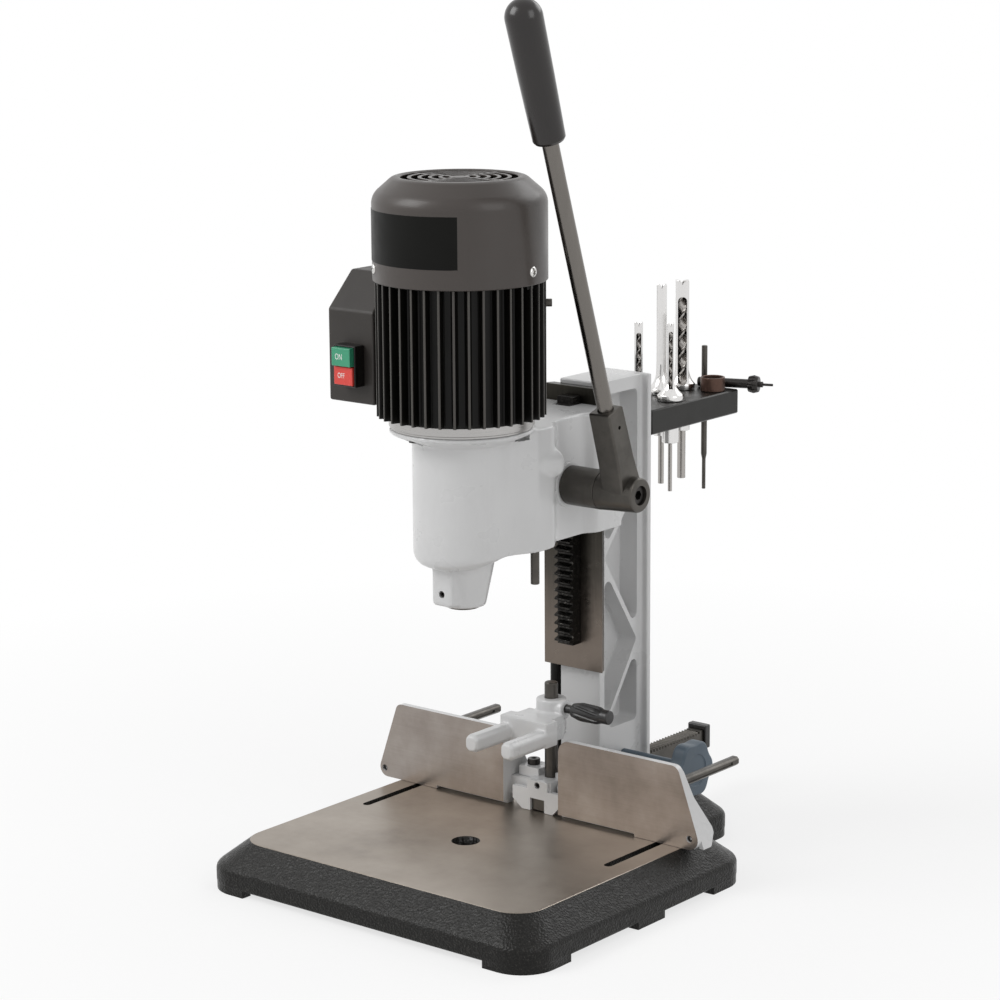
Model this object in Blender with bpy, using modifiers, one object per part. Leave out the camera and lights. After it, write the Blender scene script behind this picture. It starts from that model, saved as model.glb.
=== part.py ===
"""Benchtop mortiser: a stand, a sliding head with its motor, a pull lever, a fence and a hold-down.

Metres, +Z up, +Y to the rear, +X to the operator's right. Every piece is placed from the centre of the
table's hole, on the table's top face. The root empty then moves the whole machine, so that the origin
lies on the bench under the middle of it.
"""
import math

import bmesh
import bpy
from mathutils import Matrix, Vector

# Clearances and counts that all pieces share
SEAT = 0.0003
OVERRUN = 0.003
WELD = 0.00001
FEW_SIDES = 8
SOME_SIDES = 16
MANY_SIDES = 24
CORNER_STEPS = 3
PRESSURE_ANGLE = math.radians(20)

# Base casting: a table on a chamfered skirt, with a narrower extension to the rear
TABLE_HALF_WIDTH = 0.165
TABLE_FRONT = 0.1245
TABLE_REAR = 0.155
TABLE_CORNER = 0.028
SKIRT_REACH = 0.0245
SKIRT_HALF_WIDTH = TABLE_HALF_WIDTH + SKIRT_REACH
SKIRT_FRONT = 0.148
SKIRT_REAR = 0.179
SKIRT_CORNER = 0.034
SKIRT_DROP = 0.022
SKIRT_BOTTOM = 0.038
FLOOR_DROP = 0.044
TAIL_TOP_HALF_WIDTH = 0.080
TAIL_TOP_REAR = 0.253
TAIL_HALF_WIDTH = 0.104
TAIL_REAR = 0.277
TAIL_CORNER = 0.024
TABLE_PLATE = 0.012
BASE_WALL = 0.011
BASE_RIB = 0.008
BAY_COLUMNS = 5
BAY_ROWS = 4
TAIL_BAYS = 3
FOOT_LENGTH = 0.060
FOOT_WIDTH = 0.052
FOOT_INSET = 0.0015
MIDDLE_FOOT_START = 0.006
MIDDLE_FOOT_LENGTH = 0.040
TABLE_HOLE_RADIUS = 0.013
SLOT_INSET = 0.0235
SLOT_X = TABLE_HALF_WIDTH - SLOT_INSET
SLOT_HALF_WIDTH = 0.004
SLOT_FRONT = 0.022
SLOT_REAR = 0.150

# Column casting
COLUMN_HALF_WIDTH = 0.023
COLUMN_FRONT = 0.1695
COLUMN_DEPTH = 0.065
COLUMN_TOP = 0.398
COLUMN_RIM = 0.008
COLUMN_WEB_HALF = 0.003
COLUMN_EDGE = 0.0015
BACK_PLATE_HALF_WIDTH = 0.0305
BACK_PLATE_THICKNESS = 0.006
POCKET_BOTTOM = 0.066
POCKET_TOP = 0.385
POCKET_CORNER = 0.005
# Corners of each side pocket, as shares of the band between the rims and of the pockets' height
POCKET_SHARES = (
    ((1.00, 0.200), (1.00, 0.000), (0.12, 0.000), (0.43, 0.084)),
    ((0.00, 0.445), (0.00, 0.163), (0.92, 0.251)),
    ((0.00, 0.545), (0.00, 0.458), (1.00, 0.292), (1.00, 0.700)),
    ((0.00, 1.000), (0.00, 0.585), (1.00, 0.745), (1.00, 1.000)),
)
COLUMN_BOLT_RADIUS = 0.004
COLUMN_BOLT_X = 0.0155
COLUMN_BOLT_INSET = 0.013
COLUMN_BOLT_DEPTH = 0.016
COLUMN_BOLT_HEAD_RADIUS = 0.0072
COLUMN_BOLT_HEAD_HEIGHT = 0.005

# Slide way: the steel plate with dovetail edges, and the rack on its face
WAY_HALF_WIDTH = 0.034
WAY_THICKNESS = 0.0097
WAY_BACK_HALF_WIDTH = 0.029
WAY_BOTTOM = 0.127
WAY_TOP = 0.394
WAY_SLIDE_GAP = 0.0004
RACK_MODULE = 0.0025
RACK_HALF_WIDTH = 0.009
RACK_BOTTOM = 0.152
RACK_TOP = 0.386
RACK_PITCH_LINE_TO_WAY = 0.015
TOOTH_ADDENDUM_SHARE = 0.85
TOOTH_DEDENDUM_SHARE = 1.2
TOOTH_BACKLASH = 0.0005

# Pinion and its shaft, which the lever turns
PINION_TEETH = 36
PINION_Z = 0.3175
PINION_HALF_WIDTH = 0.0075
PINION_SHAFT_RADIUS = 0.010
PINION_SHAFT_LEFT = 0.047
HUB_RADIUS = 0.018
HUB_OUTER_RADIUS = 0.0155
HUB_SPLIT_X = 0.065
HUB_END_X = 0.1215
HUB_SPIGOT_RADIUS = 0.006
HUB_SPIGOT_LENGTH = 0.020

# Lever
LEVER_LEAN = math.radians(18)
LEVER_X = 0.102
LEVER_BLOCK_HALF_WIDTH = 0.0115
LEVER_BLOCK_HALF_DEPTH = 0.012
LEVER_BLOCK_TOP_HALF_DEPTH = 0.0105
LEVER_BLOCK_LENGTH = 0.097
LEVER_BLOCK_EDGE = 0.002
LEVER_PIN_HOLE_RADIUS = 0.0016
LEVER_PIN_HOLE_DROP = 0.014
LEVER_PIN_HOLE_DEPTH = 0.003
LEVER_ROD_RADIUS = 0.00725
LEVER_ROD_SEAT = 0.022
LEVER_GRIP_START = 0.335
LEVER_GRIP_LENGTH = 0.126
LEVER_GRIP_RADIUS = 0.0142
LEVER_GRIP_TOP_RADIUS = 0.0162
LEVER_GRIP_WALL_TOP = 0.030
LEVER_SCREW_RADIUS = 0.0085
LEVER_SCREW_HEAD = 0.010
LEVER_SCREW_SHANK_RADIUS = 0.004
LEVER_SCREW_SHANK = 0.018
LEVER_SCREW_SOCKET = 0.0042
LEVER_SCREW_SINK = 0.003

# Head casting
HEAD_RADIUS = 0.044
HEAD_BOTTOM = 0.271
HEAD_TOP = 0.381
HEAD_BODY_TOP = 0.379
HEAD_REAR_HALF_WIDTH = 0.050
HEAD_WIDEN_FROM = 0.045
HEAD_WIDEN_TO = 0.080
HEAD_REAR = 0.168
HEAD_EDGE = 0.0025
FLANGE_RADIUS = 0.064
FLANGE_CONE = 0.011
FLANGE_EDGE = 0.003
CHUCK_CHAMBER_RADIUS = 0.031
CHUCK_CHAMBER_BOTTOM = 0.262
CHUCK_CHAMBER_TOP = 0.372
SHAFT_BORE_RADIUS = 0.021
CHUCK_WINDOW_FRONT = 0.018
CHUCK_WINDOW_REAR = 0.022
CHUCK_WINDOW_BOTTOM = 0.296
CHUCK_WINDOW_TOP = 0.352
CHUCK_WINDOW_CORNER = 0.008
PINION_CAVITY_GAP = 0.002
RACK_CHANNEL_GAP = 0.0015
NOSE_BOTTOM = 0.2205
NOSE_RADIUS = 0.020
NOSE_SHOULDER_Z = 0.256
NOSE_SHOULDER_RADIUS = 0.027
NOSE_FLARE_Z = 0.2645
NOSE_FLARE_RADIUS = 0.0385
NOSE_PAD_HALF_WIDTH = 0.012
NOSE_PAD_FRONT = 0.030
NOSE_PAD_TOP = 0.262
NOSE_SCREW_Z = 0.235
BUSHING_RADIUS = 0.0118
BUSHING_BORE_RADIUS = 0.0082
BUSHING_LENGTH = 0.028
BUSHING_FLANGE_RADIUS = 0.0145
BUSHING_FLANGE = 0.0018
NOSE_THROAT_RADIUS = 0.0095

# Set screws: one size, used at the nose, along the gib, at the depth rod and in the fence bracket
SET_SCREW_RADIUS = 0.003
SET_SCREW_SOCKET = 0.0016
SET_SCREW_SOCKET_DEPTH = 0.003
SET_SCREW_SINK = 0.0015
GIB_THICKNESS = 0.004
GIB_SCREW_COUNT = 3
GIB_SCREW_MARGIN = 0.022

# Depth rod and the boss that holds it
DEPTH_ROD_X = 0.0487
DEPTH_ROD_Y = 0.041
DEPTH_ROD_RADIUS = 0.004
DEPTH_ROD_BOTTOM = 0.238
DEPTH_ROD_BELOW_FLANGE = 0.0115
DEPTH_ROD_TOP = HEAD_TOP - DEPTH_ROD_BELOW_FLANGE
DEPTH_BOSS_FRONT = 0.030
DEPTH_BOSS_REAR = 0.062
DEPTH_BOSS_FRONT_RADIUS = 0.0078
DEPTH_BOSS_REAR_RADIUS = 0.0125
DEPTH_BOSS_Z = 0.345
DEPTH_BOSS_X = 0.0455
DEPTH_ROD_DROP = 0.012

# Motor
BELL_HEIGHT = 0.011
BELL_BORE_RADIUS = 0.0105
MOTOR_CORE_RADIUS = 0.066
MOTOR_FIN_RADIUS = 0.0745
MOTOR_BORE_RADIUS = 0.058
MOTOR_BOTTOM = 0.392
MOTOR_TOP = 0.511
MOTOR_FINS = 36
FIN_HALF_WIDTH = 0.0014
FIN_ROOT_HALF_WIDTH = 0.0024
MOTOR_PAD_X = 0.0705
MOTOR_PAD_HALF_WIDTH = 0.030
MOTOR_LUG_ANGLE = math.radians(-8)
FAN_COVER_RADIUS = 0.0764
FAN_COVER_WALL = 0.0018
FAN_COVER_SHOULDER_Z = 0.583
FAN_COVER_TOP = 0.601
FAN_COVER_TOP_RADIUS = 0.057
GRILLE_RINGS = 3
GRILLE_INNER_RADIUS = 0.012
GRILLE_OUTER_RADIUS = 0.052
GRILLE_BAR = 0.004
GRILLE_SPOKES = 4
GRILLE_SPOKE_HALF_ANGLE = math.radians(7)
GRILLE_ARC_STEPS = 3
COVER_SHOULDER_STEPS = 3
COVER_SCREW_RADIUS = 0.003
COVER_SCREW_HEAD_RADIUS = 0.0042
COVER_SCREW_HEAD = 0.002
COVER_SCREW_LENGTH = 0.008
COVER_SCREW_Z = 0.523
COVER_SCREW_ANGLES = (math.radians(-156), math.radians(4), math.radians(104))
COVER_EAR_RADIUS = 0.0045
STATOR_BORE_RADIUS = 0.0395
STATOR_BOTTOM = 0.418
STATOR_TOP = 0.488
ROTOR_RADIUS = 0.038
ROTOR_SHAFT_RADIUS = 0.007
ROTOR_SHAFT_BOTTOM = 0.335
ROTOR_SHAFT_TOP = 0.556
CHUCK_RADIUS = 0.0185
CHUCK_BOTTOM = 0.302
CHUCK_TOP = 0.360
CHUCK_NOSE_RADIUS = 0.010
CHUCK_BORE_RADIUS = 0.004
FAN_RADIUS = 0.062
FAN_BOTTOM = 0.536
FAN_HEIGHT = 0.022
FAN_BLADES = 8
FAN_BLADE = 0.002
FAN_HUB_RADIUS = 0.016
BEARING_RADIUS = 0.0155
BEARING_HEIGHT = 0.009
BEARING_BORE_GAP = 0.0003
BELL_HUB_RADIUS = 0.022
BELL_HUB_HEIGHT = 0.014
REAR_BELL_THICKNESS = 0.005
REAR_BELL_Z = 0.502
MOTOR_BOLT_RADIUS = 0.003
MOTOR_BOLT_CIRCLE = 0.0535
MOTOR_BOLT_ANGLES = (math.radians(-118), math.radians(-28), math.radians(62), math.radians(152))
MOTOR_BOLT_HEAD_RADIUS = 0.0048
MOTOR_BOLT_HEAD = 0.004
MOTOR_BOLT_POCKET_RADIUS = 0.0075

# Switch box on the motor's left side
BOX_LEFT = 0.124
BOX_HALF_DEPTH = 0.035
BOX_BOTTOM = 0.3965
BOX_FRONT_TOP = 0.479
BOX_TOP = 0.5105
BOX_SLOPE_DEPTH = 0.0315
BOX_WALL = 0.003
BOX_EDGE = 0.0015
SWITCH_LEFT = 0.1065
SWITCH_RIGHT = 0.0813
SWITCH_BOTTOM = 0.413
SWITCH_TOP = 0.450
SWITCH_FRONT = 0.048
SWITCH_WALL = 0.0014
SWITCH_TAIL = 0.022
ON_PROUD = 0.005
OFF_PROUD = 0.002
BUTTON_LENGTH = 0.010
BUTTON_EDGE = 0.001
GLAND_X = 0.097
GLAND_Y = 0.012
GLAND_RADIUS = 0.008
GLAND_BORE_RADIUS = 0.0038
GLAND_LENGTH = 0.014
GLAND_NUT_RADIUS = 0.0105
GLAND_NUT = 0.005

# Gas spring behind the head's left cheek
GAS_X = 0.0325
GAS_Y = 0.1775
GAS_RADIUS = 0.0068
GAS_BODY_BOTTOM = 0.038
GAS_BODY_TOP = 0.185
GAS_BORE_BOTTOM = 0.070
GAS_ROD_RADIUS = 0.0032
GAS_ROD_BOTTOM = 0.168
GAS_STUD_RADIUS = 0.0035
GAS_FOOT_RADIUS = 0.0065
GAS_FOOT_HEIGHT = 0.006
GAS_LUG_BOTTOM = 0.276
GAS_LUG_TOP = 0.290
GAS_LUG_RADIUS = 0.0072
GAS_EYE_RADIUS = 0.0058
GAS_EYE_HEIGHT = 0.006

# Tool holder behind the column, and the tools that stand in it
HOLDER_LENGTH = 0.142
HOLDER_TOP = 0.3625
HOLDER_BOTTOM = 0.339
HOLDER_EDGE = 0.0012
CHISEL_SHANK_RADIUS = 0.00795
CHISEL_SHANK_LENGTH = 0.0405
CHISEL_BELL_RADIUS = 0.0125
CHISEL_BELL_HEIGHT = 0.005
CHISEL_FLARE_HEIGHT = 0.024
CHISEL_CROWN_DEPTH = 0.003
AUGER_SHANK_BOTTOM = 0.2748
AUGER_CLEARANCE = 0.0004
AUGER_TWISTS = 3
AUGER_STEPS_PER_TURN = 5
AUGER_WEB_SHARE = 0.42
AUGER_BACK_SHARE = 0.9
# Name, side of the square, place, tip height and auger shank radius of each chisel
CHISELS = (
    ("five_sixteenths", 0.0079, -0.0140, 0.2800, 0.4366, 0.0024),
    ("quarter", 0.00635, 0.0140, 0.2930, 0.4366, 0.0020),
    ("three_eighths", 0.0095, -0.0140, 0.3170, 0.4683, 0.0028),
    ("half", 0.0127, -0.0140, 0.3507, 0.4683, 0.0040),
)
CHISEL_BORE_SHARE = 0.40
CHISEL_WINDOW_SHARE = 0.56
CHISEL_TURN = math.radians(18)
CHISEL_WINDOW_TOP_GAP = 0.010
SPARE_BUSHING_X = 0.0160
SPARE_BUSHING_Y = 0.3600
SPARE_BUSHING_RADIUS = 0.0118
SPARE_BUSHING_BORE_RADIUS = 0.0096
SPARE_BUSHING_HEIGHT = 0.0135
KEY_BAR_X = -0.004
KEY_BAR_Y = 0.3745
KEY_BAR_RADIUS = 0.00285
KEY_BAR_TIP_RADIUS = 0.0018
KEY_BAR_TOP = 0.403
KEY_BAR_STEP_Z = 0.296
KEY_BAR_TAPER = 0.005
KEY_BAR_BOTTOM = 0.261
KEY_HEADING = math.radians(20)
KEY_BODY_RADIUS = 0.0045
KEY_BODY_BACK = 0.0065
KEY_BODY_FRONT = 0.0445
KEY_GEAR_RADIUS = 0.0087
KEY_GEAR_BACK_RADIUS = 0.0075
KEY_GEAR_LENGTH = 0.010
KEY_GEAR_TEETH = 8
KEY_GEAR_CUT_RADIUS = 0.0015
KEY_COLLAR_RADIUS = 0.0028
KEY_COLLAR_LENGTH = 0.004
KEY_PILOT_RADIUS = 0.00125
KEY_PILOT_LENGTH = 0.010

# Fence: two halves on a bracket, which a rack bar carries
FENCE_FRONT = 0.1015
FENCE_THICKNESS = 0.006
FENCE_TOP = 0.0755
FENCE_RELIEF = 0.003
FENCE_RELIEF_X = 0.118
FENCE_LEFT_INNER = 0.038
FENCE_LEFT_TOP_OUTER = 0.168
FENCE_LEFT_OUTER = 0.193
FENCE_LEFT_LOW_OUTER = 0.184
FENCE_LEFT_CORNER_Z = 0.008
FENCE_RIGHT_INNER = 0.0265
FENCE_RIGHT_CHAMFER = 0.0095
FENCE_RIGHT_CHAMFER_HEIGHT = 0.0155
FENCE_RIGHT_TOP_OUTER = 0.1615
FENCE_RIGHT_OUTER = 0.1835
FENCE_FOOT_REAR = 0.117
FENCE_FOOT_TOP = 0.021
FENCE_LEDGE_REAR = 0.123
FENCE_LEDGE_BOTTOM = 0.012
FENCE_FOOT_END = 0.176
FENCE_GUSSET_THICKNESS = 0.005
FENCE_GUSSET_REAR = 0.146
FENCE_GUSSET_LOW = 0.0205
FENCE_GUSSET_BEND_Y = 0.132
FENCE_GUSSET_BEND_Z = 0.045
FENCE_GUSSET_RIGHT_X = 0.084
FENCE_TAB_INNER = 0.0165
FENCE_TAB_FRONT = 0.1135
FENCE_TAB_BOTTOM = 0.009
FENCE_TAB_TOP = 0.0265
LUG_Y = 0.128
LUG_RADIUS = 0.0135
LUG_TOP = 0.030
CLAMP_BOLT_RADIUS = 0.0036
CLAMP_BOLT_HEAD_RADIUS = 0.0105
CLAMP_BOLT_HEAD = 0.006
CLAMP_BOLT_TOP = 0.050
CLAMP_HUB_RADIUS = 0.0095
CLAMP_HUB_HEIGHT = 0.024
CLAMP_ARM_LENGTH = 0.095
CLAMP_ARM_HALF_WIDTH = 0.0045
CLAMP_ARM_BOTTOM = 0.0445
CLAMP_ARM_TOP = 0.0525
CLAMP_ARM_EDGE = 0.002
CLAMP_GROOVE_HALF_HEIGHT = 0.0014
CLAMP_GROOVE_DEPTH = 0.001
CLAMP_GROOVE_MARGIN = 0.012
BRACKET_FRONT = 0.104
BRACKET_WALL_REAR = 0.1095
BRACKET_LEFT_WING = 0.029
BRACKET_RIGHT_WING = 0.026
BRACKET_WING_TOP = 0.021
BRACKET_WING_LOW = 0.009
BRACKET_LEG = 0.018
BRACKET_NOTCH_TOP = 0.0125
BRACKET_BOSS_HALF_WIDTH = 0.012
BRACKET_BOSS_TOP = 0.030
BRACKET_CHANNEL_WALL = 0.0055
BRACKET_REAR = 0.142
BRACKET_EAR_OUTER = 0.033
BRACKET_EAR_INNER = 0.010
BRACKET_EAR_FRONT = 0.119
BRACKET_EAR_REAR = 0.141
BRACKET_EAR_TOP = 0.036
FENCE_SCREW_X = 0.024
FENCE_SCREW_Y = 0.130
FENCE_SCREW_RADIUS = 0.003
FENCE_SCREW_HEAD_RADIUS = 0.006
FENCE_SCREW_HEAD = 0.008
FENCE_SCREW_SOCKET = 0.003
FENCE_SCREW_REACH = 0.012
BAR_HALF_WIDTH = 0.008
BAR_BOTTOM = 0.001
BAR_TOP = 0.0203
BAR_FRONT_GAP = 0.0025
BAR_REAR = 0.3635
BAR_RACK_START = 0.160
BAR_RACK_MODULE = 0.0015
BAR_TEETH = 22
BAR_CAP_HALF_WIDTH = 0.011
BAR_CAP_LENGTH = 0.0085
BAR_CAP_TOP = 0.025
BAR_CAP_WALL = 0.005
BAR_CAP_EDGE = 0.001
FENCE_PINION_Y = 0.207
FENCE_PINION_HALF_WIDTH = 0.007
FENCE_SHAFT_RADIUS = 0.004
FENCE_SHAFT_LEFT = 0.0200
KNOB_RADIUS = 0.028
KNOB_LOBE_DEPTH = 0.0032
KNOB_LOBES = 6
KNOB_LOBE_STEPS = 6
KNOB_INNER_X = 0.093
KNOB_THICKNESS = 0.015
KNOB_EDGE = 0.003
KNOB_SLEEVE_RADIUS = 0.0058
KNOB_SHAFT_END_WALL = 0.004

# Hold-down: post, fork and lock handle
POST_Y = 0.126
POST_RADIUS = 0.00625
POST_BOTTOM = 0.0215
POST_TOP = 0.121
FORK_BOSS_RADIUS = 0.014
FORK_BOSS_TOP = 0.112
FORK_BOTTOM = 0.071
FORK_BODY_TOP = 0.090
FORK_NECK_HALF_WIDTH = 0.0205
FORK_YOKE_HALF_WIDTH = 0.0275
FORK_YOKE_REAR = 0.1005
FORK_YOKE_FRONT = 0.084
FORK_PRONG_X = 0.0206
FORK_PRONG_HALF_WIDTH = 0.0065
FORK_PRONG_TOP = 0.087
FORK_TIP_Y = 0.033
FORK_EDGE = 0.0028
FORK_LUG_REACH = 0.0175
FORK_LUG_RADIUS = 0.0085
LOCK_Z = 0.098
LOCK_STUD_RADIUS = 0.004
LOCK_STUD_START = 0.0071
LOCK_BODY_START = 0.0255
LOCK_COLLAR_RADIUS = 0.0075
LOCK_BODY_RADIUS = 0.0082
LOCK_BODY_END = 0.070
LOCK_TIP_RADIUS = 0.0045
LOCK_TIP_END = 0.074
LOCK_FLUTES = 8
LOCK_FLUTE_RADIUS = 0.0016
BRACKET_SCREW_Z = 0.0255

# The spread of the machine, from which the root's place follows
KEY_REACH = KEY_BODY_FRONT + KEY_GEAR_LENGTH
MACHINE_REAR = KEY_BAR_Y + KEY_REACH * math.sin(KEY_HEADING) + KEY_GEAR_RADIUS * math.cos(KEY_HEADING)
MACHINE_MIDDLE_Y = (MACHINE_REAR - SKIRT_FRONT) / 2

# Places that follow from the sizes above
WAY_FRONT = COLUMN_FRONT - SEAT - WAY_THICKNESS
RACK_PITCH_Y = WAY_FRONT - RACK_PITCH_LINE_TO_WAY
PINION_RADIUS = RACK_MODULE * PINION_TEETH / 2
PINION_Y = RACK_PITCH_Y - PINION_RADIUS
FENCE_PINION_RADIUS = BAR_RACK_MODULE * BAR_TEETH / 2
BAR_PITCH_Z = BAR_TOP - BAR_RACK_MODULE * TOOTH_ADDENDUM_SHARE
FENCE_PINION_Z = BAR_PITCH_Z + FENCE_PINION_RADIUS
COLUMN_REAR = COLUMN_FRONT + COLUMN_DEPTH + BACK_PLATE_THICKNESS
HOLDER_FRONT = COLUMN_REAR + SEAT
MOTOR_SEAT_Z = HEAD_TOP + SEAT
LEVER_UP = Vector((0, -math.sin(LEVER_LEAN), math.cos(LEVER_LEAN)))
HUB_CENTRE = Vector((0, PINION_Y, PINION_Z))

SIDES = ((-1, "left"), (1, "right"))
MATERIALS = {}
PIVOTS = {}
COLLECTIONS = {}


def clear_scene():
    """Removes what the file opens with."""
    for item in list(bpy.data.objects):
        bpy.data.objects.remove(item, do_unlink=True)


def new_collection(name):
    """Adds a collection to the scene and remembers it."""
    made = bpy.data.collections.new(name)
    bpy.context.scene.collection.children.link(made)
    COLLECTIONS[name] = made


def add_material(name, colour, roughness, metallic=0.0):
    """One Principled material, remembered by name."""
    made = bpy.data.materials.new(name)
    made.use_nodes = True
    shader = made.node_tree.nodes["Principled BSDF"]
    shader.inputs["Base Color"].default_value = (*colour, 1)
    shader.inputs["Roughness"].default_value = roughness
    shader.inputs["Metallic"].default_value = metallic
    made.diffuse_color = (*colour, 1)
    MATERIALS[name] = made


def add_materials():
    """The finishes that the machine shows."""
    add_material("black_casting", (0.030, 0.030, 0.032), 0.55)
    add_material("machined_iron", (0.33, 0.31, 0.29), 0.35, 1.0)
    add_material("white_paint", (0.74, 0.75, 0.76), 0.35)
    add_material("dark_steel", (0.10, 0.095, 0.09), 0.40, 0.9)
    add_material("bright_steel", (0.62, 0.62, 0.62), 0.22, 1.0)
    add_material("cast_aluminium", (0.60, 0.60, 0.60), 0.35, 1.0)
    add_material("motor_black", (0.022, 0.021, 0.020), 0.45)
    add_material("fan_cover_paint", (0.050, 0.048, 0.046), 0.42)
    add_material("black_plastic", (0.035, 0.034, 0.033), 0.50)
    add_material("green_plastic", (0.02, 0.30, 0.14), 0.35)
    add_material("red_plastic", (0.62, 0.04, 0.03), 0.35)
    add_material("blue_plastic", (0.10, 0.15, 0.20), 0.45)
    add_material("bronze", (0.13, 0.07, 0.05), 0.40, 0.8)
    add_material("copper", (0.60, 0.30, 0.18), 0.35, 1.0)


def pivot(name, place, parent=None):
    """An empty on a joint's axis, which carries the pieces of one moving body."""
    empty = bpy.data.objects.new(name, None)
    COLLECTIONS["benchtop_mortiser"].objects.link(empty)
    empty.location = place
    if parent:
        hang(empty, parent)
    bpy.context.view_layer.update()
    PIVOTS[name] = empty


def hang(item, carrier_name):
    """Parents an object to a pivot and keeps its place."""
    carrier = PIVOTS[carrier_name]
    item.parent = carrier
    item.matrix_parent_inverse = carrier.matrix_world.inverted()


def place_mesh(name, mesh, matrix=Matrix.Identity(4)):
    """A helper object: it cuts or joins others and isn't rendered."""
    item = bpy.data.objects.new(name, mesh)
    COLLECTIONS["helpers"].objects.link(item)
    item.matrix_world = matrix
    item.hide_render = True
    item.display_type = "WIRE"
    hang(item, "stand")
    return item


def node(item, name, body, material):
    """Turns a helper object into a piece of the machine."""
    COLLECTIONS["helpers"].objects.unlink(item)
    COLLECTIONS["benchtop_mortiser"].objects.link(item)
    item.name = name
    item.data.name = name
    item.hide_render = False
    item.display_type = "TEXTURED"
    world = item.matrix_world.copy()
    hang(item, body)
    item.matrix_world = world
    item.data.materials.clear()
    item.data.materials.append(MATERIALS[material])
    return item


def frame_towards(origin, direction, side=Vector((1, 0, 0))):
    """A matrix at origin whose Z runs along direction and whose X stays close to side."""
    along = Vector(direction).normalized()
    if abs(along.dot(side)) > math.cos(math.radians(10)):
        side = Vector((0, 1, 0))
    across = (side - along * side.dot(along)).normalized()
    turned_to = Matrix((across, along.cross(across), along)).transposed().to_4x4()
    return Matrix.Translation(origin) @ turned_to


def box(low, high, name="box"):
    """A box between two corners."""
    low, high = Vector(low), Vector(high)
    solid = bmesh.new()
    bmesh.ops.create_cube(solid, size=1)
    bmesh.ops.scale(solid, vec=high - low, verts=solid.verts)
    mesh = bpy.data.meshes.new(name)
    solid.to_mesh(mesh)
    solid.free()
    return place_mesh(name, mesh, Matrix.Translation((low + high) / 2))


def rod(start, end, radius, sides=SOME_SIDES, end_radius=None, name="rod"):
    """A cylinder or a cone between two points."""
    start, end = Vector(start), Vector(end)
    solid = bmesh.new()
    bmesh.ops.create_cone(
        solid,
        cap_ends=True,
        segments=sides,
        radius1=radius,
        radius2=radius if end_radius is None else end_radius,
        depth=(end - start).length,
    )
    mesh = bpy.data.meshes.new(name)
    solid.to_mesh(mesh)
    solid.free()
    smooth(mesh)
    return place_mesh(name, mesh, frame_towards((start + end) / 2, end - start))


def smooth(mesh):
    """Shades round faces smooth and keeps the sharp edges."""
    mesh.shade_smooth()
    mesh.set_sharp_from_angle(angle=math.radians(35))


def turned(profile, origin=(0, 0, 0), direction=(0, 0, 1), sides=SOME_SIDES, ring=False, name="turned"):
    """A turned shape: (radius, along) pairs, from the far end down the outer side to the near end."""
    mesh = bpy.data.meshes.new(name)
    points = [(radius, 0, along) for radius, along in profile]
    edges = [(step, step + 1) for step in range(len(points) - 1)]
    if ring:
        edges.append((len(points) - 1, 0))
    mesh.from_pydata(points, edges, [])
    item = place_mesh(name, mesh, frame_towards(origin, direction))
    screw = item.modifiers.new("turn", "SCREW")
    screw.axis = "Z"
    screw.steps = sides
    screw.render_steps = sides
    screw.use_merge_vertices = True
    screw.merge_threshold = WELD
    screw.use_smooth_shade = True
    return item


def arc(centre, radius, start, end, steps):
    """Points on an arc, both ends included."""
    angles = [start + (end - start) * step / steps for step in range(steps + 1)]
    return [(centre[0] + radius * math.cos(a), centre[1] + radius * math.sin(a)) for a in angles]


def rounded(points, radius, steps=CORNER_STEPS):
    """An outline with each corner rounded, by no more than its sides allow."""
    result = []
    count = len(points)
    for index in range(count):
        before, corner, after = (Vector(points[(index + k) % count]) for k in (-1, 0, 1))
        back, ahead = (before - corner), (after - corner)
        half = back.angle(ahead) / 2
        reach = min(radius / math.tan(half), back.length / 2, ahead.length / 2)
        first = corner + back.normalized() * reach
        last = corner + ahead.normalized() * reach
        for step in range(steps + 1):
            share = step / steps
            middle = first.lerp(corner, share).lerp(corner.lerp(last, share), share)
            result.append((middle.x, middle.y))
    return result


def rounded_box_outline(low, high, radius, steps=CORNER_STEPS):
    """A rectangle with rounded corners."""
    corners = ((low[0], low[1]), (high[0], low[1]), (high[0], high[1]), (low[0], high[1]))
    return rounded(corners, radius, steps)


AXIS_FRAMES = {
    "X": Matrix(((0, 0, 1, 0), (1, 0, 0, 0), (0, 1, 0, 0), (0, 0, 0, 1))),
    "Y": Matrix(((1, 0, 0, 0), (0, 0, -1, 0), (0, 1, 0, 0), (0, 0, 0, 1))),
    "Z": Matrix.Identity(4),
}


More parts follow.
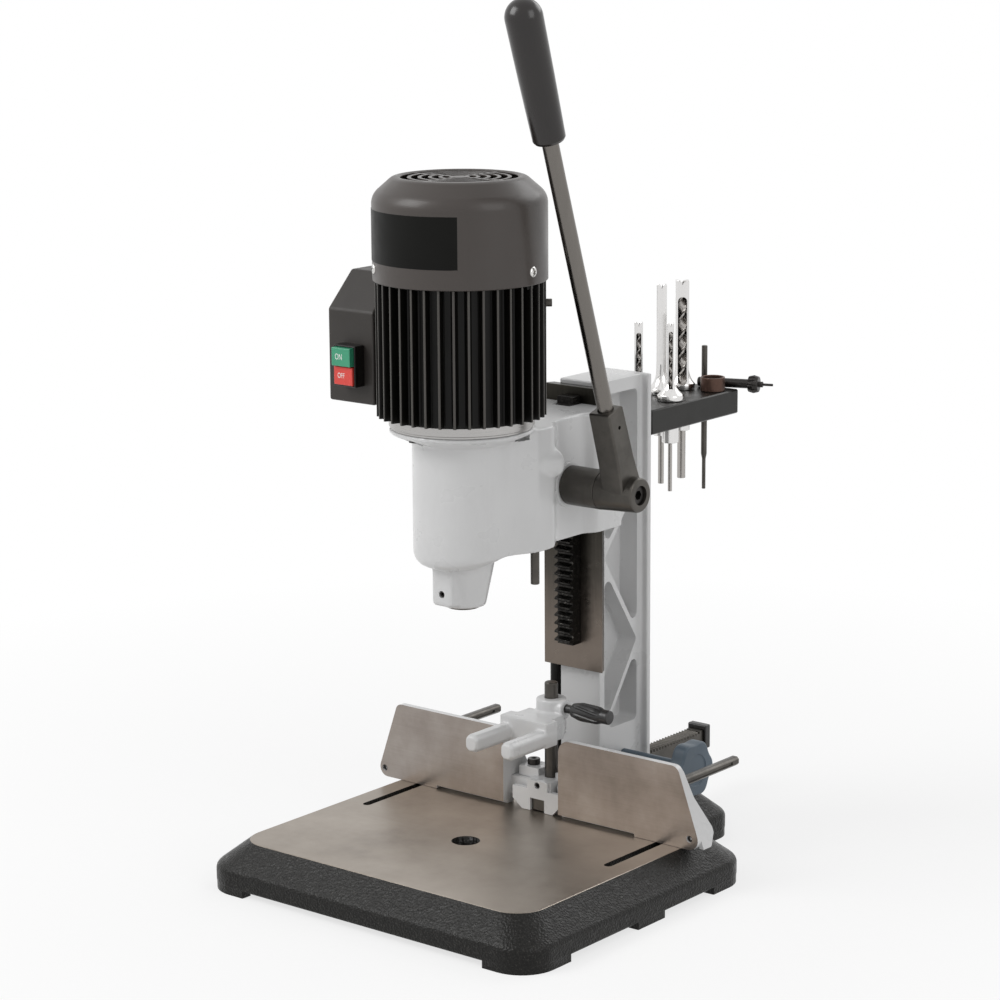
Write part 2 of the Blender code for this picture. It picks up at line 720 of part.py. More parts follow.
def prism(loops, axis, low, high, bevel=0.0, name="prism"):
    """A flat outline, with holes if it has several loops, drawn out along an axis.

    The outline is in (y, z) for X, in (x, z) for Y and in (x, y) for Z.
    """
    curve = bpy.data.curves.new(name, "CURVE")
    curve.dimensions = "2D"
    curve.fill_mode = "BOTH"
    curve.extrude = (high - low) / 2
    for loop in loops:
        spline = curve.splines.new("POLY")
        spline.points.add(len(loop) - 1)
        for point, (across, up) in zip(spline.points, loop):
            point.co = (across, up, 0, 1)
        spline.use_cyclic_u = True
    drawn = bpy.data.objects.new(name, curve)
    COLLECTIONS["helpers"].objects.link(drawn)
    bpy.context.view_layer.update()
    evaluated = drawn.evaluated_get(bpy.context.evaluated_depsgraph_get())
    mesh = bpy.data.meshes.new_from_object(evaluated)
    bpy.data.objects.remove(drawn, do_unlink=True)
    bpy.data.curves.remove(curve)
    solid = bmesh.new()
    solid.from_mesh(mesh)
    bmesh.ops.remove_doubles(solid, verts=solid.verts, dist=WELD)
    bmesh.ops.recalc_face_normals(solid, faces=solid.faces)
    solid.to_mesh(mesh)
    solid.free()
    smooth(mesh)
    middle = {"X": ((high + low) / 2, 0, 0), "Y": (0, (high + low) / 2, 0), "Z": (0, 0, (high + low) / 2)}
    item = place_mesh(name, mesh, Matrix.Translation(middle[axis]) @ AXIS_FRAMES[axis])
    if bevel:
        soften(item, bevel)
    return item


def loft(sections, name="loft"):
    """A closed solid through outlines of equal count, each given with its height, from low to high."""
    solid = bmesh.new()
    rings = [[solid.verts.new((x, y, height)) for x, y in outline] for outline, height in sections]
    count = len(rings[0])
    for lower, upper in zip(rings, rings[1:]):
        for index in range(count):
            after = (index + 1) % count
            solid.faces.new((lower[index], lower[after], upper[after], upper[index]))
    solid.faces.new(list(reversed(rings[0])))
    solid.faces.new(rings[-1])
    mesh = bpy.data.meshes.new(name)
    solid.to_mesh(mesh)
    solid.free()
    smooth(mesh)
    return place_mesh(name, mesh)


def soften(item, width, segments=1, angle=50):
    """Rounds the sharp edges of a piece."""
    bevel = item.modifiers.new("edges", "BEVEL")
    bevel.width = width
    bevel.segments = segments
    bevel.limit_method = "ANGLE"
    bevel.angle_limit = math.radians(angle)
    bevel.use_clamp_overlap = True
    return item


def combine(item, others, operation):
    """Adds one Boolean for each of the other solids."""
    for other in others:
        boolean = item.modifiers.new(operation.lower(), "BOOLEAN")
        boolean.operation = operation
        boolean.object = other
    return item


def cut(item, *cutters):
    """Takes solids away from a piece."""
    return combine(item, cutters, "DIFFERENCE")


def join(item, *others):
    """Makes solids part of a piece."""
    return combine(item, others, "UNION")


def settled_mesh(item):
    """The mesh of an object with its modifiers applied, in the machine's own places."""
    bpy.context.view_layer.update()
    evaluated = item.evaluated_get(bpy.context.evaluated_depsgraph_get())
    mesh = bpy.data.meshes.new_from_object(evaluated)
    mesh.transform(item.matrix_world)
    return mesh


def settle(item):
    """Applies an object's modifiers, so that later cuts start from a plain mesh."""
    mesh = settled_mesh(item)
    item.modifiers.clear()
    item.data = mesh
    item.matrix_world = Matrix.Identity(4)
    return item


def group(items, name="group"):
    """Several separate solids as one object."""
    solid = bmesh.new()
    for item in items:
        solid.from_mesh(settled_mesh(item))
        bpy.data.objects.remove(item, do_unlink=True)
    mesh = bpy.data.meshes.new(name)
    solid.to_mesh(mesh)
    solid.free()
    return place_mesh(name, mesh)


def tooth_half_angle(radius, pitch_radius, teeth):
    """Half the angle that an involute tooth fills at a radius."""
    base_radius = pitch_radius * math.cos(PRESSURE_ANGLE)
    slope = math.acos(min(1, base_radius / radius))
    at_pitch = math.tan(PRESSURE_ANGLE) - PRESSURE_ANGLE
    thick = math.pi / (2 * teeth) - TOOTH_BACKLASH / (2 * pitch_radius)
    return thick + at_pitch - (math.tan(slope) - slope)


def gear_outline(centre, module, teeth, first_tooth):
    """A spur gear's outline, with a tooth that points at the angle first_tooth."""
    pitch_radius = module * teeth / 2
    root = pitch_radius - module * TOOTH_DEDENDUM_SHARE
    tip = pitch_radius + module * TOOTH_ADDENDUM_SHARE
    low = tooth_half_angle(root, pitch_radius, teeth)
    high = tooth_half_angle(tip, pitch_radius, teeth)
    points = []
    for tooth in range(teeth):
        middle = first_tooth + tooth * math.tau / teeth
        for radius, angle in ((root, -low), (tip, -high), (tip, high), (root, low)):
            turn = middle + angle
            points.append((centre[0] + radius * math.cos(turn), centre[1] + radius * math.sin(turn)))
    return points


def rack_teeth(module, start, end, space_at):
    """(along, height) points of rack teeth between two places, with a tooth space at space_at."""
    pitch = math.pi * module
    tip = module * TOOTH_ADDENDUM_SHARE
    root = module * TOOTH_DEDENDUM_SHARE
    half = pitch / 4 - TOOTH_BACKLASH / 2
    lean = math.tan(PRESSURE_ANGLE)
    first = math.ceil((start - space_at) / pitch)
    last = math.floor((end - space_at) / pitch)
    points = []
    for tooth in range(first, last):
        middle = space_at + (tooth + 0.5) * pitch
        for side, height in ((-1, -root), (-1, tip), (1, tip), (1, -root)):
            points.append((middle + side * (half - height * lean), height))
    return points


def hexagon(centre, across_flats):
    """A hexagon's outline."""
    corners = across_flats / math.sqrt(3)
    return arc(centre, corners, 0, math.tau * 5 / 6, 5)


def socket_screw(head_at, direction, shank, head, socket, name="screw"):
    """A cap screw or, where the head is no wider, a set screw: it points along direction from its head."""
    shank_radius, shank_length = shank
    head_radius, head_height = head
    profile = [(0, shank_length), (shank_radius, shank_length)]
    if head_radius > shank_radius:
        profile += [(shank_radius, 0), (head_radius, 0)]
    profile += [(head_radius, -head_height), (0, -head_height)]
    screw = turned(profile, head_at, direction, FEW_SIDES, name=name)
    socket_radius, socket_depth = socket
    far = Vector(head_at) - Vector(direction).normalized() * (head_height + OVERRUN)
    inner = Vector(head_at) - Vector(direction).normalized() * (head_height - socket_depth)
    cut(screw, rod(far, inner, socket_radius, 6, name="socket"))
    return screw


def add_pivots():
    """One empty for each moving body, on its joint's axis."""
    pivot("stand", (0, 0, 0))
    pivot("head", (0, RACK_PITCH_Y, PINION_Z), "stand")
    pivot("spindle", (0, 0, MOTOR_BOTTOM), "head")
    pivot("pinion", HUB_CENTRE, "head")
    pivot("lever", HUB_CENTRE + Vector((LEVER_X, 0, 0)), "pinion")
    button_x = -(SWITCH_LEFT + SWITCH_RIGHT) / 2
    pivot("on_button_pivot", (button_x, -SWITCH_FRONT, SWITCH_TOP), "head")
    pivot("off_button_pivot", (button_x, -SWITCH_FRONT, SWITCH_BOTTOM), "head")
    pivot("depth_rod_pivot", (DEPTH_ROD_X, DEPTH_ROD_Y, DEPTH_BOSS_Z), "head")
    pivot("fence", (0, FENCE_FRONT, 0), "stand")
    pivot("fence_drive", (0, FENCE_PINION_Y, FENCE_PINION_Z), "stand")
    pivot("clamp_right", (SLOT_X, LUG_Y, LUG_TOP), "fence")
    pivot("clamp_left", (-SLOT_X, LUG_Y, LUG_TOP), "fence")
    pivot("hold_down", (0, POST_Y, FORK_BOTTOM), "fence")
    pivot("hold_down_lock_pivot", (FORK_LUG_REACH, POST_Y, LOCK_Z), "hold_down")


def base_foot(x_low, x_high, y_low, y_high):
    """One of the pads that the skirt stands on."""
    outline = rounded_box_outline((x_low, y_low), (x_high, y_high), TABLE_PLATE, 1)
    return prism([outline], "Z", -FLOOR_DROP, -SKIRT_BOTTOM + OVERRUN, name="foot")


def even_bays(low, high, count, rib):
    """Splits a length into equal bays with a rib between neighbours."""
    width = (high - low - rib * (count - 1)) / count
    return [(low + index * (width + rib), low + index * (width + rib) + width) for index in range(count)]


def base_bays():
    """The hollows under the table, one box each, open below."""
    bays = []
    inner = SKIRT_HALF_WIDTH - BASE_WALL
    columns = even_bays(-inner, inner, BAY_COLUMNS, BASE_RIB)
    front, rear = -(SKIRT_FRONT - BASE_WALL), SKIRT_REAR - BASE_WALL
    middle_rows = even_bays(front, rear, BAY_ROWS, BASE_RIB)
    slot_rows = [(front, SLOT_FRONT - BASE_RIB), (SLOT_FRONT, rear)]
    hole_half = (middle_rows[1][1] - middle_rows[1][0]) / 2
    centre_rows = [
        (front, -hole_half - BASE_RIB),
        (-hole_half, hole_half),
        (hole_half + BASE_RIB, rear - hole_half),
        (rear - hole_half + BASE_RIB, rear),
    ]
    for index, (left, right) in enumerate(columns):
        outer = index in (0, BAY_COLUMNS - 1)
        inside_rows = centre_rows if index == BAY_COLUMNS // 2 else middle_rows
        for low, high in slot_rows if outer else inside_rows:
            bays.append(base_bay(left, right, low, high))
    tail_inner = TAIL_HALF_WIDTH - BASE_WALL - (SKIRT_DROP - TABLE_PLATE)
    for left, right in even_bays(-tail_inner, tail_inner, TAIL_BAYS, BASE_RIB):
        bays.append(base_bay(left, right, SKIRT_REAR + BASE_WALL - BASE_RIB, TAIL_TOP_REAR))
    return group(bays, "bays")


def base_bay(left, right, low, high):
    """One hollow: it narrows upwards, so that the wall follows the skirt's slope."""
    lean = BASE_WALL
    bottom = [(left, low), (right, low), (right, high), (left, high)]
    inside_left = max(left, -(TABLE_HALF_WIDTH - lean / 2))
    inside_right = min(right, TABLE_HALF_WIDTH - lean / 2)
    inside_low = max(low, -(TABLE_FRONT - lean / 2))
    top = [(inside_left, inside_low), (inside_right, inside_low), (inside_right, high), (inside_left, high)]
    return loft([(bottom, -FLOOR_DROP - OVERRUN), (bottom, -SKIRT_DROP - OVERRUN), (top, -TABLE_PLATE)], "bay")


def make_base():
    """The cast base: machined table, chamfered skirt, feet, slots and the hollows underneath."""
    table = rounded_box_outline((-TABLE_HALF_WIDTH, -TABLE_FRONT), (TABLE_HALF_WIDTH, TABLE_REAR), TABLE_CORNER)
    skirt = rounded_box_outline((-SKIRT_HALF_WIDTH, -SKIRT_FRONT), (SKIRT_HALF_WIDTH, SKIRT_REAR), SKIRT_CORNER)
    base = loft([(skirt, -SKIRT_BOTTOM), (skirt, -SKIRT_DROP), (table, 0)], "base")
    tail_front = SLOT_FRONT
    tail_top = rounded_box_outline(
        (-TAIL_TOP_HALF_WIDTH, tail_front), (TAIL_TOP_HALF_WIDTH, TAIL_TOP_REAR), TAIL_CORNER / 2
    )
    tail = rounded_box_outline((-TAIL_HALF_WIDTH, tail_front), (TAIL_HALF_WIDTH, TAIL_REAR), TAIL_CORNER)
    extension = loft([(tail, -SKIRT_BOTTOM), (tail, -SKIRT_DROP), (tail_top, 0)], "tail")
    feet = []
    side = SKIRT_HALF_WIDTH - FOOT_INSET
    for sign in (-1, 1):
        outer, inner = sign * side, sign * (side - FOOT_WIDTH)
        left, right = min(outer, inner), max(outer, inner)
        front, rear = -(SKIRT_FRONT - FOOT_INSET), SKIRT_REAR - FOOT_INSET
        feet.append(base_foot(left, right, front, front + FOOT_LENGTH))
        feet.append(base_foot(left, right, rear - FOOT_LENGTH, rear))
        feet.append(base_foot(left, right, MIDDLE_FOOT_START, MIDDLE_FOOT_START + MIDDLE_FOOT_LENGTH))
        tail_outer = sign * (TAIL_HALF_WIDTH - FOOT_INSET)
        tail_inner = sign * (TAIL_HALF_WIDTH - FOOT_WIDTH)
        tail_left, tail_right = min(tail_outer, tail_inner), max(tail_outer, tail_inner)
        tail_back = TAIL_REAR - FOOT_INSET
        feet.append(base_foot(tail_left, tail_right, tail_back - MIDDLE_FOOT_LENGTH, tail_back))
    join(base, extension, *feet)
    settle(base)
    cut(base, base_bays())
    cut(base, rod((0, 0, -SKIRT_DROP), (0, 0, OVERRUN), TABLE_HOLE_RADIUS))
    for sign in (-1, 1):
        slot = rounded_box_outline(
            (sign * SLOT_X - SLOT_HALF_WIDTH, SLOT_FRONT), (sign * SLOT_X + SLOT_HALF_WIDTH, SLOT_REAR), SLOT_HALF_WIDTH
        )
        cut(base, prism([slot], "Z", -SKIRT_DROP, OVERRUN, name="slot"))
    for x, y in column_bolt_places():
        cut(base, rod((x, y, -SKIRT_DROP), (x, y, OVERRUN), COLUMN_BOLT_RADIUS + SEAT, FEW_SIDES))
    return node(base, "base", "stand", "black_casting")


def column_bolt_places():
    """The four bolts that hold the column's foot."""
    front = COLUMN_FRONT + COLUMN_BOLT_INSET + BASE_WALL
    rear = COLUMN_REAR - COLUMN_BOLT_INSET
    return [(sign * COLUMN_BOLT_X, y) for sign in (-1, 1) for y in (front, rear)]


def make_column():
    """The column casting: rims, a middle web, zig-zag ribs in its side pockets, a foot block and its four bolts."""
    half, rear = COLUMN_HALF_WIDTH, COLUMN_FRONT + COLUMN_DEPTH
    plan = rounded_box_outline((-half, COLUMN_FRONT), (half, rear + BACK_PLATE_THICKNESS / 2), COLUMN_EDGE, 1)
    column = prism([plan], "Z", SEAT, COLUMN_TOP, name="column")
    plate = BACK_PLATE_HALF_WIDTH
    plate_plan = rounded_box_outline((-plate, rear), (plate, COLUMN_REAR), COLUMN_EDGE, 1)
    join(column, prism([plate_plan], "Z", 2 * SEAT, COLUMN_TOP - SEAT, name="back_plate"))
    pocket_front = COLUMN_FRONT + COLUMN_RIM
    pocket_width = COLUMN_DEPTH - 2 * COLUMN_RIM + COLUMN_EDGE
    for shares in POCKET_SHARES:
        corners = [
            (pocket_front + across * pocket_width, POCKET_BOTTOM + up * (POCKET_TOP - POCKET_BOTTOM))
            for across, up in shares
        ]
        outline = rounded(corners, POCKET_CORNER, 2)
        cut(column, prism([outline], "X", COLUMN_WEB_HALF, half + OVERRUN, name="pocket"))
        cut(column, prism([outline], "X", -half - OVERRUN, -COLUMN_WEB_HALF, name="pocket"))
    tunnel = BAR_HALF_WIDTH + SEAT
    front, back = COLUMN_FRONT - OVERRUN, COLUMN_REAR + OVERRUN
    cut(column, box((-tunnel, front, -OVERRUN), (tunnel, back, BAR_TOP + SEAT), "tunnel"))
    cavity = FENCE_PINION_RADIUS + BAR_RACK_MODULE + SEAT
    axis_y, axis_z = FENCE_PINION_Y, FENCE_PINION_Z
    cavity_half = FENCE_PINION_HALF_WIDTH + 2 * SEAT
    cut(column, rod((-cavity_half, axis_y, axis_z), (cavity_half, axis_y, axis_z), cavity, name="pinion_cavity"))
    bore = FENCE_SHAFT_RADIUS + SEAT
    cut(column, rod((-FENCE_SHAFT_LEFT - SEAT, axis_y, axis_z), (half + OVERRUN, axis_y, axis_z), bore, name="bore"))
    for x, y in column_bolt_places():
        head_top = -TABLE_PLATE - SEAT
        join(column, rod((x, y, head_top - SEAT), (x, y, COLUMN_BOLT_DEPTH), COLUMN_BOLT_RADIUS, FEW_SIDES))
        join(column, rod((x, y, head_top - COLUMN_BOLT_HEAD_HEIGHT), (x, y, head_top), COLUMN_BOLT_HEAD_RADIUS, 6))
    return node(column, "column", "stand", "white_paint")


def make_slide_way():
    """The steel plate with dovetail edges, its wide face to the front."""
    rear = WAY_FRONT + WAY_THICKNESS
    plan = [
        (-WAY_HALF_WIDTH, WAY_FRONT),
        (WAY_HALF_WIDTH, WAY_FRONT),
        (WAY_BACK_HALF_WIDTH, rear),
        (-WAY_BACK_HALF_WIDTH, rear),
    ]
    way = prism([plan], "Z", WAY_BOTTOM, WAY_TOP, name="slide_way")
    return node(way, "slide_way", "stand", "dark_steel")


def make_slide_rack():
    """The rack that stands proud of the slide way."""
    teeth = rack_teeth(RACK_MODULE, RACK_BOTTOM, RACK_TOP, PINION_Z)
    back = WAY_FRONT - SEAT
    root = RACK_PITCH_Y + RACK_MODULE * TOOTH_DEDENDUM_SHARE
    outline = [(back, RACK_BOTTOM), (back, RACK_TOP), (root, RACK_TOP)]
    outline += [(RACK_PITCH_Y - height, along) for along, height in reversed(teeth)]
    outline.append((root, RACK_BOTTOM))
    rack = prism([outline], "X", -RACK_HALF_WIDTH, RACK_HALF_WIDTH, name="slide_rack")
    return node(rack, "slide_rack", "stand", "dark_steel")


def make_gas_spring():
    """The gas spring: a closed tube on a stud, and the rod that the head pushes into it."""
    profile = [
        (GAS_ROD_RADIUS + SEAT, GAS_BODY_TOP),
        (GAS_RADIUS, GAS_BODY_TOP),
        (GAS_RADIUS, GAS_BODY_BOTTOM),
        (GAS_STUD_RADIUS, GAS_BODY_BOTTOM),
        (GAS_STUD_RADIUS, GAS_FOOT_HEIGHT),
        (GAS_FOOT_RADIUS, GAS_FOOT_HEIGHT),
        (GAS_FOOT_RADIUS, SEAT),
        (0, SEAT),
        (0, GAS_BORE_BOTTOM),
        (GAS_ROD_RADIUS + SEAT, GAS_BORE_BOTTOM),
    ]
    outer = [(0, GAS_BODY_TOP)] + profile[1:8]
    cylinder = turned(outer, (-GAS_X, GAS_Y, 0), sides=SOME_SIDES, name="gas_spring_cylinder")
    bore = rod((-GAS_X, GAS_Y, GAS_BORE_BOTTOM), (-GAS_X, GAS_Y, GAS_BODY_TOP + OVERRUN), profile[0][0], FEW_SIDES)
    cut(cylinder, bore)
    node(cylinder, "gas_spring_cylinder", "stand", "dark_steel")
    eye_top = GAS_LUG_BOTTOM - SEAT
    rod_profile = [
        (0, eye_top),
        (GAS_EYE_RADIUS, eye_top),
        (GAS_EYE_RADIUS, eye_top - GAS_EYE_HEIGHT),
        (GAS_ROD_RADIUS, eye_top - GAS_EYE_HEIGHT),
        (GAS_ROD_RADIUS, GAS_ROD_BOTTOM),
        (0, GAS_ROD_BOTTOM),
    ]
    piston_rod = turned(rod_profile, (-GAS_X, GAS_Y, 0), sides=FEW_SIDES, name="gas_spring_rod")
    node(piston_rod, "gas_spring_rod", "head", "bright_steel")


def make_tool_holder():
    """The block behind the column, with a hole for each tool that it stores."""
    half = BACK_PLATE_HALF_WIDTH
    holder = box((-half, HOLDER_FRONT, HOLDER_BOTTOM), (half, HOLDER_FRONT + HOLDER_LENGTH, HOLDER_TOP), "tool_holder")
    soften(holder, HOLDER_EDGE)
    settle(holder)
    low, high = HOLDER_BOTTOM - OVERRUN, HOLDER_TOP + OVERRUN
    for _, _, x, y, _, _ in CHISELS:
        cut(holder, rod((x, y, low), (x, y, high), CHISEL_SHANK_RADIUS + SEAT, SOME_SIDES))
    cut(holder, rod((KEY_BAR_X, KEY_BAR_Y, low), (KEY_BAR_X, KEY_BAR_Y, high), KEY_BAR_RADIUS + SEAT, FEW_SIDES))
    node(holder, "tool_holder", "stand", "black_plastic")


def square_outline(side, turn):
    """A square, turned about its centre."""
    return [(p[0], p[1]) for p in arc((0, 0), side / math.sqrt(2), turn + math.pi / 4, turn + math.tau - math.pi / 4, 3)]


def make_chisel(name, side, x, y, tip, _shank_radius):
    """A hollow square chisel: shank, flared bell, square blade with a window, and a crown of four points."""
    base = HOLDER_TOP + SEAT
    bell_top = base + CHISEL_BELL_HEIGHT
    flare_top = bell_top + CHISEL_FLARE_HEIGHT
    half = side / 2
    profile = [
        (0, flare_top),
        (half, flare_top),
        (half + (CHISEL_BELL_RADIUS - half) / 4, (bell_top + flare_top) / 2),
        (CHISEL_BELL_RADIUS, bell_top),
        (CHISEL_BELL_RADIUS, base),
        (CHISEL_SHANK_RADIUS, base),
        (CHISEL_SHANK_RADIUS, base - CHISEL_SHANK_LENGTH),
        (0, base - CHISEL_SHANK_LENGTH),
    ]
    chisel = turned(profile, (x, y, 0), sides=SOME_SIDES, name="chisel")
    blade = prism([square_outline(side, CHISEL_TURN)], "Z", bell_top, tip, name="blade")
    blade.matrix_world = Matrix.Translation((x, y, 0)) @ blade.matrix_world
    join(chisel, blade)
    bore = side * CHISEL_BORE_SHARE
    cut(chisel, rod((x, y, base - CHISEL_SHANK_LENGTH - OVERRUN), (x, y, tip + OVERRUN), bore, FEW_SIDES))
    crown = rod((x, y, tip - CHISEL_CROWN_DEPTH), (x, y, tip + OVERRUN), bore / 2, FEW_SIDES, side, "crown")
    cut(chisel, crown)
    window_half = side * CHISEL_WINDOW_SHARE / 2
    window_low, window_high = base + CHISEL_BELL_HEIGHT, tip - CHISEL_WINDOW_TOP_GAP
    window = rounded_box_outline((-window_half, window_low), (window_half, window_high), window_half, 2)
    opening = prism([window], "Y", -side, 0, name="window")
    opening.matrix_world = Matrix.Translation((x, y, 0)) @ Matrix.Rotation(CHISEL_TURN, 4, "Z") @ opening.matrix_world
    cut(chisel, opening)
    node(chisel, f"chisel_{name}", "stand", "bright_steel")


def make_auger(name, side, x, y, tip, shank_radius):
    """The bit inside a chisel: a round shank below, and a twisted blade above."""
    radius = side * CHISEL_BORE_SHARE - AUGER_CLEARANCE
    twist_start = HOLDER_TOP + CHISEL_BELL_HEIGHT
    top = tip - CHISEL_CROWN_DEPTH
    steps = AUGER_TWISTS * AUGER_STEPS_PER_TURN
    web = radius * AUGER_WEB_SHARE
    corner = radius * math.cos(math.asin(AUGER_WEB_SHARE / 2))
    quarter = [(corner, web / 2), (web, web * AUGER_BACK_SHARE), (-web, web * AUGER_BACK_SHARE), (-corner, web / 2)]
    blade = [(corner, -web / 2)] + quarter + [(-corner, -web / 2), (-web, -web / 2), (web, -web / 2)]
    circle = arc((0, 0), shank_radius, -math.tau / 16, math.tau * 13 / 16, 7)
    sections = [(circle, AUGER_SHANK_BOTTOM), (circle, twist_start)]
    for step in range(steps + 1):
        turn = math.tau * AUGER_TWISTS * step / steps
        outline = [
            (px * math.cos(turn) - py * math.sin(turn), px * math.sin(turn) + py * math.cos(turn))
            for px, py in blade
        ]
        sections.append((outline, twist_start + web + (top - twist_start - web) * step / steps))
    auger = loft(sections, "auger")
    auger.matrix_world = Matrix.Translation((x, y, 0))
    node(auger, f"auger_{name}", "stand", "bright_steel")


def make_chuck_key():
    """The chuck key that lies on the holder: body, bevel gear and pilot, with its bar standing in the holder."""
    heading = Vector((math.cos(KEY_HEADING), math.sin(KEY_HEADING), 0))
    crossing = Vector((KEY_BAR_X, KEY_BAR_Y, HOLDER_TOP + KEY_BODY_RADIUS + SEAT))
    gear_end = KEY_BODY_FRONT + KEY_GEAR_LENGTH
    collar_end = gear_end + KEY_COLLAR_LENGTH
    profile = [
        (0, collar_end + KEY_PILOT_LENGTH),
        (KEY_PILOT_RADIUS, collar_end + KEY_PILOT_LENGTH),
        (KEY_PILOT_RADIUS, collar_end),
        (KEY_COLLAR_RADIUS, collar_end),
        (KEY_COLLAR_RADIUS, gear_end),
        (KEY_GEAR_BACK_RADIUS, gear_end),
        (KEY_GEAR_RADIUS, KEY_BODY_FRONT + KEY_GEAR_LENGTH / 2),
        (KEY_GEAR_BACK_RADIUS, KEY_BODY_FRONT),
        (KEY_BODY_RADIUS, KEY_BODY_FRONT),
        (KEY_BODY_RADIUS, -KEY_BODY_BACK),
        (0, -KEY_BODY_BACK),
    ]
    key = turned(profile, crossing, heading, 2 * KEY_GEAR_TEETH, name="chuck_key")
    across = heading.cross(Vector((0, 0, 1)))
    for tooth in range(KEY_GEAR_TEETH):
        turn = Matrix.Rotation(math.tau * tooth / KEY_GEAR_TEETH, 4, heading)
        out = turn @ across * KEY_GEAR_RADIUS
        start = crossing + heading * (KEY_BODY_FRONT - OVERRUN / 2) + out
        end = crossing + heading * (gear_end + OVERRUN / 2) + out
        cut(key, rod(start, end, KEY_GEAR_CUT_RADIUS, 6, name="gear_space"))
    low = crossing - Vector((0, 0, KEY_GEAR_RADIUS))
    high = crossing + Vector((0, 0, KEY_GEAR_RADIUS))
    cut(key, rod(low, high, KEY_BAR_RADIUS + SEAT, FEW_SIDES, name="cross_hole"))
    node(key, "chuck_key", "stand", "dark_steel")
    bar_profile = [
        (0, KEY_BAR_TOP),
        (KEY_BAR_RADIUS, KEY_BAR_TOP),
        (KEY_BAR_RADIUS, KEY_BAR_STEP_Z),
        (KEY_BAR_TIP_RADIUS, KEY_BAR_STEP_Z - KEY_BAR_TAPER),
        (KEY_BAR_TIP_RADIUS, KEY_BAR_BOTTOM),
        (0, KEY_BAR_BOTTOM),
    ]
    bar = turned(bar_profile, (KEY_BAR_X, KEY_BAR_Y, 0), sides=FEW_SIDES, name="chuck_key_bar")
    node(bar, "chuck_key_bar", "stand", "dark_steel")


def make_spare_bushing():
    """The second nose bushing, which stands on the holder."""
    low, high = HOLDER_TOP + SEAT, HOLDER_TOP + SEAT + SPARE_BUSHING_HEIGHT
    inner, outer = SPARE_BUSHING_BORE_RADIUS, SPARE_BUSHING_RADIUS
    profile = [(inner, high), (outer, high), (outer, low), (inner, low)]
    ring = turned(profile, (SPARE_BUSHING_X, SPARE_BUSHING_Y, 0), sides=SOME_SIDES, ring=True, name="spare_bushing")
    node(ring, "spare_bushing", "stand", "bronze")


def make_fence_drive():
    """The pinion that moves the fence's rack bar, and its lobed knob."""
    centre = (FENCE_PINION_Y, FENCE_PINION_Z)
    down = -math.pi / 2
    outline = gear_outline(centre, BAR_RACK_MODULE, BAR_TEETH, down)
    pinion = prism([outline], "X", -FENCE_PINION_HALF_WIDTH, FENCE_PINION_HALF_WIDTH, name="fence_pinion")
    shaft_end = KNOB_INNER_X + KNOB_THICKNESS - KNOB_SHAFT_END_WALL - SEAT
    join(pinion, rod((-FENCE_SHAFT_LEFT, *centre), (shaft_end, *centre), FENCE_SHAFT_RADIUS, FEW_SIDES))
    node(pinion, "fence_pinion", "fence_drive", "dark_steel")
    steps = KNOB_LOBES * KNOB_LOBE_STEPS
    lobed = []
    for step in range(steps):
        turn = math.tau * step / steps
        radius = KNOB_RADIUS - KNOB_LOBE_DEPTH * (1 - math.cos(KNOB_LOBES * turn)) / 2
        lobed.append((centre[0] + radius * math.cos(turn), centre[1] + radius * math.sin(turn)))
    knob = prism([lobed], "X", KNOB_INNER_X, KNOB_INNER_X + KNOB_THICKNESS, bevel=KNOB_EDGE, name="fence_knob")
    sleeve_start = COLUMN_HALF_WIDTH + SEAT
    join(knob, rod((sleeve_start, *centre), (KNOB_INNER_X + OVERRUN, *centre), KNOB_SLEEVE_RADIUS))
    bore_end = shaft_end + SEAT
    bore = rod((sleeve_start - OVERRUN, *centre), (bore_end, *centre), FENCE_SHAFT_RADIUS + SEAT, FEW_SIDES)
    cut(knob, bore)
    node(knob, "fence_knob", "fence_drive", "blue_plastic")


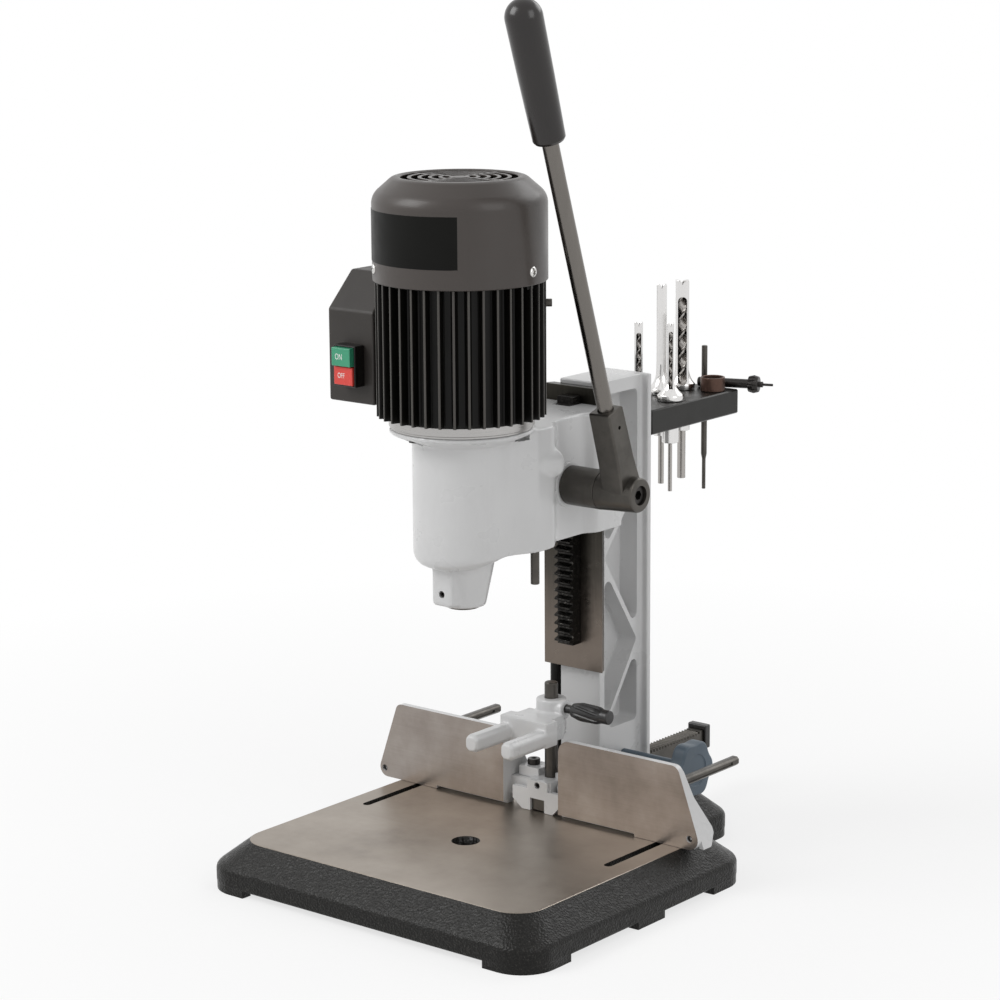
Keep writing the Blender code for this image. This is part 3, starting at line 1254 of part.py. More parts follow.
def fence_half(face_outline, sign, inner, gusset_at, name):
    """One half of the fence: face plate, foot, gusset, clamp lug and the tab under the bracket's ear."""
    front, rear = FENCE_FRONT, FENCE_FRONT + FENCE_THICKNESS
    half = prism([face_outline], "Y", front, rear, name=name)
    inside = rear - OVERRUN / 2

    def span(first, last):
        return min(sign * first, sign * last), max(sign * first, sign * last)

    left, right = span(inner, FENCE_FOOT_END)
    foot = box((left, inside, SEAT), (right, FENCE_FOOT_REAR, FENCE_FOOT_TOP), "foot")
    ledge_rear = FENCE_LEDGE_REAR
    ledge = box((left, inside, FENCE_LEDGE_BOTTOM), (right, ledge_rear, FENCE_FOOT_TOP - OVERRUN / 4), "ledge")
    gusset_outline = [
        (inside, FENCE_LEDGE_BOTTOM + 2 * SEAT),
        (FENCE_GUSSET_REAR, FENCE_LEDGE_BOTTOM + 2 * SEAT),
        (FENCE_GUSSET_REAR, FENCE_GUSSET_LOW),
        (FENCE_GUSSET_BEND_Y, FENCE_GUSSET_BEND_Z),
        (inside, FENCE_TOP - OVERRUN),
    ]
    gusset_left, gusset_right = span(gusset_at, gusset_at + FENCE_GUSSET_THICKNESS)
    gusset = prism([gusset_outline], "X", gusset_left, gusset_right, name="gusset")
    lug = rod((sign * SLOT_X, LUG_Y, SEAT), (sign * SLOT_X, LUG_Y, LUG_TOP), LUG_RADIUS, name="lug")
    tab_left, tab_right = span(FENCE_TAB_INNER, inner + FENCE_THICKNESS)
    tab = box((tab_left, FENCE_TAB_FRONT, FENCE_TAB_BOTTOM), (tab_right, BRACKET_EAR_REAR, FENCE_TAB_TOP), "tab")
    join(half, foot, ledge, gusset, lug, tab)
    bolt = CLAMP_BOLT_RADIUS + SEAT
    cut(half, rod((sign * SLOT_X, LUG_Y, -OVERRUN), (sign * SLOT_X, LUG_Y, LUG_TOP + OVERRUN), bolt, FEW_SIDES))
    screw_x = sign * FENCE_SCREW_X
    screw_low = BRACKET_EAR_TOP - FENCE_SCREW_REACH - FENCE_SCREW_HEAD
    screw = rod((screw_x, FENCE_SCREW_Y, screw_low), (screw_x, FENCE_SCREW_Y, FENCE_TAB_TOP + OVERRUN),
                FENCE_SCREW_RADIUS + SEAT, FEW_SIDES)
    cut(half, screw)
    node(half, name, "fence", "white_paint")


def make_fence():
    """Both halves of the fence. They aren't mirror images: their inner and outer ends differ."""
    relief = SEAT + FENCE_RELIEF
    left_face = [
        (-FENCE_LEFT_LOW_OUTER, SEAT),
        (-FENCE_RELIEF_X, SEAT),
        (-FENCE_RELIEF_X, relief),
        (-FENCE_LEFT_INNER, relief),
        (-FENCE_LEFT_INNER, FENCE_TOP),
        (-FENCE_LEFT_TOP_OUTER, FENCE_TOP),
        (-FENCE_LEFT_OUTER, FENCE_LEFT_CORNER_Z),
    ]
    fence_half(left_face, -1, FENCE_LEFT_INNER, FENCE_LEFT_INNER, "fence_left")
    inner_top = FENCE_RIGHT_INNER + FENCE_RIGHT_CHAMFER
    right_face = [
        (FENCE_RIGHT_INNER, relief),
        (FENCE_RELIEF_X, relief),
        (FENCE_RELIEF_X, SEAT),
        (FENCE_RIGHT_OUTER, SEAT),
        (FENCE_RIGHT_TOP_OUTER, FENCE_TOP),
        (inner_top, FENCE_TOP),
        (FENCE_RIGHT_INNER, FENCE_TOP - FENCE_RIGHT_CHAMFER_HEIGHT),
    ]
    fence_half(right_face, 1, FENCE_RIGHT_INNER, FENCE_GUSSET_RIGHT_X, "fence_right")


def make_fence_bracket():
    """The bracket that straddles the rack bar, holds the post and takes both halves of the fence."""
    boss, wall = BRACKET_BOSS_HALF_WIDTH, BRACKET_CHANNEL_WALL
    notch = BAR_HALF_WIDTH + SEAT
    front_outline = [
        (-BRACKET_LEG, SEAT),
        (-notch, SEAT),
        (-notch, BRACKET_NOTCH_TOP),
        (notch, BRACKET_NOTCH_TOP),
        (notch, SEAT),
        (BRACKET_LEG, SEAT),
        (BRACKET_RIGHT_WING, BRACKET_WING_LOW),
        (BRACKET_RIGHT_WING, BRACKET_WING_TOP),
        (boss, BRACKET_WING_TOP),
        (boss, BRACKET_BOSS_TOP),
        (-boss, BRACKET_BOSS_TOP),
        (-boss, BRACKET_WING_TOP),
        (-BRACKET_LEFT_WING, BRACKET_WING_TOP),
        (-BRACKET_LEFT_WING, BRACKET_WING_LOW),
    ]
    bracket = prism([front_outline], "Y", BRACKET_FRONT, BRACKET_WALL_REAR, name="fence_bracket")
    channel_outline = [
        (-notch - wall, SEAT),
        (-notch - wall, BRACKET_BOSS_TOP - SEAT),
        (notch + wall, BRACKET_BOSS_TOP - SEAT),
        (notch + wall, SEAT),
        (notch, SEAT),
        (notch, BAR_TOP + SEAT),
        (-notch, BAR_TOP + SEAT),
        (-notch, SEAT),
    ]
    channel_front = BRACKET_FRONT + BAR_FRONT_GAP
    channel = prism([channel_outline], "Y", channel_front + SEAT, BRACKET_REAR, name="channel")
    hollow = box((-notch, channel_front, -OVERRUN), (notch, BRACKET_REAR + OVERRUN, BAR_TOP + SEAT), "bar_channel")
    cut(bracket, hollow)
    join(bracket, channel)
    for sign in (-1, 1):
        left, right = sorted((sign * BRACKET_EAR_INNER, sign * BRACKET_EAR_OUTER))
        ear_low = (left, BRACKET_EAR_FRONT, FENCE_TAB_TOP + SEAT)
        join(bracket, box(ear_low, (right, BRACKET_EAR_REAR - SEAT, BRACKET_EAR_TOP), "ear"))
        screw_x = sign * FENCE_SCREW_X
        low, high = (screw_x, FENCE_SCREW_Y, FENCE_TAB_BOTTOM), (screw_x, FENCE_SCREW_Y, BRACKET_EAR_TOP + OVERRUN)
        cut(bracket, rod(low, high, FENCE_SCREW_RADIUS + SEAT, FEW_SIDES))
    post_low = (0, POST_Y, BAR_TOP - OVERRUN)
    cut(bracket, rod(post_low, (0, POST_Y, BRACKET_EAR_TOP + OVERRUN), POST_RADIUS + SEAT, name="post_hole"))
    screw_start = (0, BRACKET_FRONT - OVERRUN, BRACKET_SCREW_Z)
    cut(bracket, rod(screw_start, (0, POST_Y, BRACKET_SCREW_Z), SET_SCREW_RADIUS + SEAT, FEW_SIDES, name="set_hole"))
    node(bracket, "fence_bracket", "fence", "white_paint")


def make_fence_fasteners():
    """The cap screws of the fence, the set screw of the post, and the clamp bolts in the slots."""
    for sign, side in SIDES:
        head_at = (sign * FENCE_SCREW_X, FENCE_SCREW_Y, BRACKET_EAR_TOP + SEAT)
        shank = (FENCE_SCREW_RADIUS, FENCE_SCREW_REACH + FENCE_SCREW_HEAD - OVERRUN)
        head = (FENCE_SCREW_HEAD_RADIUS, FENCE_SCREW_HEAD)
        screw = socket_screw(head_at, (0, 0, -1), shank, head, (FENCE_SCREW_SOCKET, FENCE_SCREW_HEAD / 2))
        node(screw, f"fence_screw_{side}", "fence", "dark_steel")
    set_start = (0, BRACKET_FRONT + SET_SCREW_SINK, BRACKET_SCREW_Z)
    set_length = POST_Y - POST_RADIUS - SEAT - set_start[1]
    screw = socket_screw(set_start, (0, 1, 0), (SET_SCREW_RADIUS, set_length), (SET_SCREW_RADIUS, 0),
                         (SET_SCREW_SOCKET, SET_SCREW_SOCKET_DEPTH))
    node(screw, "bracket_set_screw", "fence", "dark_steel")
    for sign, side in SIDES:
        head_top = -TABLE_PLATE - SEAT
        x = sign * SLOT_X
        head = box(
            (x - CLAMP_BOLT_HEAD_RADIUS, LUG_Y - CLAMP_BOLT_HEAD_RADIUS, head_top - CLAMP_BOLT_HEAD),
            (x + CLAMP_BOLT_HEAD_RADIUS, LUG_Y + CLAMP_BOLT_HEAD_RADIUS, head_top),
        )
        shank = rod((x, LUG_Y, head_top - SEAT), (x, LUG_Y, CLAMP_BOLT_TOP), CLAMP_BOLT_RADIUS, FEW_SIDES)
        node(join(head, shank), f"clamp_bolt_{side}", "fence", "bright_steel")


def make_rack_bar():
    """The bar that carries the fence, with rack teeth on top, and its end cap."""
    teeth = rack_teeth(BAR_RACK_MODULE, BAR_RACK_START, BAR_REAR - BAR_CAP_LENGTH, FENCE_PINION_Y)
    front = BRACKET_FRONT + BAR_FRONT_GAP + SEAT
    outline = [(front, BAR_BOTTOM), (BAR_REAR, BAR_BOTTOM), (BAR_REAR, BAR_TOP)]
    outline += [(along, BAR_PITCH_Z + height) for along, height in reversed(teeth)]
    lowest_tooth = BAR_PITCH_Z - BAR_RACK_MODULE * TOOTH_DEDENDUM_SHARE
    first_along = teeth[0][0] - BAR_RACK_MODULE
    outline += [(first_along, lowest_tooth), (first_along, BAR_TOP), (front, BAR_TOP)]
    last_along = teeth[-1][0] + BAR_RACK_MODULE
    outline[3:3] = [(last_along, BAR_TOP), (last_along, lowest_tooth)]
    bar = prism([outline], "X", -BAR_HALF_WIDTH, BAR_HALF_WIDTH, name="fence_rack_bar")
    node(bar, "fence_rack_bar", "fence", "dark_steel")
    cap_front = BAR_REAR - BAR_CAP_LENGTH + BAR_CAP_WALL
    half = BAR_CAP_HALF_WIDTH
    cap_rear = cap_front + BAR_CAP_LENGTH
    cap = box((-half, cap_front, BAR_BOTTOM), (half, cap_rear, BAR_CAP_TOP), "rack_bar_cap")
    soften(cap, BAR_CAP_EDGE, 1)
    inner = BAR_HALF_WIDTH + SEAT
    cut(cap, box((-inner, cap_front - OVERRUN, -OVERRUN), (inner, BAR_REAR + SEAT, BAR_TOP + SEAT), "cap_socket"))
    node(cap, "rack_bar_cap", "fence", "black_plastic")


def make_clamp_lever(sign, body, name):
    """A fence clamp: a threaded hub over the slot, and a grooved arm that points to the rear."""
    x = sign * SLOT_X
    low = LUG_TOP + SEAT
    hub = rod((x, LUG_Y, low), (x, LUG_Y, low + CLAMP_HUB_HEIGHT), CLAMP_HUB_RADIUS, name=name)
    width = CLAMP_ARM_HALF_WIDTH
    arm = box((x - width, LUG_Y, CLAMP_ARM_BOTTOM), (x + width, LUG_Y + CLAMP_ARM_LENGTH, CLAMP_ARM_TOP), "arm")
    soften(arm, CLAMP_ARM_EDGE)
    join(hub, arm)
    middle = (CLAMP_ARM_BOTTOM + CLAMP_ARM_TOP) / 2
    groove_low, groove_high = middle - CLAMP_GROOVE_HALF_HEIGHT, middle + CLAMP_GROOVE_HALF_HEIGHT
    groove_start = LUG_Y + CLAMP_HUB_RADIUS + CLAMP_GROOVE_DEPTH
    groove_end = LUG_Y + CLAMP_ARM_LENGTH - CLAMP_GROOVE_MARGIN
    for side in (-1, 1):
        inner, outer = sorted((x + side * (width - CLAMP_GROOVE_DEPTH), x + side * (width + OVERRUN)))
        cut(hub, box((inner, groove_start, groove_low), (outer, groove_end, groove_high), "groove"))
    bore_top = CLAMP_BOLT_TOP + SEAT
    cut(hub, rod((x, LUG_Y, low - OVERRUN), (x, LUG_Y, bore_top), CLAMP_BOLT_RADIUS + SEAT, FEW_SIDES))
    node(hub, name, body, "dark_steel")


def make_hold_down():
    """The post, the fork that slides on it, and the handle that locks the fork."""
    post = rod((0, POST_Y, POST_BOTTOM), (0, POST_Y, POST_TOP), POST_RADIUS, name="hold_down_post")
    node(post, "hold_down_post", "fence", "dark_steel")
    neck, yoke = FORK_NECK_HALF_WIDTH, FORK_YOKE_HALF_WIDTH
    low, high = FORK_BOTTOM, FORK_BODY_TOP
    fork = box((-yoke, FORK_YOKE_FRONT, low), (yoke, FORK_YOKE_REAR, high), "hold_down_fork")
    settle(soften(fork, FORK_EDGE, 1))
    neck_rear = POST_Y - FORK_BOSS_RADIUS / 2
    neck_block = box((-neck, FORK_YOKE_REAR - FORK_EDGE, low + SEAT), (neck, neck_rear, high - SEAT), "neck")
    join(fork, settle(soften(neck_block, FORK_EDGE, 1)))
    for sign, _ in SIDES:
        across = sign * FORK_PRONG_X
        inner, outer = across - FORK_PRONG_HALF_WIDTH, across + FORK_PRONG_HALF_WIDTH
        section = rounded_box_outline((inner, low - SEAT), (outer, FORK_PRONG_TOP), FORK_EDGE, 1)
        join(fork, prism([section], "Y", FORK_TIP_Y, FORK_YOKE_REAR - FORK_EDGE, name="prong"))
    boss = rod((0, POST_Y, low + 2 * SEAT), (0, POST_Y, FORK_BOSS_TOP), FORK_BOSS_RADIUS, name="boss")
    lug = rod((0, POST_Y, LOCK_Z), (FORK_LUG_REACH, POST_Y, LOCK_Z), FORK_LUG_RADIUS, name="lug")
    web_outline = [
        (FORK_YOKE_REAR, FORK_BODY_TOP - OVERRUN),
        (POST_Y, FORK_BODY_TOP - OVERRUN),
        (POST_Y, FORK_BOSS_TOP - OVERRUN),
        (POST_Y - FORK_BOSS_RADIUS, FORK_BODY_TOP + OVERRUN),
        (FORK_YOKE_REAR, FORK_PRONG_TOP - OVERRUN),
    ]
    web = prism([web_outline], "X", -FORK_PRONG_HALF_WIDTH, FORK_PRONG_HALF_WIDTH, name="web")
    join(fork, boss, lug, web)
    cut(fork, rod((0, POST_Y, FORK_BOTTOM - OVERRUN), (0, POST_Y, FORK_BOSS_TOP + OVERRUN), POST_RADIUS + SEAT))
    stud = LOCK_STUD_RADIUS + SEAT
    cut(fork, rod((0, POST_Y, LOCK_Z), (FORK_LUG_REACH + OVERRUN, POST_Y, LOCK_Z), stud))
    node(fork, "hold_down_fork", "hold_down", "white_paint")
    body_middle = (LOCK_BODY_START + LOCK_BODY_END) / 2
    profile = [
        (0, LOCK_TIP_END),
        (LOCK_TIP_RADIUS, LOCK_TIP_END),
        (LOCK_TIP_RADIUS, LOCK_BODY_END),
        (LOCK_COLLAR_RADIUS, LOCK_BODY_END),
        (LOCK_BODY_RADIUS, body_middle),
        (LOCK_COLLAR_RADIUS, LOCK_BODY_START),
        (LOCK_STUD_RADIUS, LOCK_BODY_START),
        (LOCK_STUD_RADIUS, LOCK_STUD_START),
        (0, LOCK_STUD_START),
    ]
    handle = turned(profile, (0, POST_Y, LOCK_Z), (1, 0, 0), 2 * LOCK_FLUTES, name="hold_down_lock")
    for flute in range(LOCK_FLUTES):
        turn = math.tau * flute / LOCK_FLUTES
        y, z = POST_Y + LOCK_BODY_RADIUS * math.cos(turn), LOCK_Z + LOCK_BODY_RADIUS * math.sin(turn)
        start = LOCK_BODY_START + LOCK_COLLAR_RADIUS
        cut(handle, rod((start, y, z), (LOCK_BODY_END + OVERRUN, y, z), LOCK_FLUTE_RADIUS, 6, name="flute"))
    node(handle, "hold_down_lock", "hold_down_lock_pivot", "black_plastic")


def head_plan():
    """The head's outline from above: round in front, with the dovetail and the rack channel behind."""
    slide, back = WAY_SLIDE_GAP, COLUMN_FRONT - SEAT
    front_x, back_x = WAY_HALF_WIDTH + slide, WAY_BACK_HALF_WIDTH + slide
    channel = RACK_HALF_WIDTH + RACK_CHANNEL_GAP
    channel_front = RACK_PITCH_Y - RACK_MODULE * TOOTH_ADDENDUM_SHARE - RACK_CHANNEL_GAP
    way_face = WAY_FRONT - slide
    rear_share = (back - HEAD_REAR) / WAY_THICKNESS
    rear_x = back_x + (front_x - back_x) * rear_share
    gib = GIB_THICKNESS + SEAT
    plan = arc((0, 0), HEAD_RADIUS, -math.pi, 0, SOME_SIDES)
    plan += [
        (HEAD_RADIUS, HEAD_WIDEN_FROM),
        (HEAD_REAR_HALF_WIDTH, HEAD_WIDEN_TO),
        (HEAD_REAR_HALF_WIDTH, HEAD_REAR),
        (rear_x, HEAD_REAR),
        (front_x, way_face),
        (channel, way_face),
        (channel, channel_front),
        (-channel, channel_front),
        (-channel, way_face),
        (-front_x - gib, way_face),
        (-rear_x - gib, HEAD_REAR),
        (-HEAD_REAR_HALF_WIDTH, HEAD_REAR),
        (-HEAD_REAR_HALF_WIDTH, HEAD_WIDEN_TO),
        (-HEAD_RADIUS, HEAD_WIDEN_FROM),
    ]
    return plan


def gib_screw_places():
    """Where the screws that press on the gib go in, up the head's left cheek."""
    low, high = HEAD_BOTTOM + GIB_SCREW_MARGIN, HEAD_BODY_TOP - GIB_SCREW_MARGIN
    y = (WAY_FRONT + HEAD_REAR) / 2
    step = (high - low) / (GIB_SCREW_COUNT - 1)
    return [(-HEAD_REAR_HALF_WIDTH, y, low + index * step) for index in range(GIB_SCREW_COUNT)]


def make_head_casting():
    """The head: motor flange, chuck chamber, nose, pinion cavity, slide channels and depth-rod boss."""
    head = prism([head_plan()], "Z", HEAD_BOTTOM, HEAD_BODY_TOP, name="head_casting")
    flange_profile = [
        (0, HEAD_TOP),
        (FLANGE_RADIUS, HEAD_TOP),
        (FLANGE_RADIUS, HEAD_TOP - FLANGE_EDGE),
        (HEAD_RADIUS - FLANGE_EDGE, HEAD_TOP - FLANGE_CONE - FLANGE_EDGE),
        (0, HEAD_TOP - FLANGE_CONE - FLANGE_EDGE),
    ]
    flange = turned(flange_profile, sides=MANY_SIDES, name="flange")
    nose_profile = [
        (0, HEAD_BOTTOM + FLANGE_CONE),
        (HEAD_RADIUS - SEAT, HEAD_BOTTOM + FLANGE_CONE),
        (HEAD_RADIUS - SEAT, HEAD_BOTTOM),
        (NOSE_FLARE_RADIUS, NOSE_FLARE_Z),
        (NOSE_SHOULDER_RADIUS, NOSE_SHOULDER_Z),
        (NOSE_RADIUS, NOSE_BOTTOM),
        (0, NOSE_BOTTOM),
    ]
    nose = turned(nose_profile, sides=SOME_SIDES, name="nose")
    pad_low = (-NOSE_PAD_HALF_WIDTH, -NOSE_PAD_FRONT, NOSE_BOTTOM + OVERRUN)
    pad = soften(box(pad_low, (NOSE_PAD_HALF_WIDTH, 0, NOSE_PAD_TOP), "nose_pad"), NOSE_PAD_HALF_WIDTH / 4)
    boss_front = (DEPTH_BOSS_X, DEPTH_BOSS_FRONT, DEPTH_BOSS_Z)
    boss_rear = (DEPTH_BOSS_X, DEPTH_BOSS_REAR, DEPTH_BOSS_Z)
    boss = rod(boss_front, boss_rear, DEPTH_BOSS_FRONT_RADIUS, SOME_SIDES, DEPTH_BOSS_REAR_RADIUS, "depth_boss")
    lug_arm = box(
        (-HEAD_REAR_HALF_WIDTH, HEAD_REAR - 2 * OVERRUN, GAS_LUG_BOTTOM),
        (-WAY_HALF_WIDTH - WAY_SLIDE_GAP - GIB_THICKNESS - SEAT, GAS_Y, GAS_LUG_TOP),
        "lug_arm",
    )
    lug = rod((-GAS_X, GAS_Y, GAS_LUG_BOTTOM), (-GAS_X, GAS_Y, GAS_LUG_TOP), GAS_LUG_RADIUS, name="gas_lug")
    join(head, flange, nose, pad, boss, lug_arm, lug)
    settle(head)
    cut(head, rod((0, 0, CHUCK_CHAMBER_BOTTOM), (0, 0, CHUCK_CHAMBER_TOP), CHUCK_CHAMBER_RADIUS, name="chamber"))
    cut(head, rod((0, 0, CHUCK_CHAMBER_TOP - OVERRUN), (0, 0, HEAD_TOP + OVERRUN), SHAFT_BORE_RADIUS))
    cut(head, rod((0, 0, NOSE_BOTTOM), (0, 0, CHUCK_CHAMBER_BOTTOM + OVERRUN), NOSE_THROAT_RADIUS, name="throat"))
    bushing_top = NOSE_BOTTOM + BUSHING_LENGTH - BUSHING_FLANGE
    cut(head, rod((0, 0, NOSE_BOTTOM - OVERRUN), (0, 0, bushing_top), BUSHING_RADIUS + SEAT, name="bushing_bore"))
    window = rounded_box_outline(
        (-CHUCK_WINDOW_FRONT, CHUCK_WINDOW_BOTTOM), (CHUCK_WINDOW_REAR, CHUCK_WINDOW_TOP), CHUCK_WINDOW_CORNER, 2
    )
    cut(head, prism([window], "X", -HEAD_REAR_HALF_WIDTH, 0, name="chuck_window"))
    cavity_half = RACK_HALF_WIDTH + RACK_CHANNEL_GAP
    cavity_radius = PINION_RADIUS + RACK_MODULE * TOOTH_ADDENDUM_SHARE + PINION_CAVITY_GAP
    cavity_centre = (PINION_Y, PINION_Z)
    cut(head, rod((-cavity_half, *cavity_centre), (cavity_half, *cavity_centre), cavity_radius, SOME_SIDES * 3 // 2, name="cavity"))
    bore = PINION_SHAFT_RADIUS + SEAT
    bore_left = -HEAD_REAR_HALF_WIDTH - OVERRUN
    cut(head, rod((bore_left, *cavity_centre), (HEAD_REAR_HALF_WIDTH + OVERRUN, *cavity_centre), bore))
    rod_low = (DEPTH_ROD_X, DEPTH_ROD_Y, HEAD_BOTTOM - OVERRUN)
    rod_high = (DEPTH_ROD_X, DEPTH_ROD_Y, DEPTH_ROD_TOP + SEAT)
    cut(head, rod(rod_low, rod_high, DEPTH_ROD_RADIUS + SEAT, name="depth_rod_bore"))
    for place in gib_screw_places():
        deep = Vector(place) + Vector((SET_SCREW_SINK, 0, 0))
        outside = Vector(place) - Vector((OVERRUN, 0, 0))
        cut(head, rod(outside, deep, SET_SCREW_RADIUS, FEW_SIDES, name="gib_screw_recess"))
        socket_end = deep + Vector((SET_SCREW_SOCKET_DEPTH, 0, 0))
        cut(head, rod(outside, socket_end, SET_SCREW_SOCKET, 6, name="gib_screw_socket"))
    for start, direction, length in set_screw_places().values():
        inward = Vector(direction)
        outside = Vector(start) - inward * OVERRUN * 2
        deep = Vector(start) + inward * (length + SET_SCREW_SINK + SEAT)
        cut(head, rod(outside, deep, SET_SCREW_RADIUS + SEAT, FEW_SIDES, name="set_hole"))
    for x, y in motor_bolt_places():
        pocket_top = HEAD_TOP - FLANGE_EDGE
        cut(head, rod((x, y, HEAD_TOP - 2 * FLANGE_CONE), (x, y, pocket_top), MOTOR_BOLT_POCKET_RADIUS, FEW_SIDES))
        cut(head, rod((x, y, pocket_top - SEAT), (x, y, HEAD_TOP + OVERRUN), MOTOR_BOLT_RADIUS + SEAT, FEW_SIDES))
    node(head, "head_casting", "head", "white_paint")


def set_screw_places():
    """(start, direction, length) of each set screw in the head."""
    nose_reach = NOSE_PAD_FRONT - BUSHING_RADIUS - SET_SCREW_SINK
    boss_reach = DEPTH_ROD_Y - DEPTH_ROD_RADIUS - SEAT - DEPTH_BOSS_FRONT - SET_SCREW_SINK
    return {
        "nose_set_screw": ((0, -NOSE_PAD_FRONT, NOSE_SCREW_Z), (0, 1, 0), nose_reach),
        "depth_lock_screw": ((DEPTH_BOSS_X, DEPTH_BOSS_FRONT, DEPTH_BOSS_Z), (0, 1, 0), boss_reach),
    }


def make_head_set_screws():
    """The set screws at the nose and at the depth rod."""
    for name, (start, direction, length) in set_screw_places().items():
        sunk = Vector(start) + Vector(direction) * SET_SCREW_SINK
        socket = (SET_SCREW_SOCKET, min(SET_SCREW_SOCKET_DEPTH, length / 2))
        screw = socket_screw(sunk, direction, (SET_SCREW_RADIUS, length - SEAT), (SET_SCREW_RADIUS, 0), socket)
        node(screw, name, "head", "dark_steel")


def make_head_gib():
    """The tapered strip between the head's left cheek and the slide way."""
    back = HEAD_REAR - SEAT
    share = (back - WAY_FRONT) / WAY_THICKNESS
    inner_front = WAY_HALF_WIDTH + WAY_SLIDE_GAP
    inner_back = inner_front - (WAY_HALF_WIDTH - WAY_BACK_HALF_WIDTH) * share
    thick = GIB_THICKNESS
    plan = [
        (-inner_front, WAY_FRONT),
        (-inner_back, back),
        (-inner_back - thick, back),
        (-inner_front - thick, WAY_FRONT),
    ]
    gib = prism([plan], "Z", HEAD_BOTTOM + SEAT, HEAD_BODY_TOP - SEAT, name="head_gib")
    node(gib, "head_gib", "head", "bronze")


def make_nose_bushing():
    """The flanged bushing that takes a chisel's shank."""
    low = NOSE_BOTTOM - SEAT - BUSHING_FLANGE
    high = low + BUSHING_LENGTH - SEAT
    profile = [
        (BUSHING_BORE_RADIUS, high),
        (BUSHING_RADIUS, high),
        (BUSHING_RADIUS, NOSE_BOTTOM - SEAT),
        (BUSHING_FLANGE_RADIUS, NOSE_BOTTOM - SEAT),
        (BUSHING_FLANGE_RADIUS, low),
        (BUSHING_BORE_RADIUS, low),
    ]
    node(turned(profile, sides=SOME_SIDES, ring=True, name="nose_bushing"), "nose_bushing", "head", "dark_steel")


def make_pinion_shaft():
    """The pinion on its shaft, with the fixed half of the lever's hub."""
    centre = (PINION_Y, PINION_Z)
    outline = gear_outline(centre, RACK_MODULE, PINION_TEETH, 0)
    shaft = prism([outline], "X", -PINION_HALF_WIDTH, PINION_HALF_WIDTH, name="pinion_shaft")
    profile = [
        (0, HUB_SPLIT_X + HUB_SPIGOT_LENGTH),
        (HUB_SPIGOT_RADIUS, HUB_SPLIT_X + HUB_SPIGOT_LENGTH),
        (HUB_SPIGOT_RADIUS, HUB_SPLIT_X),
        (HUB_RADIUS, HUB_SPLIT_X),
        (HUB_RADIUS, HEAD_REAR_HALF_WIDTH + SEAT),
        (PINION_SHAFT_RADIUS, HEAD_REAR_HALF_WIDTH + SEAT),
        (PINION_SHAFT_RADIUS, -PINION_SHAFT_LEFT),
        (0, -PINION_SHAFT_LEFT),
    ]
    join(shaft, turned(profile, (0, *centre), (1, 0, 0), SOME_SIDES))
    node(shaft, "pinion_shaft", "pinion", "dark_steel")


def on_lever(along, x=LEVER_X):
    """A point on the lever's centre line, at a distance from the hub's axis."""
    return HUB_CENTRE + Vector((x, 0, 0)) + LEVER_UP * along


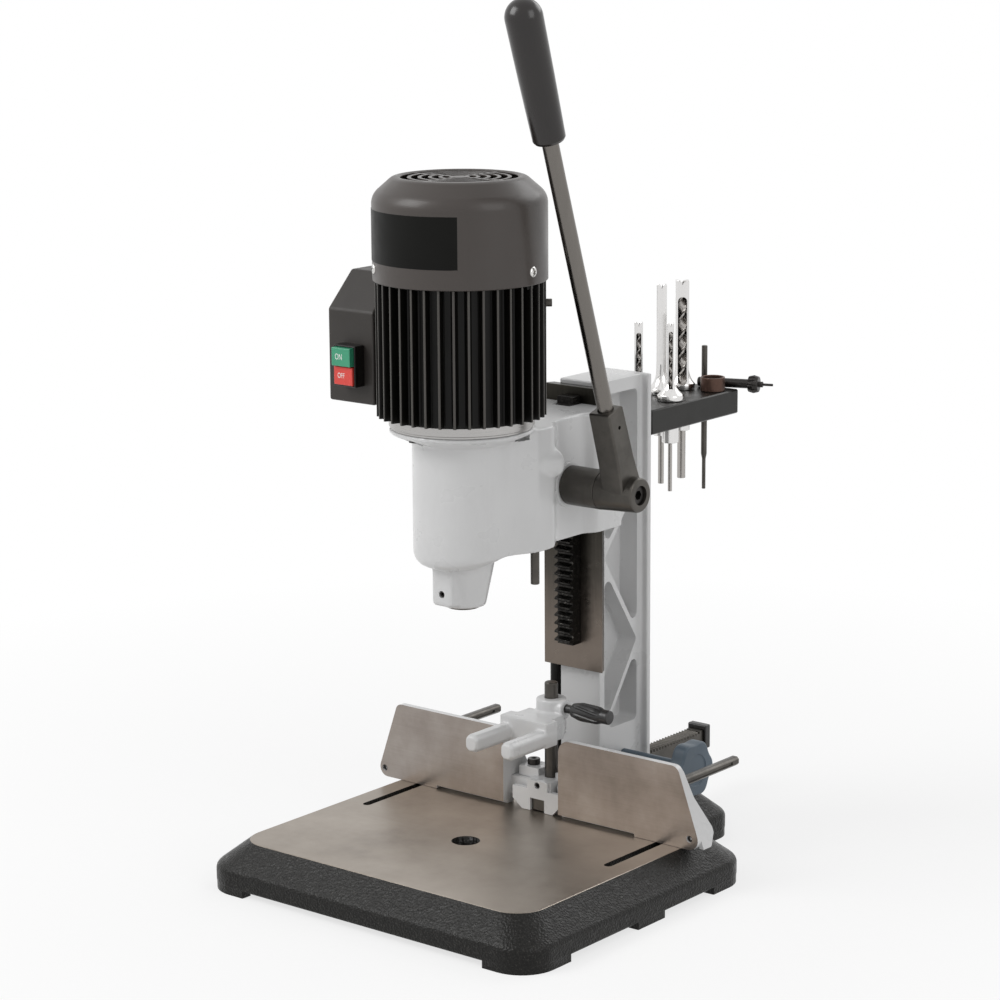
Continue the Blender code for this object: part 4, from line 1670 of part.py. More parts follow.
def make_lever():
    """The lever: hub block, rod, grip and the screw that holds the hub."""
    start, end = HUB_SPLIT_X + SEAT, HUB_END_X
    barrel = rod((start, PINION_Y, PINION_Z), (end, PINION_Y, PINION_Z), HUB_RADIUS, SOME_SIDES, HUB_OUTER_RADIUS)
    soften(barrel, LEVER_BLOCK_EDGE, 1)
    depth, top_depth = LEVER_BLOCK_HALF_DEPTH, LEVER_BLOCK_TOP_HALF_DEPTH
    side = [(-depth, 0), (depth, 0), (top_depth, LEVER_BLOCK_LENGTH), (-top_depth, LEVER_BLOCK_LENGTH)]
    width = LEVER_BLOCK_HALF_WIDTH
    block = prism([side], "X", LEVER_X - width, LEVER_X + width, bevel=LEVER_BLOCK_EDGE, name="block")
    block.matrix_world = Matrix.Translation(HUB_CENTRE) @ Matrix.Rotation(LEVER_LEAN, 4, "X") @ block.matrix_world
    join(barrel, block)
    spigot_end = HUB_SPLIT_X + HUB_SPIGOT_LENGTH + SEAT
    axis = (PINION_Y, PINION_Z)
    cut(barrel, rod((start - OVERRUN, *axis), (spigot_end, *axis), HUB_SPIGOT_RADIUS + SEAT))
    head_face = end - LEVER_SCREW_SINK - LEVER_SCREW_HEAD
    cut(barrel, rod((head_face, *axis), (end + OVERRUN, *axis), LEVER_SCREW_RADIUS + SEAT))
    shank_end = head_face - LEVER_SCREW_SHANK
    cut(barrel, rod((shank_end, *axis), (head_face + OVERRUN, *axis), LEVER_SCREW_SHANK_RADIUS + SEAT, FEW_SIDES))
    top = LEVER_BLOCK_LENGTH
    seat_from = on_lever(top - LEVER_ROD_SEAT)
    cut(barrel, rod(seat_from, on_lever(top + OVERRUN), LEVER_ROD_RADIUS + SEAT, name="rod_seat"))
    hole_x = LEVER_X + width
    hole_from = on_lever(top - LEVER_PIN_HOLE_DROP, hole_x - LEVER_PIN_HOLE_DEPTH)
    hole_to = on_lever(top - LEVER_PIN_HOLE_DROP, hole_x + OVERRUN)
    cut(barrel, rod(hole_from, hole_to, LEVER_PIN_HOLE_RADIUS, FEW_SIDES, name="pin_hole"))
    node(barrel, "lever_block", "lever", "dark_steel")
    rod_from = top - LEVER_ROD_SEAT + SEAT
    rod_to = LEVER_GRIP_START + LEVER_GRIP_LENGTH - LEVER_GRIP_WALL_TOP
    lever_rod = rod(on_lever(rod_from), on_lever(rod_to), LEVER_ROD_RADIUS, name="lever_rod")
    node(lever_rod, "lever_rod", "lever", "dark_steel")
    length, low, high = LEVER_GRIP_LENGTH, LEVER_GRIP_RADIUS, LEVER_GRIP_TOP_RADIUS
    dome = [(high * math.sin(a), length - high + high * math.cos(a)) for a in (i * math.pi / 12 for i in range(7))]
    profile = dome + [(low, SEAT * 8), (low - SEAT * 4, 0), (0, 0)]
    grip = turned(profile, on_lever(LEVER_GRIP_START), LEVER_UP, SOME_SIDES, name="lever_grip")
    bore_end = on_lever(rod_to + SEAT)
    cut(grip, rod(on_lever(LEVER_GRIP_START - OVERRUN), bore_end, LEVER_ROD_RADIUS + SEAT, name="grip_bore"))
    node(grip, "lever_grip", "lever", "black_plastic")
    head_at = (head_face + SEAT, *axis)
    screw = socket_screw(
        head_at,
        (-1, 0, 0),
        (LEVER_SCREW_SHANK_RADIUS, LEVER_SCREW_SHANK - 2 * SEAT),
        (LEVER_SCREW_RADIUS, LEVER_SCREW_HEAD),
        (LEVER_SCREW_SOCKET, LEVER_SCREW_HEAD / 2),
    )
    node(screw, "lever_screw", "lever", "dark_steel")


def make_depth_rod():
    """The depth rod, which slides in the boss on the head's right side."""
    low, high = (DEPTH_ROD_X, DEPTH_ROD_Y, DEPTH_ROD_BOTTOM), (DEPTH_ROD_X, DEPTH_ROD_Y, DEPTH_ROD_TOP)
    node(rod(low, high, DEPTH_ROD_RADIUS, FEW_SIDES, name="depth_rod"), "depth_rod", "depth_rod_pivot", "dark_steel")


def motor_bolt_places():
    """The bolts that hold the motor to the head's flange."""
    return [(MOTOR_BOLT_CIRCLE * math.cos(a), MOTOR_BOLT_CIRCLE * math.sin(a)) for a in MOTOR_BOLT_ANGLES]


def make_end_bell():
    """The motor's lower end bell, with its bearing seat and the four studs that hold it to the head."""
    low, high = MOTOR_SEAT_Z, MOTOR_BOTTOM - SEAT
    hub_top = high + BELL_HUB_HEIGHT
    seat_radius = BEARING_RADIUS + SEAT
    profile = [
        (BELL_BORE_RADIUS, low + BELL_HEIGHT / 3),
        (seat_radius, low + BELL_HEIGHT / 3),
        (seat_radius, hub_top),
        (BELL_HUB_RADIUS, hub_top),
        (BELL_HUB_RADIUS, high),
        (FLANGE_RADIUS, high),
        (FLANGE_RADIUS, low),
        (BELL_BORE_RADIUS, low),
    ]
    bell = turned(profile, sides=MANY_SIDES, ring=True, name="motor_end_bell")
    for x, y in motor_bolt_places():
        nut_top = HEAD_TOP - FLANGE_EDGE - SEAT
        join(bell, rod((x, y, nut_top - SEAT), (x, y, low + SEAT), MOTOR_BOLT_RADIUS, FEW_SIDES))
        join(bell, rod((x, y, nut_top - MOTOR_BOLT_HEAD), (x, y, nut_top), MOTOR_BOLT_HEAD_RADIUS, 6))
    node(bell, "motor_end_bell", "head", "cast_aluminium")


def fin_outline():
    """The finned frame's outline, flat at the left where the switch box sits."""
    core, fin = MOTOR_CORE_RADIUS, MOTOR_FIN_RADIUS
    pad_angle = math.asin(MOTOR_PAD_HALF_WIDTH / MOTOR_PAD_X)
    points = [(-MOTOR_PAD_X, MOTOR_PAD_HALF_WIDTH), (-MOTOR_PAD_X, -MOTOR_PAD_HALF_WIDTH)]
    for index in range(MOTOR_FINS):
        middle = -math.pi + (index + 0.5) * math.tau / MOTOR_FINS
        if abs(middle) > math.pi - pad_angle - math.pi / MOTOR_FINS:
            continue
        for radius, half_width in ((core, -FIN_ROOT_HALF_WIDTH), (fin, -FIN_HALF_WIDTH),
                                   (fin, FIN_HALF_WIDTH), (core, FIN_ROOT_HALF_WIDTH)):
            turn = middle + half_width / radius
            points.append((radius * math.cos(turn), radius * math.sin(turn)))
    return points


def make_motor_frame():
    """The finned motor frame, with through-bolt lugs inside."""
    low, high = MOTOR_BOTTOM, MOTOR_TOP
    frame = prism([fin_outline()], "Z", low, high, name="motor_frame")
    wall_top = REAR_BELL_Z + REAR_BELL_THICKNESS
    seat_radius = BEARING_RADIUS + SEAT
    bore_profile = [
        (0, high + OVERRUN),
        (MOTOR_BORE_RADIUS, high + OVERRUN),
        (MOTOR_BORE_RADIUS, wall_top),
        (seat_radius, wall_top),
        (seat_radius, REAR_BELL_Z - BEARING_HEIGHT / 2),
        (MOTOR_BORE_RADIUS, REAR_BELL_Z - BEARING_HEIGHT / 2),
        (MOTOR_BORE_RADIUS, low - OVERRUN),
        (0, low - OVERRUN),
    ]
    cut(frame, turned(bore_profile, sides=MANY_SIDES, name="bore"))
    for ear in motor_ears():
        join(frame, ear)
    for angle in COVER_SCREW_ANGLES:
        start = radial(angle, FAN_COVER_RADIUS - COVER_SCREW_LENGTH - OVERRUN, COVER_SCREW_Z)
        end = radial(angle, FAN_COVER_RADIUS, COVER_SCREW_Z)
        cut(frame, rod(start, end, COVER_SCREW_RADIUS + SEAT, FEW_SIDES, name="ear_hole"))
    node(frame, "motor_frame", "head", "motor_black")


def make_motor_inside():
    """Stator, bearings, rotor on its shaft, cooling fan and drill chuck."""
    outer, inner = MOTOR_BORE_RADIUS - SEAT, STATOR_BORE_RADIUS
    profile = [(inner, STATOR_TOP), (outer, STATOR_TOP), (outer, STATOR_BOTTOM), (inner, STATOR_BOTTOM)]
    node(turned(profile, sides=MANY_SIDES, ring=True, name="stator"), "stator", "head", "copper")
    shaft = ROTOR_SHAFT_RADIUS
    low_seat = MOTOR_SEAT_Z + BELL_HEIGHT / 3 + SEAT
    high_seat = REAR_BELL_Z - BEARING_HEIGHT / 2
    for low, side in ((low_seat, "lower"), (high_seat, "upper")):
        high, inner = low + BEARING_HEIGHT, shaft + BEARING_BORE_GAP
        race = [(inner, high), (BEARING_RADIUS, high), (BEARING_RADIUS, low), (inner, low)]
        bearing = turned(race, sides=SOME_SIDES, ring=True)
        node(bearing, f"motor_bearing_{side}", "head", "bright_steel")
    rotor_profile = [
        (0, ROTOR_SHAFT_TOP),
        (shaft, ROTOR_SHAFT_TOP),
        (shaft, STATOR_TOP),
        (ROTOR_RADIUS, STATOR_TOP),
        (ROTOR_RADIUS, STATOR_BOTTOM),
        (shaft, STATOR_BOTTOM),
        (shaft, ROTOR_SHAFT_BOTTOM),
        (0, ROTOR_SHAFT_BOTTOM),
    ]
    node(turned(rotor_profile, sides=SOME_SIDES, name="rotor_shaft"), "rotor_shaft", "spindle", "bright_steel")
    make_fan()
    make_chuck()


def make_fan():
    """The cooling fan on the rotor shaft's upper end."""
    low, high = FAN_BOTTOM, FAN_BOTTOM + FAN_HEIGHT
    hub_top = ROTOR_SHAFT_TOP + FAN_BLADE
    disc_top = low + FAN_BLADE
    profile = [
        (0, hub_top),
        (FAN_HUB_RADIUS, hub_top),
        (FAN_HUB_RADIUS, disc_top),
        (FAN_RADIUS, disc_top),
        (FAN_RADIUS, low),
        (0, low),
    ]
    fan = turned(profile, sides=SOME_SIDES, name="cooling_fan")
    for blade in range(FAN_BLADES):
        piece = box((FAN_HUB_RADIUS - FAN_BLADE, -FAN_BLADE / 2, low), (FAN_RADIUS - FAN_BLADE, FAN_BLADE / 2, high))
        piece.matrix_world = Matrix.Rotation(math.tau * blade / FAN_BLADES, 4, "Z") @ piece.matrix_world
        join(fan, piece)
    bore_top = ROTOR_SHAFT_TOP + SEAT
    cut(fan, rod((0, 0, low - OVERRUN), (0, 0, bore_top), ROTOR_SHAFT_RADIUS + SEAT, SOME_SIDES))
    node(fan, "cooling_fan", "spindle", "black_plastic")


def make_chuck():
    """The drill chuck that holds the auger's shank."""
    nose_top = CHUCK_BOTTOM + CHUCK_RADIUS
    profile = [
        (0, CHUCK_TOP),
        (CHUCK_RADIUS - FLANGE_EDGE, CHUCK_TOP),
        (CHUCK_RADIUS, CHUCK_TOP - FLANGE_EDGE),
        (CHUCK_RADIUS, nose_top),
        (CHUCK_NOSE_RADIUS, CHUCK_BOTTOM),
        (0, CHUCK_BOTTOM),
    ]
    chuck = turned(profile, sides=SOME_SIDES, name="drill_chuck")
    cut(chuck, rod((0, 0, ROTOR_SHAFT_BOTTOM - SEAT), (0, 0, CHUCK_TOP + OVERRUN), ROTOR_SHAFT_RADIUS + SEAT))
    cut(chuck, rod((0, 0, CHUCK_BOTTOM - OVERRUN), (0, 0, nose_top), CHUCK_BORE_RADIUS, FEW_SIDES))
    for jaw in range(3):
        turn = Matrix.Rotation(math.tau * jaw / 3, 4, "Z")
        low, high = Vector((CHUCK_BORE_RADIUS, 0, CHUCK_BOTTOM)), Vector((CHUCK_RADIUS, 0, nose_top - OVERRUN))
        slot = box((low.x, -FAN_BLADE / 2, low.z - OVERRUN), (high.x, FAN_BLADE / 2, low.z + OVERRUN), "jaw_slot")
        slot.matrix_world = turn @ slot.matrix_world
        cut(chuck, slot)
    node(chuck, "drill_chuck", "spindle", "dark_steel")


def grille_slot(inner, outer, start, end):
    """One curved slot of the fan cover's grille."""
    outline = arc((0, 0), outer, start, end, GRILLE_ARC_STEPS)
    outline += list(reversed(arc((0, 0), inner, start, end, GRILLE_ARC_STEPS)))
    return prism([outline], "Z", FAN_COVER_TOP - FAN_COVER_WALL - OVERRUN, FAN_COVER_TOP + OVERRUN, name="slot")


def make_fan_cover():
    """The fan cover: a drawn shell with rings of curved slots in its top, and its screws."""
    wall, low = FAN_COVER_WALL, MOTOR_TOP + SEAT
    outer, inner = FAN_COVER_RADIUS, FAN_COVER_RADIUS - FAN_COVER_WALL
    rise, run = FAN_COVER_TOP - FAN_COVER_SHOULDER_Z, FAN_COVER_RADIUS - FAN_COVER_TOP_RADIUS
    shoulder = [
        (outer - run + run * math.cos(a), FAN_COVER_SHOULDER_Z + rise * math.sin(a))
        for a in (i * math.pi / 2 / COVER_SHOULDER_STEPS for i in range(COVER_SHOULDER_STEPS + 1))
    ]
    inside = [
        (inner - run + run * math.cos(a), FAN_COVER_SHOULDER_Z - wall + rise * math.sin(a))
        for a in (i * math.pi / 2 / COVER_SHOULDER_STEPS for i in range(COVER_SHOULDER_STEPS + 1))
    ]
    profile = [(0, FAN_COVER_TOP)] + list(reversed(shoulder)) + [(outer, low), (inner, low)] + inside
    profile.append((0, FAN_COVER_TOP - wall))
    cover = turned(profile, sides=MANY_SIDES, name="fan_cover")
    settle(cover)
    slots = []
    step = (GRILLE_OUTER_RADIUS - GRILLE_INNER_RADIUS + GRILLE_BAR) / GRILLE_RINGS
    for ring in range(GRILLE_RINGS):
        inner_edge = GRILLE_INNER_RADIUS + ring * step
        outer_edge = inner_edge + step - GRILLE_BAR
        spoke = GRILLE_SPOKE_HALF_ANGLE
        for quarter in range(GRILLE_SPOKES):
            start = math.tau * quarter / GRILLE_SPOKES + spoke
            end = math.tau * (quarter + 1) / GRILLE_SPOKES - spoke
            slots.append(grille_slot(inner_edge, outer_edge, start, end))
    cut(cover, group(slots, "grille"))
    join(cover, *cover_screws())
    node(cover, "fan_cover", "head", "fan_cover_paint")


def radial(angle, radius, height):
    """A point around the motor's axis."""
    return Vector((radius * math.cos(angle), radius * math.sin(angle), height))


def motor_ears():
    """The ears that stand up inside the fan cover from the motor frame and take its screws."""
    ears = []
    outer = (FAN_COVER_RADIUS - FAN_COVER_WALL) * math.cos(math.pi / MANY_SIDES) - SEAT
    depth = outer - MOTOR_BORE_RADIUS - OVERRUN
    for angle in COVER_SCREW_ANGLES:
        half = COVER_EAR_RADIUS
        piece = box((outer - depth, -half, MOTOR_TOP - OVERRUN), (outer - SEAT, half, COVER_SCREW_Z + half), "ear")
        piece.matrix_world = Matrix.Rotation(angle, 4, "Z") @ piece.matrix_world
        ears.append(piece)
    return ears


def cover_screws():
    """The round-head screws of the fan cover."""
    screws = []
    for angle in COVER_SCREW_ANGLES:
        inward = -radial(angle, 1, 0)
        seat = radial(angle, FAN_COVER_RADIUS - SEAT, COVER_SCREW_Z)
        profile = [
            (0, COVER_SCREW_LENGTH),
            (COVER_SCREW_RADIUS, COVER_SCREW_LENGTH),
            (COVER_SCREW_RADIUS, 0),
            (COVER_SCREW_HEAD_RADIUS, 0),
            (COVER_SCREW_HEAD_RADIUS, -COVER_SCREW_HEAD / 2),
            (COVER_SCREW_RADIUS, -COVER_SCREW_HEAD),
            (0, -COVER_SCREW_HEAD),
        ]
        screws.append(turned(profile, seat, inward, FEW_SIDES))
    return screws


def make_switch_box():
    """The switch box: an open-backed shell with a sloped shoulder, the switch housing and the cord gland."""
    half, wall = BOX_HALF_DEPTH, BOX_WALL
    right = -MOTOR_PAD_X - SEAT
    side = [
        (-half, BOX_BOTTOM),
        (half, BOX_BOTTOM),
        (half, BOX_TOP),
        (-half + BOX_SLOPE_DEPTH, BOX_TOP),
        (-half, BOX_FRONT_TOP),
    ]
    shell = prism([side], "X", -BOX_LEFT, right, bevel=BOX_EDGE, name="switch_box")
    settle(shell)
    inner = [
        (-half + wall, BOX_BOTTOM + wall),
        (half - wall, BOX_BOTTOM + wall),
        (half - wall, BOX_TOP - wall),
        (-half + BOX_SLOPE_DEPTH + wall / 2, BOX_TOP - wall),
        (-half + wall, BOX_FRONT_TOP - wall / 2),
    ]
    cut(shell, prism([inner], "X", -BOX_LEFT + wall, right + OVERRUN, name="inside"))
    gap = SEAT
    inset = SWITCH_WALL * 2
    cut(shell, box(
        (-SWITCH_LEFT + inset - gap, -half - OVERRUN, SWITCH_BOTTOM + inset - gap),
        (-SWITCH_RIGHT - inset + gap, -half + wall + OVERRUN, SWITCH_TOP - inset + gap),
        "switch_opening",
    ))
    cut(shell, rod((-GLAND_X, GLAND_Y, BOX_BOTTOM - OVERRUN), (-GLAND_X, GLAND_Y, BOX_BOTTOM + wall + OVERRUN),
                   GLAND_RADIUS + SEAT, SOME_SIDES))
    node(shell, "switch_box", "head", "black_plastic")
    housing_back = -half - SEAT
    housing = box((-SWITCH_LEFT, -SWITCH_FRONT, SWITCH_BOTTOM), (-SWITCH_RIGHT, housing_back, SWITCH_TOP), "housing")
    soften(housing, SWITCH_WALL / 2, 1)
    tail = box(
        (-SWITCH_LEFT + inset, housing_back - OVERRUN, SWITCH_BOTTOM + inset),
        (-SWITCH_RIGHT - inset, housing_back + SWITCH_TAIL, SWITCH_TOP - inset),
        "tail",
    )
    join(housing, tail)
    pocket = SWITCH_WALL
    cut(housing, box(
        (-SWITCH_LEFT + pocket, -SWITCH_FRONT - OVERRUN, SWITCH_BOTTOM + pocket),
        (-SWITCH_RIGHT - pocket, -SWITCH_FRONT + BUTTON_LENGTH, SWITCH_TOP - pocket),
        "button_pocket",
    ))
    node(housing, "switch_housing", "head", "black_plastic")
    make_button("on_button", 1, ON_PROUD, "green_plastic")
    make_button("off_button", -1, OFF_PROUD, "red_plastic")
    make_gland()


def make_button(name, side, proud, material):
    """One push button: the upper one starts the motor, the lower one stops it."""
    gap = SWITCH_WALL + SEAT
    middle = (SWITCH_BOTTOM + SWITCH_TOP) / 2
    near, far = middle + side * SEAT, (SWITCH_TOP if side > 0 else SWITCH_BOTTOM) - side * gap
    low_z, high_z = min(near, far), max(near, far)
    back = -SWITCH_FRONT + BUTTON_LENGTH - proud - SEAT
    button = box(
        (-SWITCH_LEFT + gap, -SWITCH_FRONT - proud, low_z),
        (-SWITCH_RIGHT - gap, min(back, -SWITCH_FRONT + BUTTON_LENGTH - BUTTON_TRAVEL - SEAT), high_z),
        name,
    )
    soften(button, BUTTON_EDGE)
    node(button, name, f"{name}_pivot", material)


BUTTON_TRAVEL = 0.003


def make_gland():
    """The cord gland under the switch box. No cord is fitted."""
    top = BOX_BOTTOM - SEAT
    profile = [
        (GLAND_BORE_RADIUS, top + BOX_WALL + GLAND_NUT),
        (GLAND_RADIUS, top + BOX_WALL + GLAND_NUT),
        (GLAND_RADIUS, top),
        (GLAND_NUT_RADIUS, top),
        (GLAND_NUT_RADIUS, top - GLAND_NUT),
        (GLAND_RADIUS - SEAT, top - GLAND_NUT),
        (GLAND_RADIUS - GLAND_BORE_RADIUS / 2, top - GLAND_LENGTH),
        (GLAND_BORE_RADIUS, top - GLAND_LENGTH),
    ]
    gland = turned(profile, (-GLAND_X, GLAND_Y, 0), sides=FEW_SIDES, ring=True, name="cord_gland")
    node(gland, "cord_gland", "head", "black_plastic")


def build():
    """Models the whole machine."""
    clear_scene()
    new_collection("benchtop_mortiser")
    new_collection("helpers")
    add_materials()
    add_pivots()
    make_base()
    make_column()
    make_slide_way()
    make_slide_rack()
    make_gas_spring()
    make_tool_holder()
    for chisel in CHISELS:
        make_chisel(*chisel)
        make_auger(*chisel)
    make_chuck_key()
    make_spare_bushing()
    make_fence_drive()
    make_fence()
    make_fence_bracket()
    make_fence_fasteners()
    make_rack_bar()
    make_clamp_lever(1, "clamp_right", "clamp_lever_right")
    make_clamp_lever(-1, "clamp_left", "clamp_lever_left")
    make_hold_down()
    make_head_casting()
    make_head_set_screws()
    make_head_gib()
    make_nose_bushing()
    make_pinion_shaft()
    make_lever()
    make_depth_rod()
    make_end_bell()
    make_motor_frame()
    make_motor_inside()
    make_fan_cover()
    make_switch_box()
    PIVOTS["stand"].location = (0, -MACHINE_MIDDLE_Y, FLOOR_DROP)
    bpy.context.view_layer.update()


build()
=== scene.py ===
"""Looks of the benchtop mortiser: finer forms, finishes, floor, lights and camera.

Every piece is modelled in the machine's own frame, whose origin is the centre of the table's hole on
the table's top, in metres, and is then moved to where the frame has it.
"""

import math

import bmesh
import bpy
from mathutils import Matrix, Vector


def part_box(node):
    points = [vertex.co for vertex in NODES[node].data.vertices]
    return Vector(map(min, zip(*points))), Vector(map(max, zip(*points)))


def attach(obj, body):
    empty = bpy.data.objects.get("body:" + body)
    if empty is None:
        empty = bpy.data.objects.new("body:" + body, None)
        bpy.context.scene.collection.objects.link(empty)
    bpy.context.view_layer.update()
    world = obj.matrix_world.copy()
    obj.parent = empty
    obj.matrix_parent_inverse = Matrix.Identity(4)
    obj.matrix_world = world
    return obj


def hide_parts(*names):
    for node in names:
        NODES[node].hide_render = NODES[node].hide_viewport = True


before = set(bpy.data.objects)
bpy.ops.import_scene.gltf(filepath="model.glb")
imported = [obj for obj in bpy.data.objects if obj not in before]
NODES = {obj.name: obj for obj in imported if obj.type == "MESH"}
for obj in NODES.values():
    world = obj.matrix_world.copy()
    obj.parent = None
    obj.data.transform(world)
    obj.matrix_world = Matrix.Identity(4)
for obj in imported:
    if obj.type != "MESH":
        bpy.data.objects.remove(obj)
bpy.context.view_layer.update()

MM = 0.001
FINE = 96
ROUND = 48
SMALL = 24
OVERRUN = 0.003
SEAT = 0.0003


class Span:
    """Where a CAD node is, in the machine's own frame."""

    def __init__(self, name):
        low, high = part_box(name)
        self.low = Vector(low) - ORIGIN
        self.high = Vector(high) - ORIGIN
        self.middle = (self.low + self.high) / 2
        self.size = self.high - self.low


def machine_origin():
    """The centre of the table's hole: the spindle's axis, at the height of the table."""
    low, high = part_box("nose_bushing")
    table_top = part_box("base")[1][2]
    return Vector(((low[0] + high[0]) / 2, (low[1] + high[1]) / 2, table_top))


ORIGIN = machine_origin()
FINISHES = {}


class Finish:
    """A material and the nodes that shape it."""

    def __init__(self, name, colour, roughness, metallic=0.0, **sockets):
        self.material = bpy.data.materials.new(name)
        self.material.use_nodes = True
        self.nodes = self.material.node_tree.nodes
        self.links = self.material.node_tree.links
        self.shader = self.nodes["Principled BSDF"]
        self.place = self.nodes.new("ShaderNodeTexCoord").outputs["Object"]
        self.set("Base Color", (*colour, 1))
        self.set("Roughness", roughness)
        self.set("Metallic", metallic)
        for socket, value in sockets.items():
            self.set(socket.replace("_", " "), value)
        FINISHES[name] = self.material

    def set(self, socket, value):
        self.shader.inputs[socket].default_value = value

    def stretched(self, scale):
        """The place on the object, with each axis scaled on its own."""
        mapping = self.nodes.new("ShaderNodeMapping")
        mapping.inputs["Scale"].default_value = scale
        self.links.new(self.place, mapping.inputs["Vector"])
        return mapping.outputs["Vector"]

    def noise(self, scale, detail=3.0, roughness=0.5, stretch=None):
        """Soft noise, from 0 to 1."""
        texture = self.nodes.new("ShaderNodeTexNoise")
        texture.inputs["Scale"].default_value = scale
        texture.inputs["Detail"].default_value = detail
        texture.inputs["Roughness"].default_value = roughness
        self.links.new(self.stretched(stretch) if stretch else self.place, texture.inputs["Vector"])
        return texture.outputs["Fac"]

    def cells(self, scale, smoothness=0.6):
        """Rounded cells, dark in the middle."""
        texture = self.nodes.new("ShaderNodeTexVoronoi")
        texture.feature = "SMOOTH_F1"
        texture.inputs["Scale"].default_value = scale
        texture.inputs["Smoothness"].default_value = smoothness
        self.links.new(self.place, texture.inputs["Vector"])
        return texture.outputs["Distance"]

    def ramp(self, value, *stops):
        """Colours along a value, as (place, colour) pairs."""
        node = self.nodes.new("ShaderNodeValToRGB")
        elements = node.color_ramp.elements
        for index, (place, colour) in enumerate(stops):
            element = elements[index] if index < 2 else elements.new(place)
            element.position = place
            element.color = (*colour, 1)
        self.links.new(value, node.inputs["Fac"])
        return node.outputs["Color"]

    def spread(self, value, low, high, start=0.3, end=0.7):
        """A value between start and end, spread from low to high."""
        node = self.nodes.new("ShaderNodeMapRange")
        for socket, number in zip(("From Min", "From Max", "To Min", "To Max"), (start, end, low, high)):
            node.inputs[socket].default_value = number
        self.links.new(value, node.inputs["Value"])
        return node.outputs["Result"]

    def add(self, first, second, weight=1.0):
        """The first value plus a share of the second."""
        node = self.nodes.new("ShaderNodeMath")
        node.operation = "MULTIPLY_ADD"
        node.inputs[1].default_value = weight
        self.links.new(second, node.inputs[0])
        self.links.new(first, node.inputs[2])
        return node.outputs["Value"]

    def colour(self, output):
        self.links.new(output, self.shader.inputs["Base Color"])

    def rough(self, output):
        self.links.new(output, self.shader.inputs["Roughness"])

    def bump(self, height, strength, distance):
        """Bends the light as if the surface had this height."""
        node = self.nodes.new("ShaderNodeBump")
        node.inputs["Strength"].default_value = strength
        node.inputs["Distance"].default_value = distance
        self.links.new(height, node.inputs["Height"])
        self.links.new(node.outputs["Normal"], self.shader.inputs["Normal"])


def shaded(colour, factor):
    """A colour, darker or lighter."""
    return tuple(channel * factor for channel in colour)


def enamel(name, colour, roughness, wave=0.25, peel=0.10, gloss=0.5, coat=0.25):
    """Enamel sprayed on a casting: it follows the casting's waves and has a fine orange peel."""
    finish = Finish(name, colour, roughness, Specular_IOR_Level=gloss, Coat_Weight=coat, Coat_Roughness=0.12)
    patches = finish.noise(9, 4)
    finish.colour(finish.ramp(patches, (0.30, shaded(colour, 0.93)), (0.70, colour)))
    finish.rough(finish.spread(finish.noise(35, 3), roughness - 0.05, roughness + 0.07))
    surface = finish.add(finish.noise(70, 2), finish.noise(520, 2), peel / wave)
    finish.bump(surface, wave, 0.0006)


def hammered():
    """The base's black enamel, with its small closed bumps."""
    finish = Finish("black_hammered", (0.006, 0.006, 0.005), 0.32, Specular_IOR_Level=0.22)
    grain = finish.noise(620, 3, 0.6)
    finish.colour(finish.ramp(grain, (0.42, (0.0045, 0.0043, 0.0035)), (0.60, (0.012, 0.0113, 0.0098)),
                              (0.74, (0.050, 0.047, 0.042))))
    finish.rough(finish.spread(finish.noise(150, 2), 0.26, 0.44))
    surface = finish.add(finish.cells(520, 0.8), finish.noise(900, 2), 0.35)
    finish.bump(surface, 0.7, 0.0008)


def ground_iron():
    """Ground cast iron: fine lines across, faint stains and a few scratches."""
    finish = Finish("ground_iron", (0.30, 0.275, 0.25), 0.36, 1.0)
    stains = finish.noise(11, 5, 0.6)
    lines = finish.noise(1, 4, 0.65, (14, 900, 900))
    mixed = finish.add(stains, lines, 0.35)
    finish.colour(finish.ramp(mixed, (0.42, (0.225, 0.194, 0.165)), (0.62, (0.315, 0.276, 0.236)),
                              (0.86, (0.385, 0.342, 0.298))))
    finish.rough(finish.spread(lines, 0.30, 0.44))
    finish.bump(lines, 0.10, 0.0002)


def fence_iron():
    """The fence's ground face: lines along it, with oblique scratches."""
    finish = Finish("fence_iron", (0.36, 0.33, 0.30), 0.34, 1.0)
    stains = finish.noise(14, 5, 0.6)
    lines = finish.noise(1, 4, 0.65, (10, 500, 1100))
    marks = finish.noise(1, 2, 0.5, (120, 300, 26))
    mixed = finish.add(finish.add(stains, lines, 0.22), marks, 0.08)
    finish.colour(finish.ramp(mixed, (0.42, (0.205, 0.177, 0.156)), (0.64, (0.285, 0.250, 0.225)),
                              (0.86, (0.365, 0.330, 0.300))))
    finish.rough(finish.spread(lines, 0.28, 0.42))
    finish.bump(lines, 0.12, 0.0002)


def oxide(name, colour, roughness, grain=420, strength=0.12):
    """Blackened steel: dull, slightly mottled."""
    finish = Finish(name, colour, roughness, 0.85)
    finish.colour(finish.ramp(finish.noise(40, 4, 0.6), (0.3, shaded(colour, 0.75)),
        (0.7, shaded(colour, 1.2))))
    finish.rough(finish.spread(finish.noise(90, 3), roughness - 0.06, roughness + 0.08))
    finish.bump(finish.noise(grain, 3), strength, 0.0003)


def polished(name, colour, roughness, stretch=(300, 300, 12), strength=0.04):
    """Bright steel with faint lines along its length."""
    finish = Finish(name, colour, roughness, 1.0)
    lines = finish.noise(1, 3, 0.6, stretch)
    finish.colour(finish.ramp(lines, (0.25, shaded(colour, 0.88)), (0.75, colour)))
    finish.rough(finish.spread(lines, roughness * 0.7, roughness * 1.5))
    finish.bump(lines, strength, 0.0002)


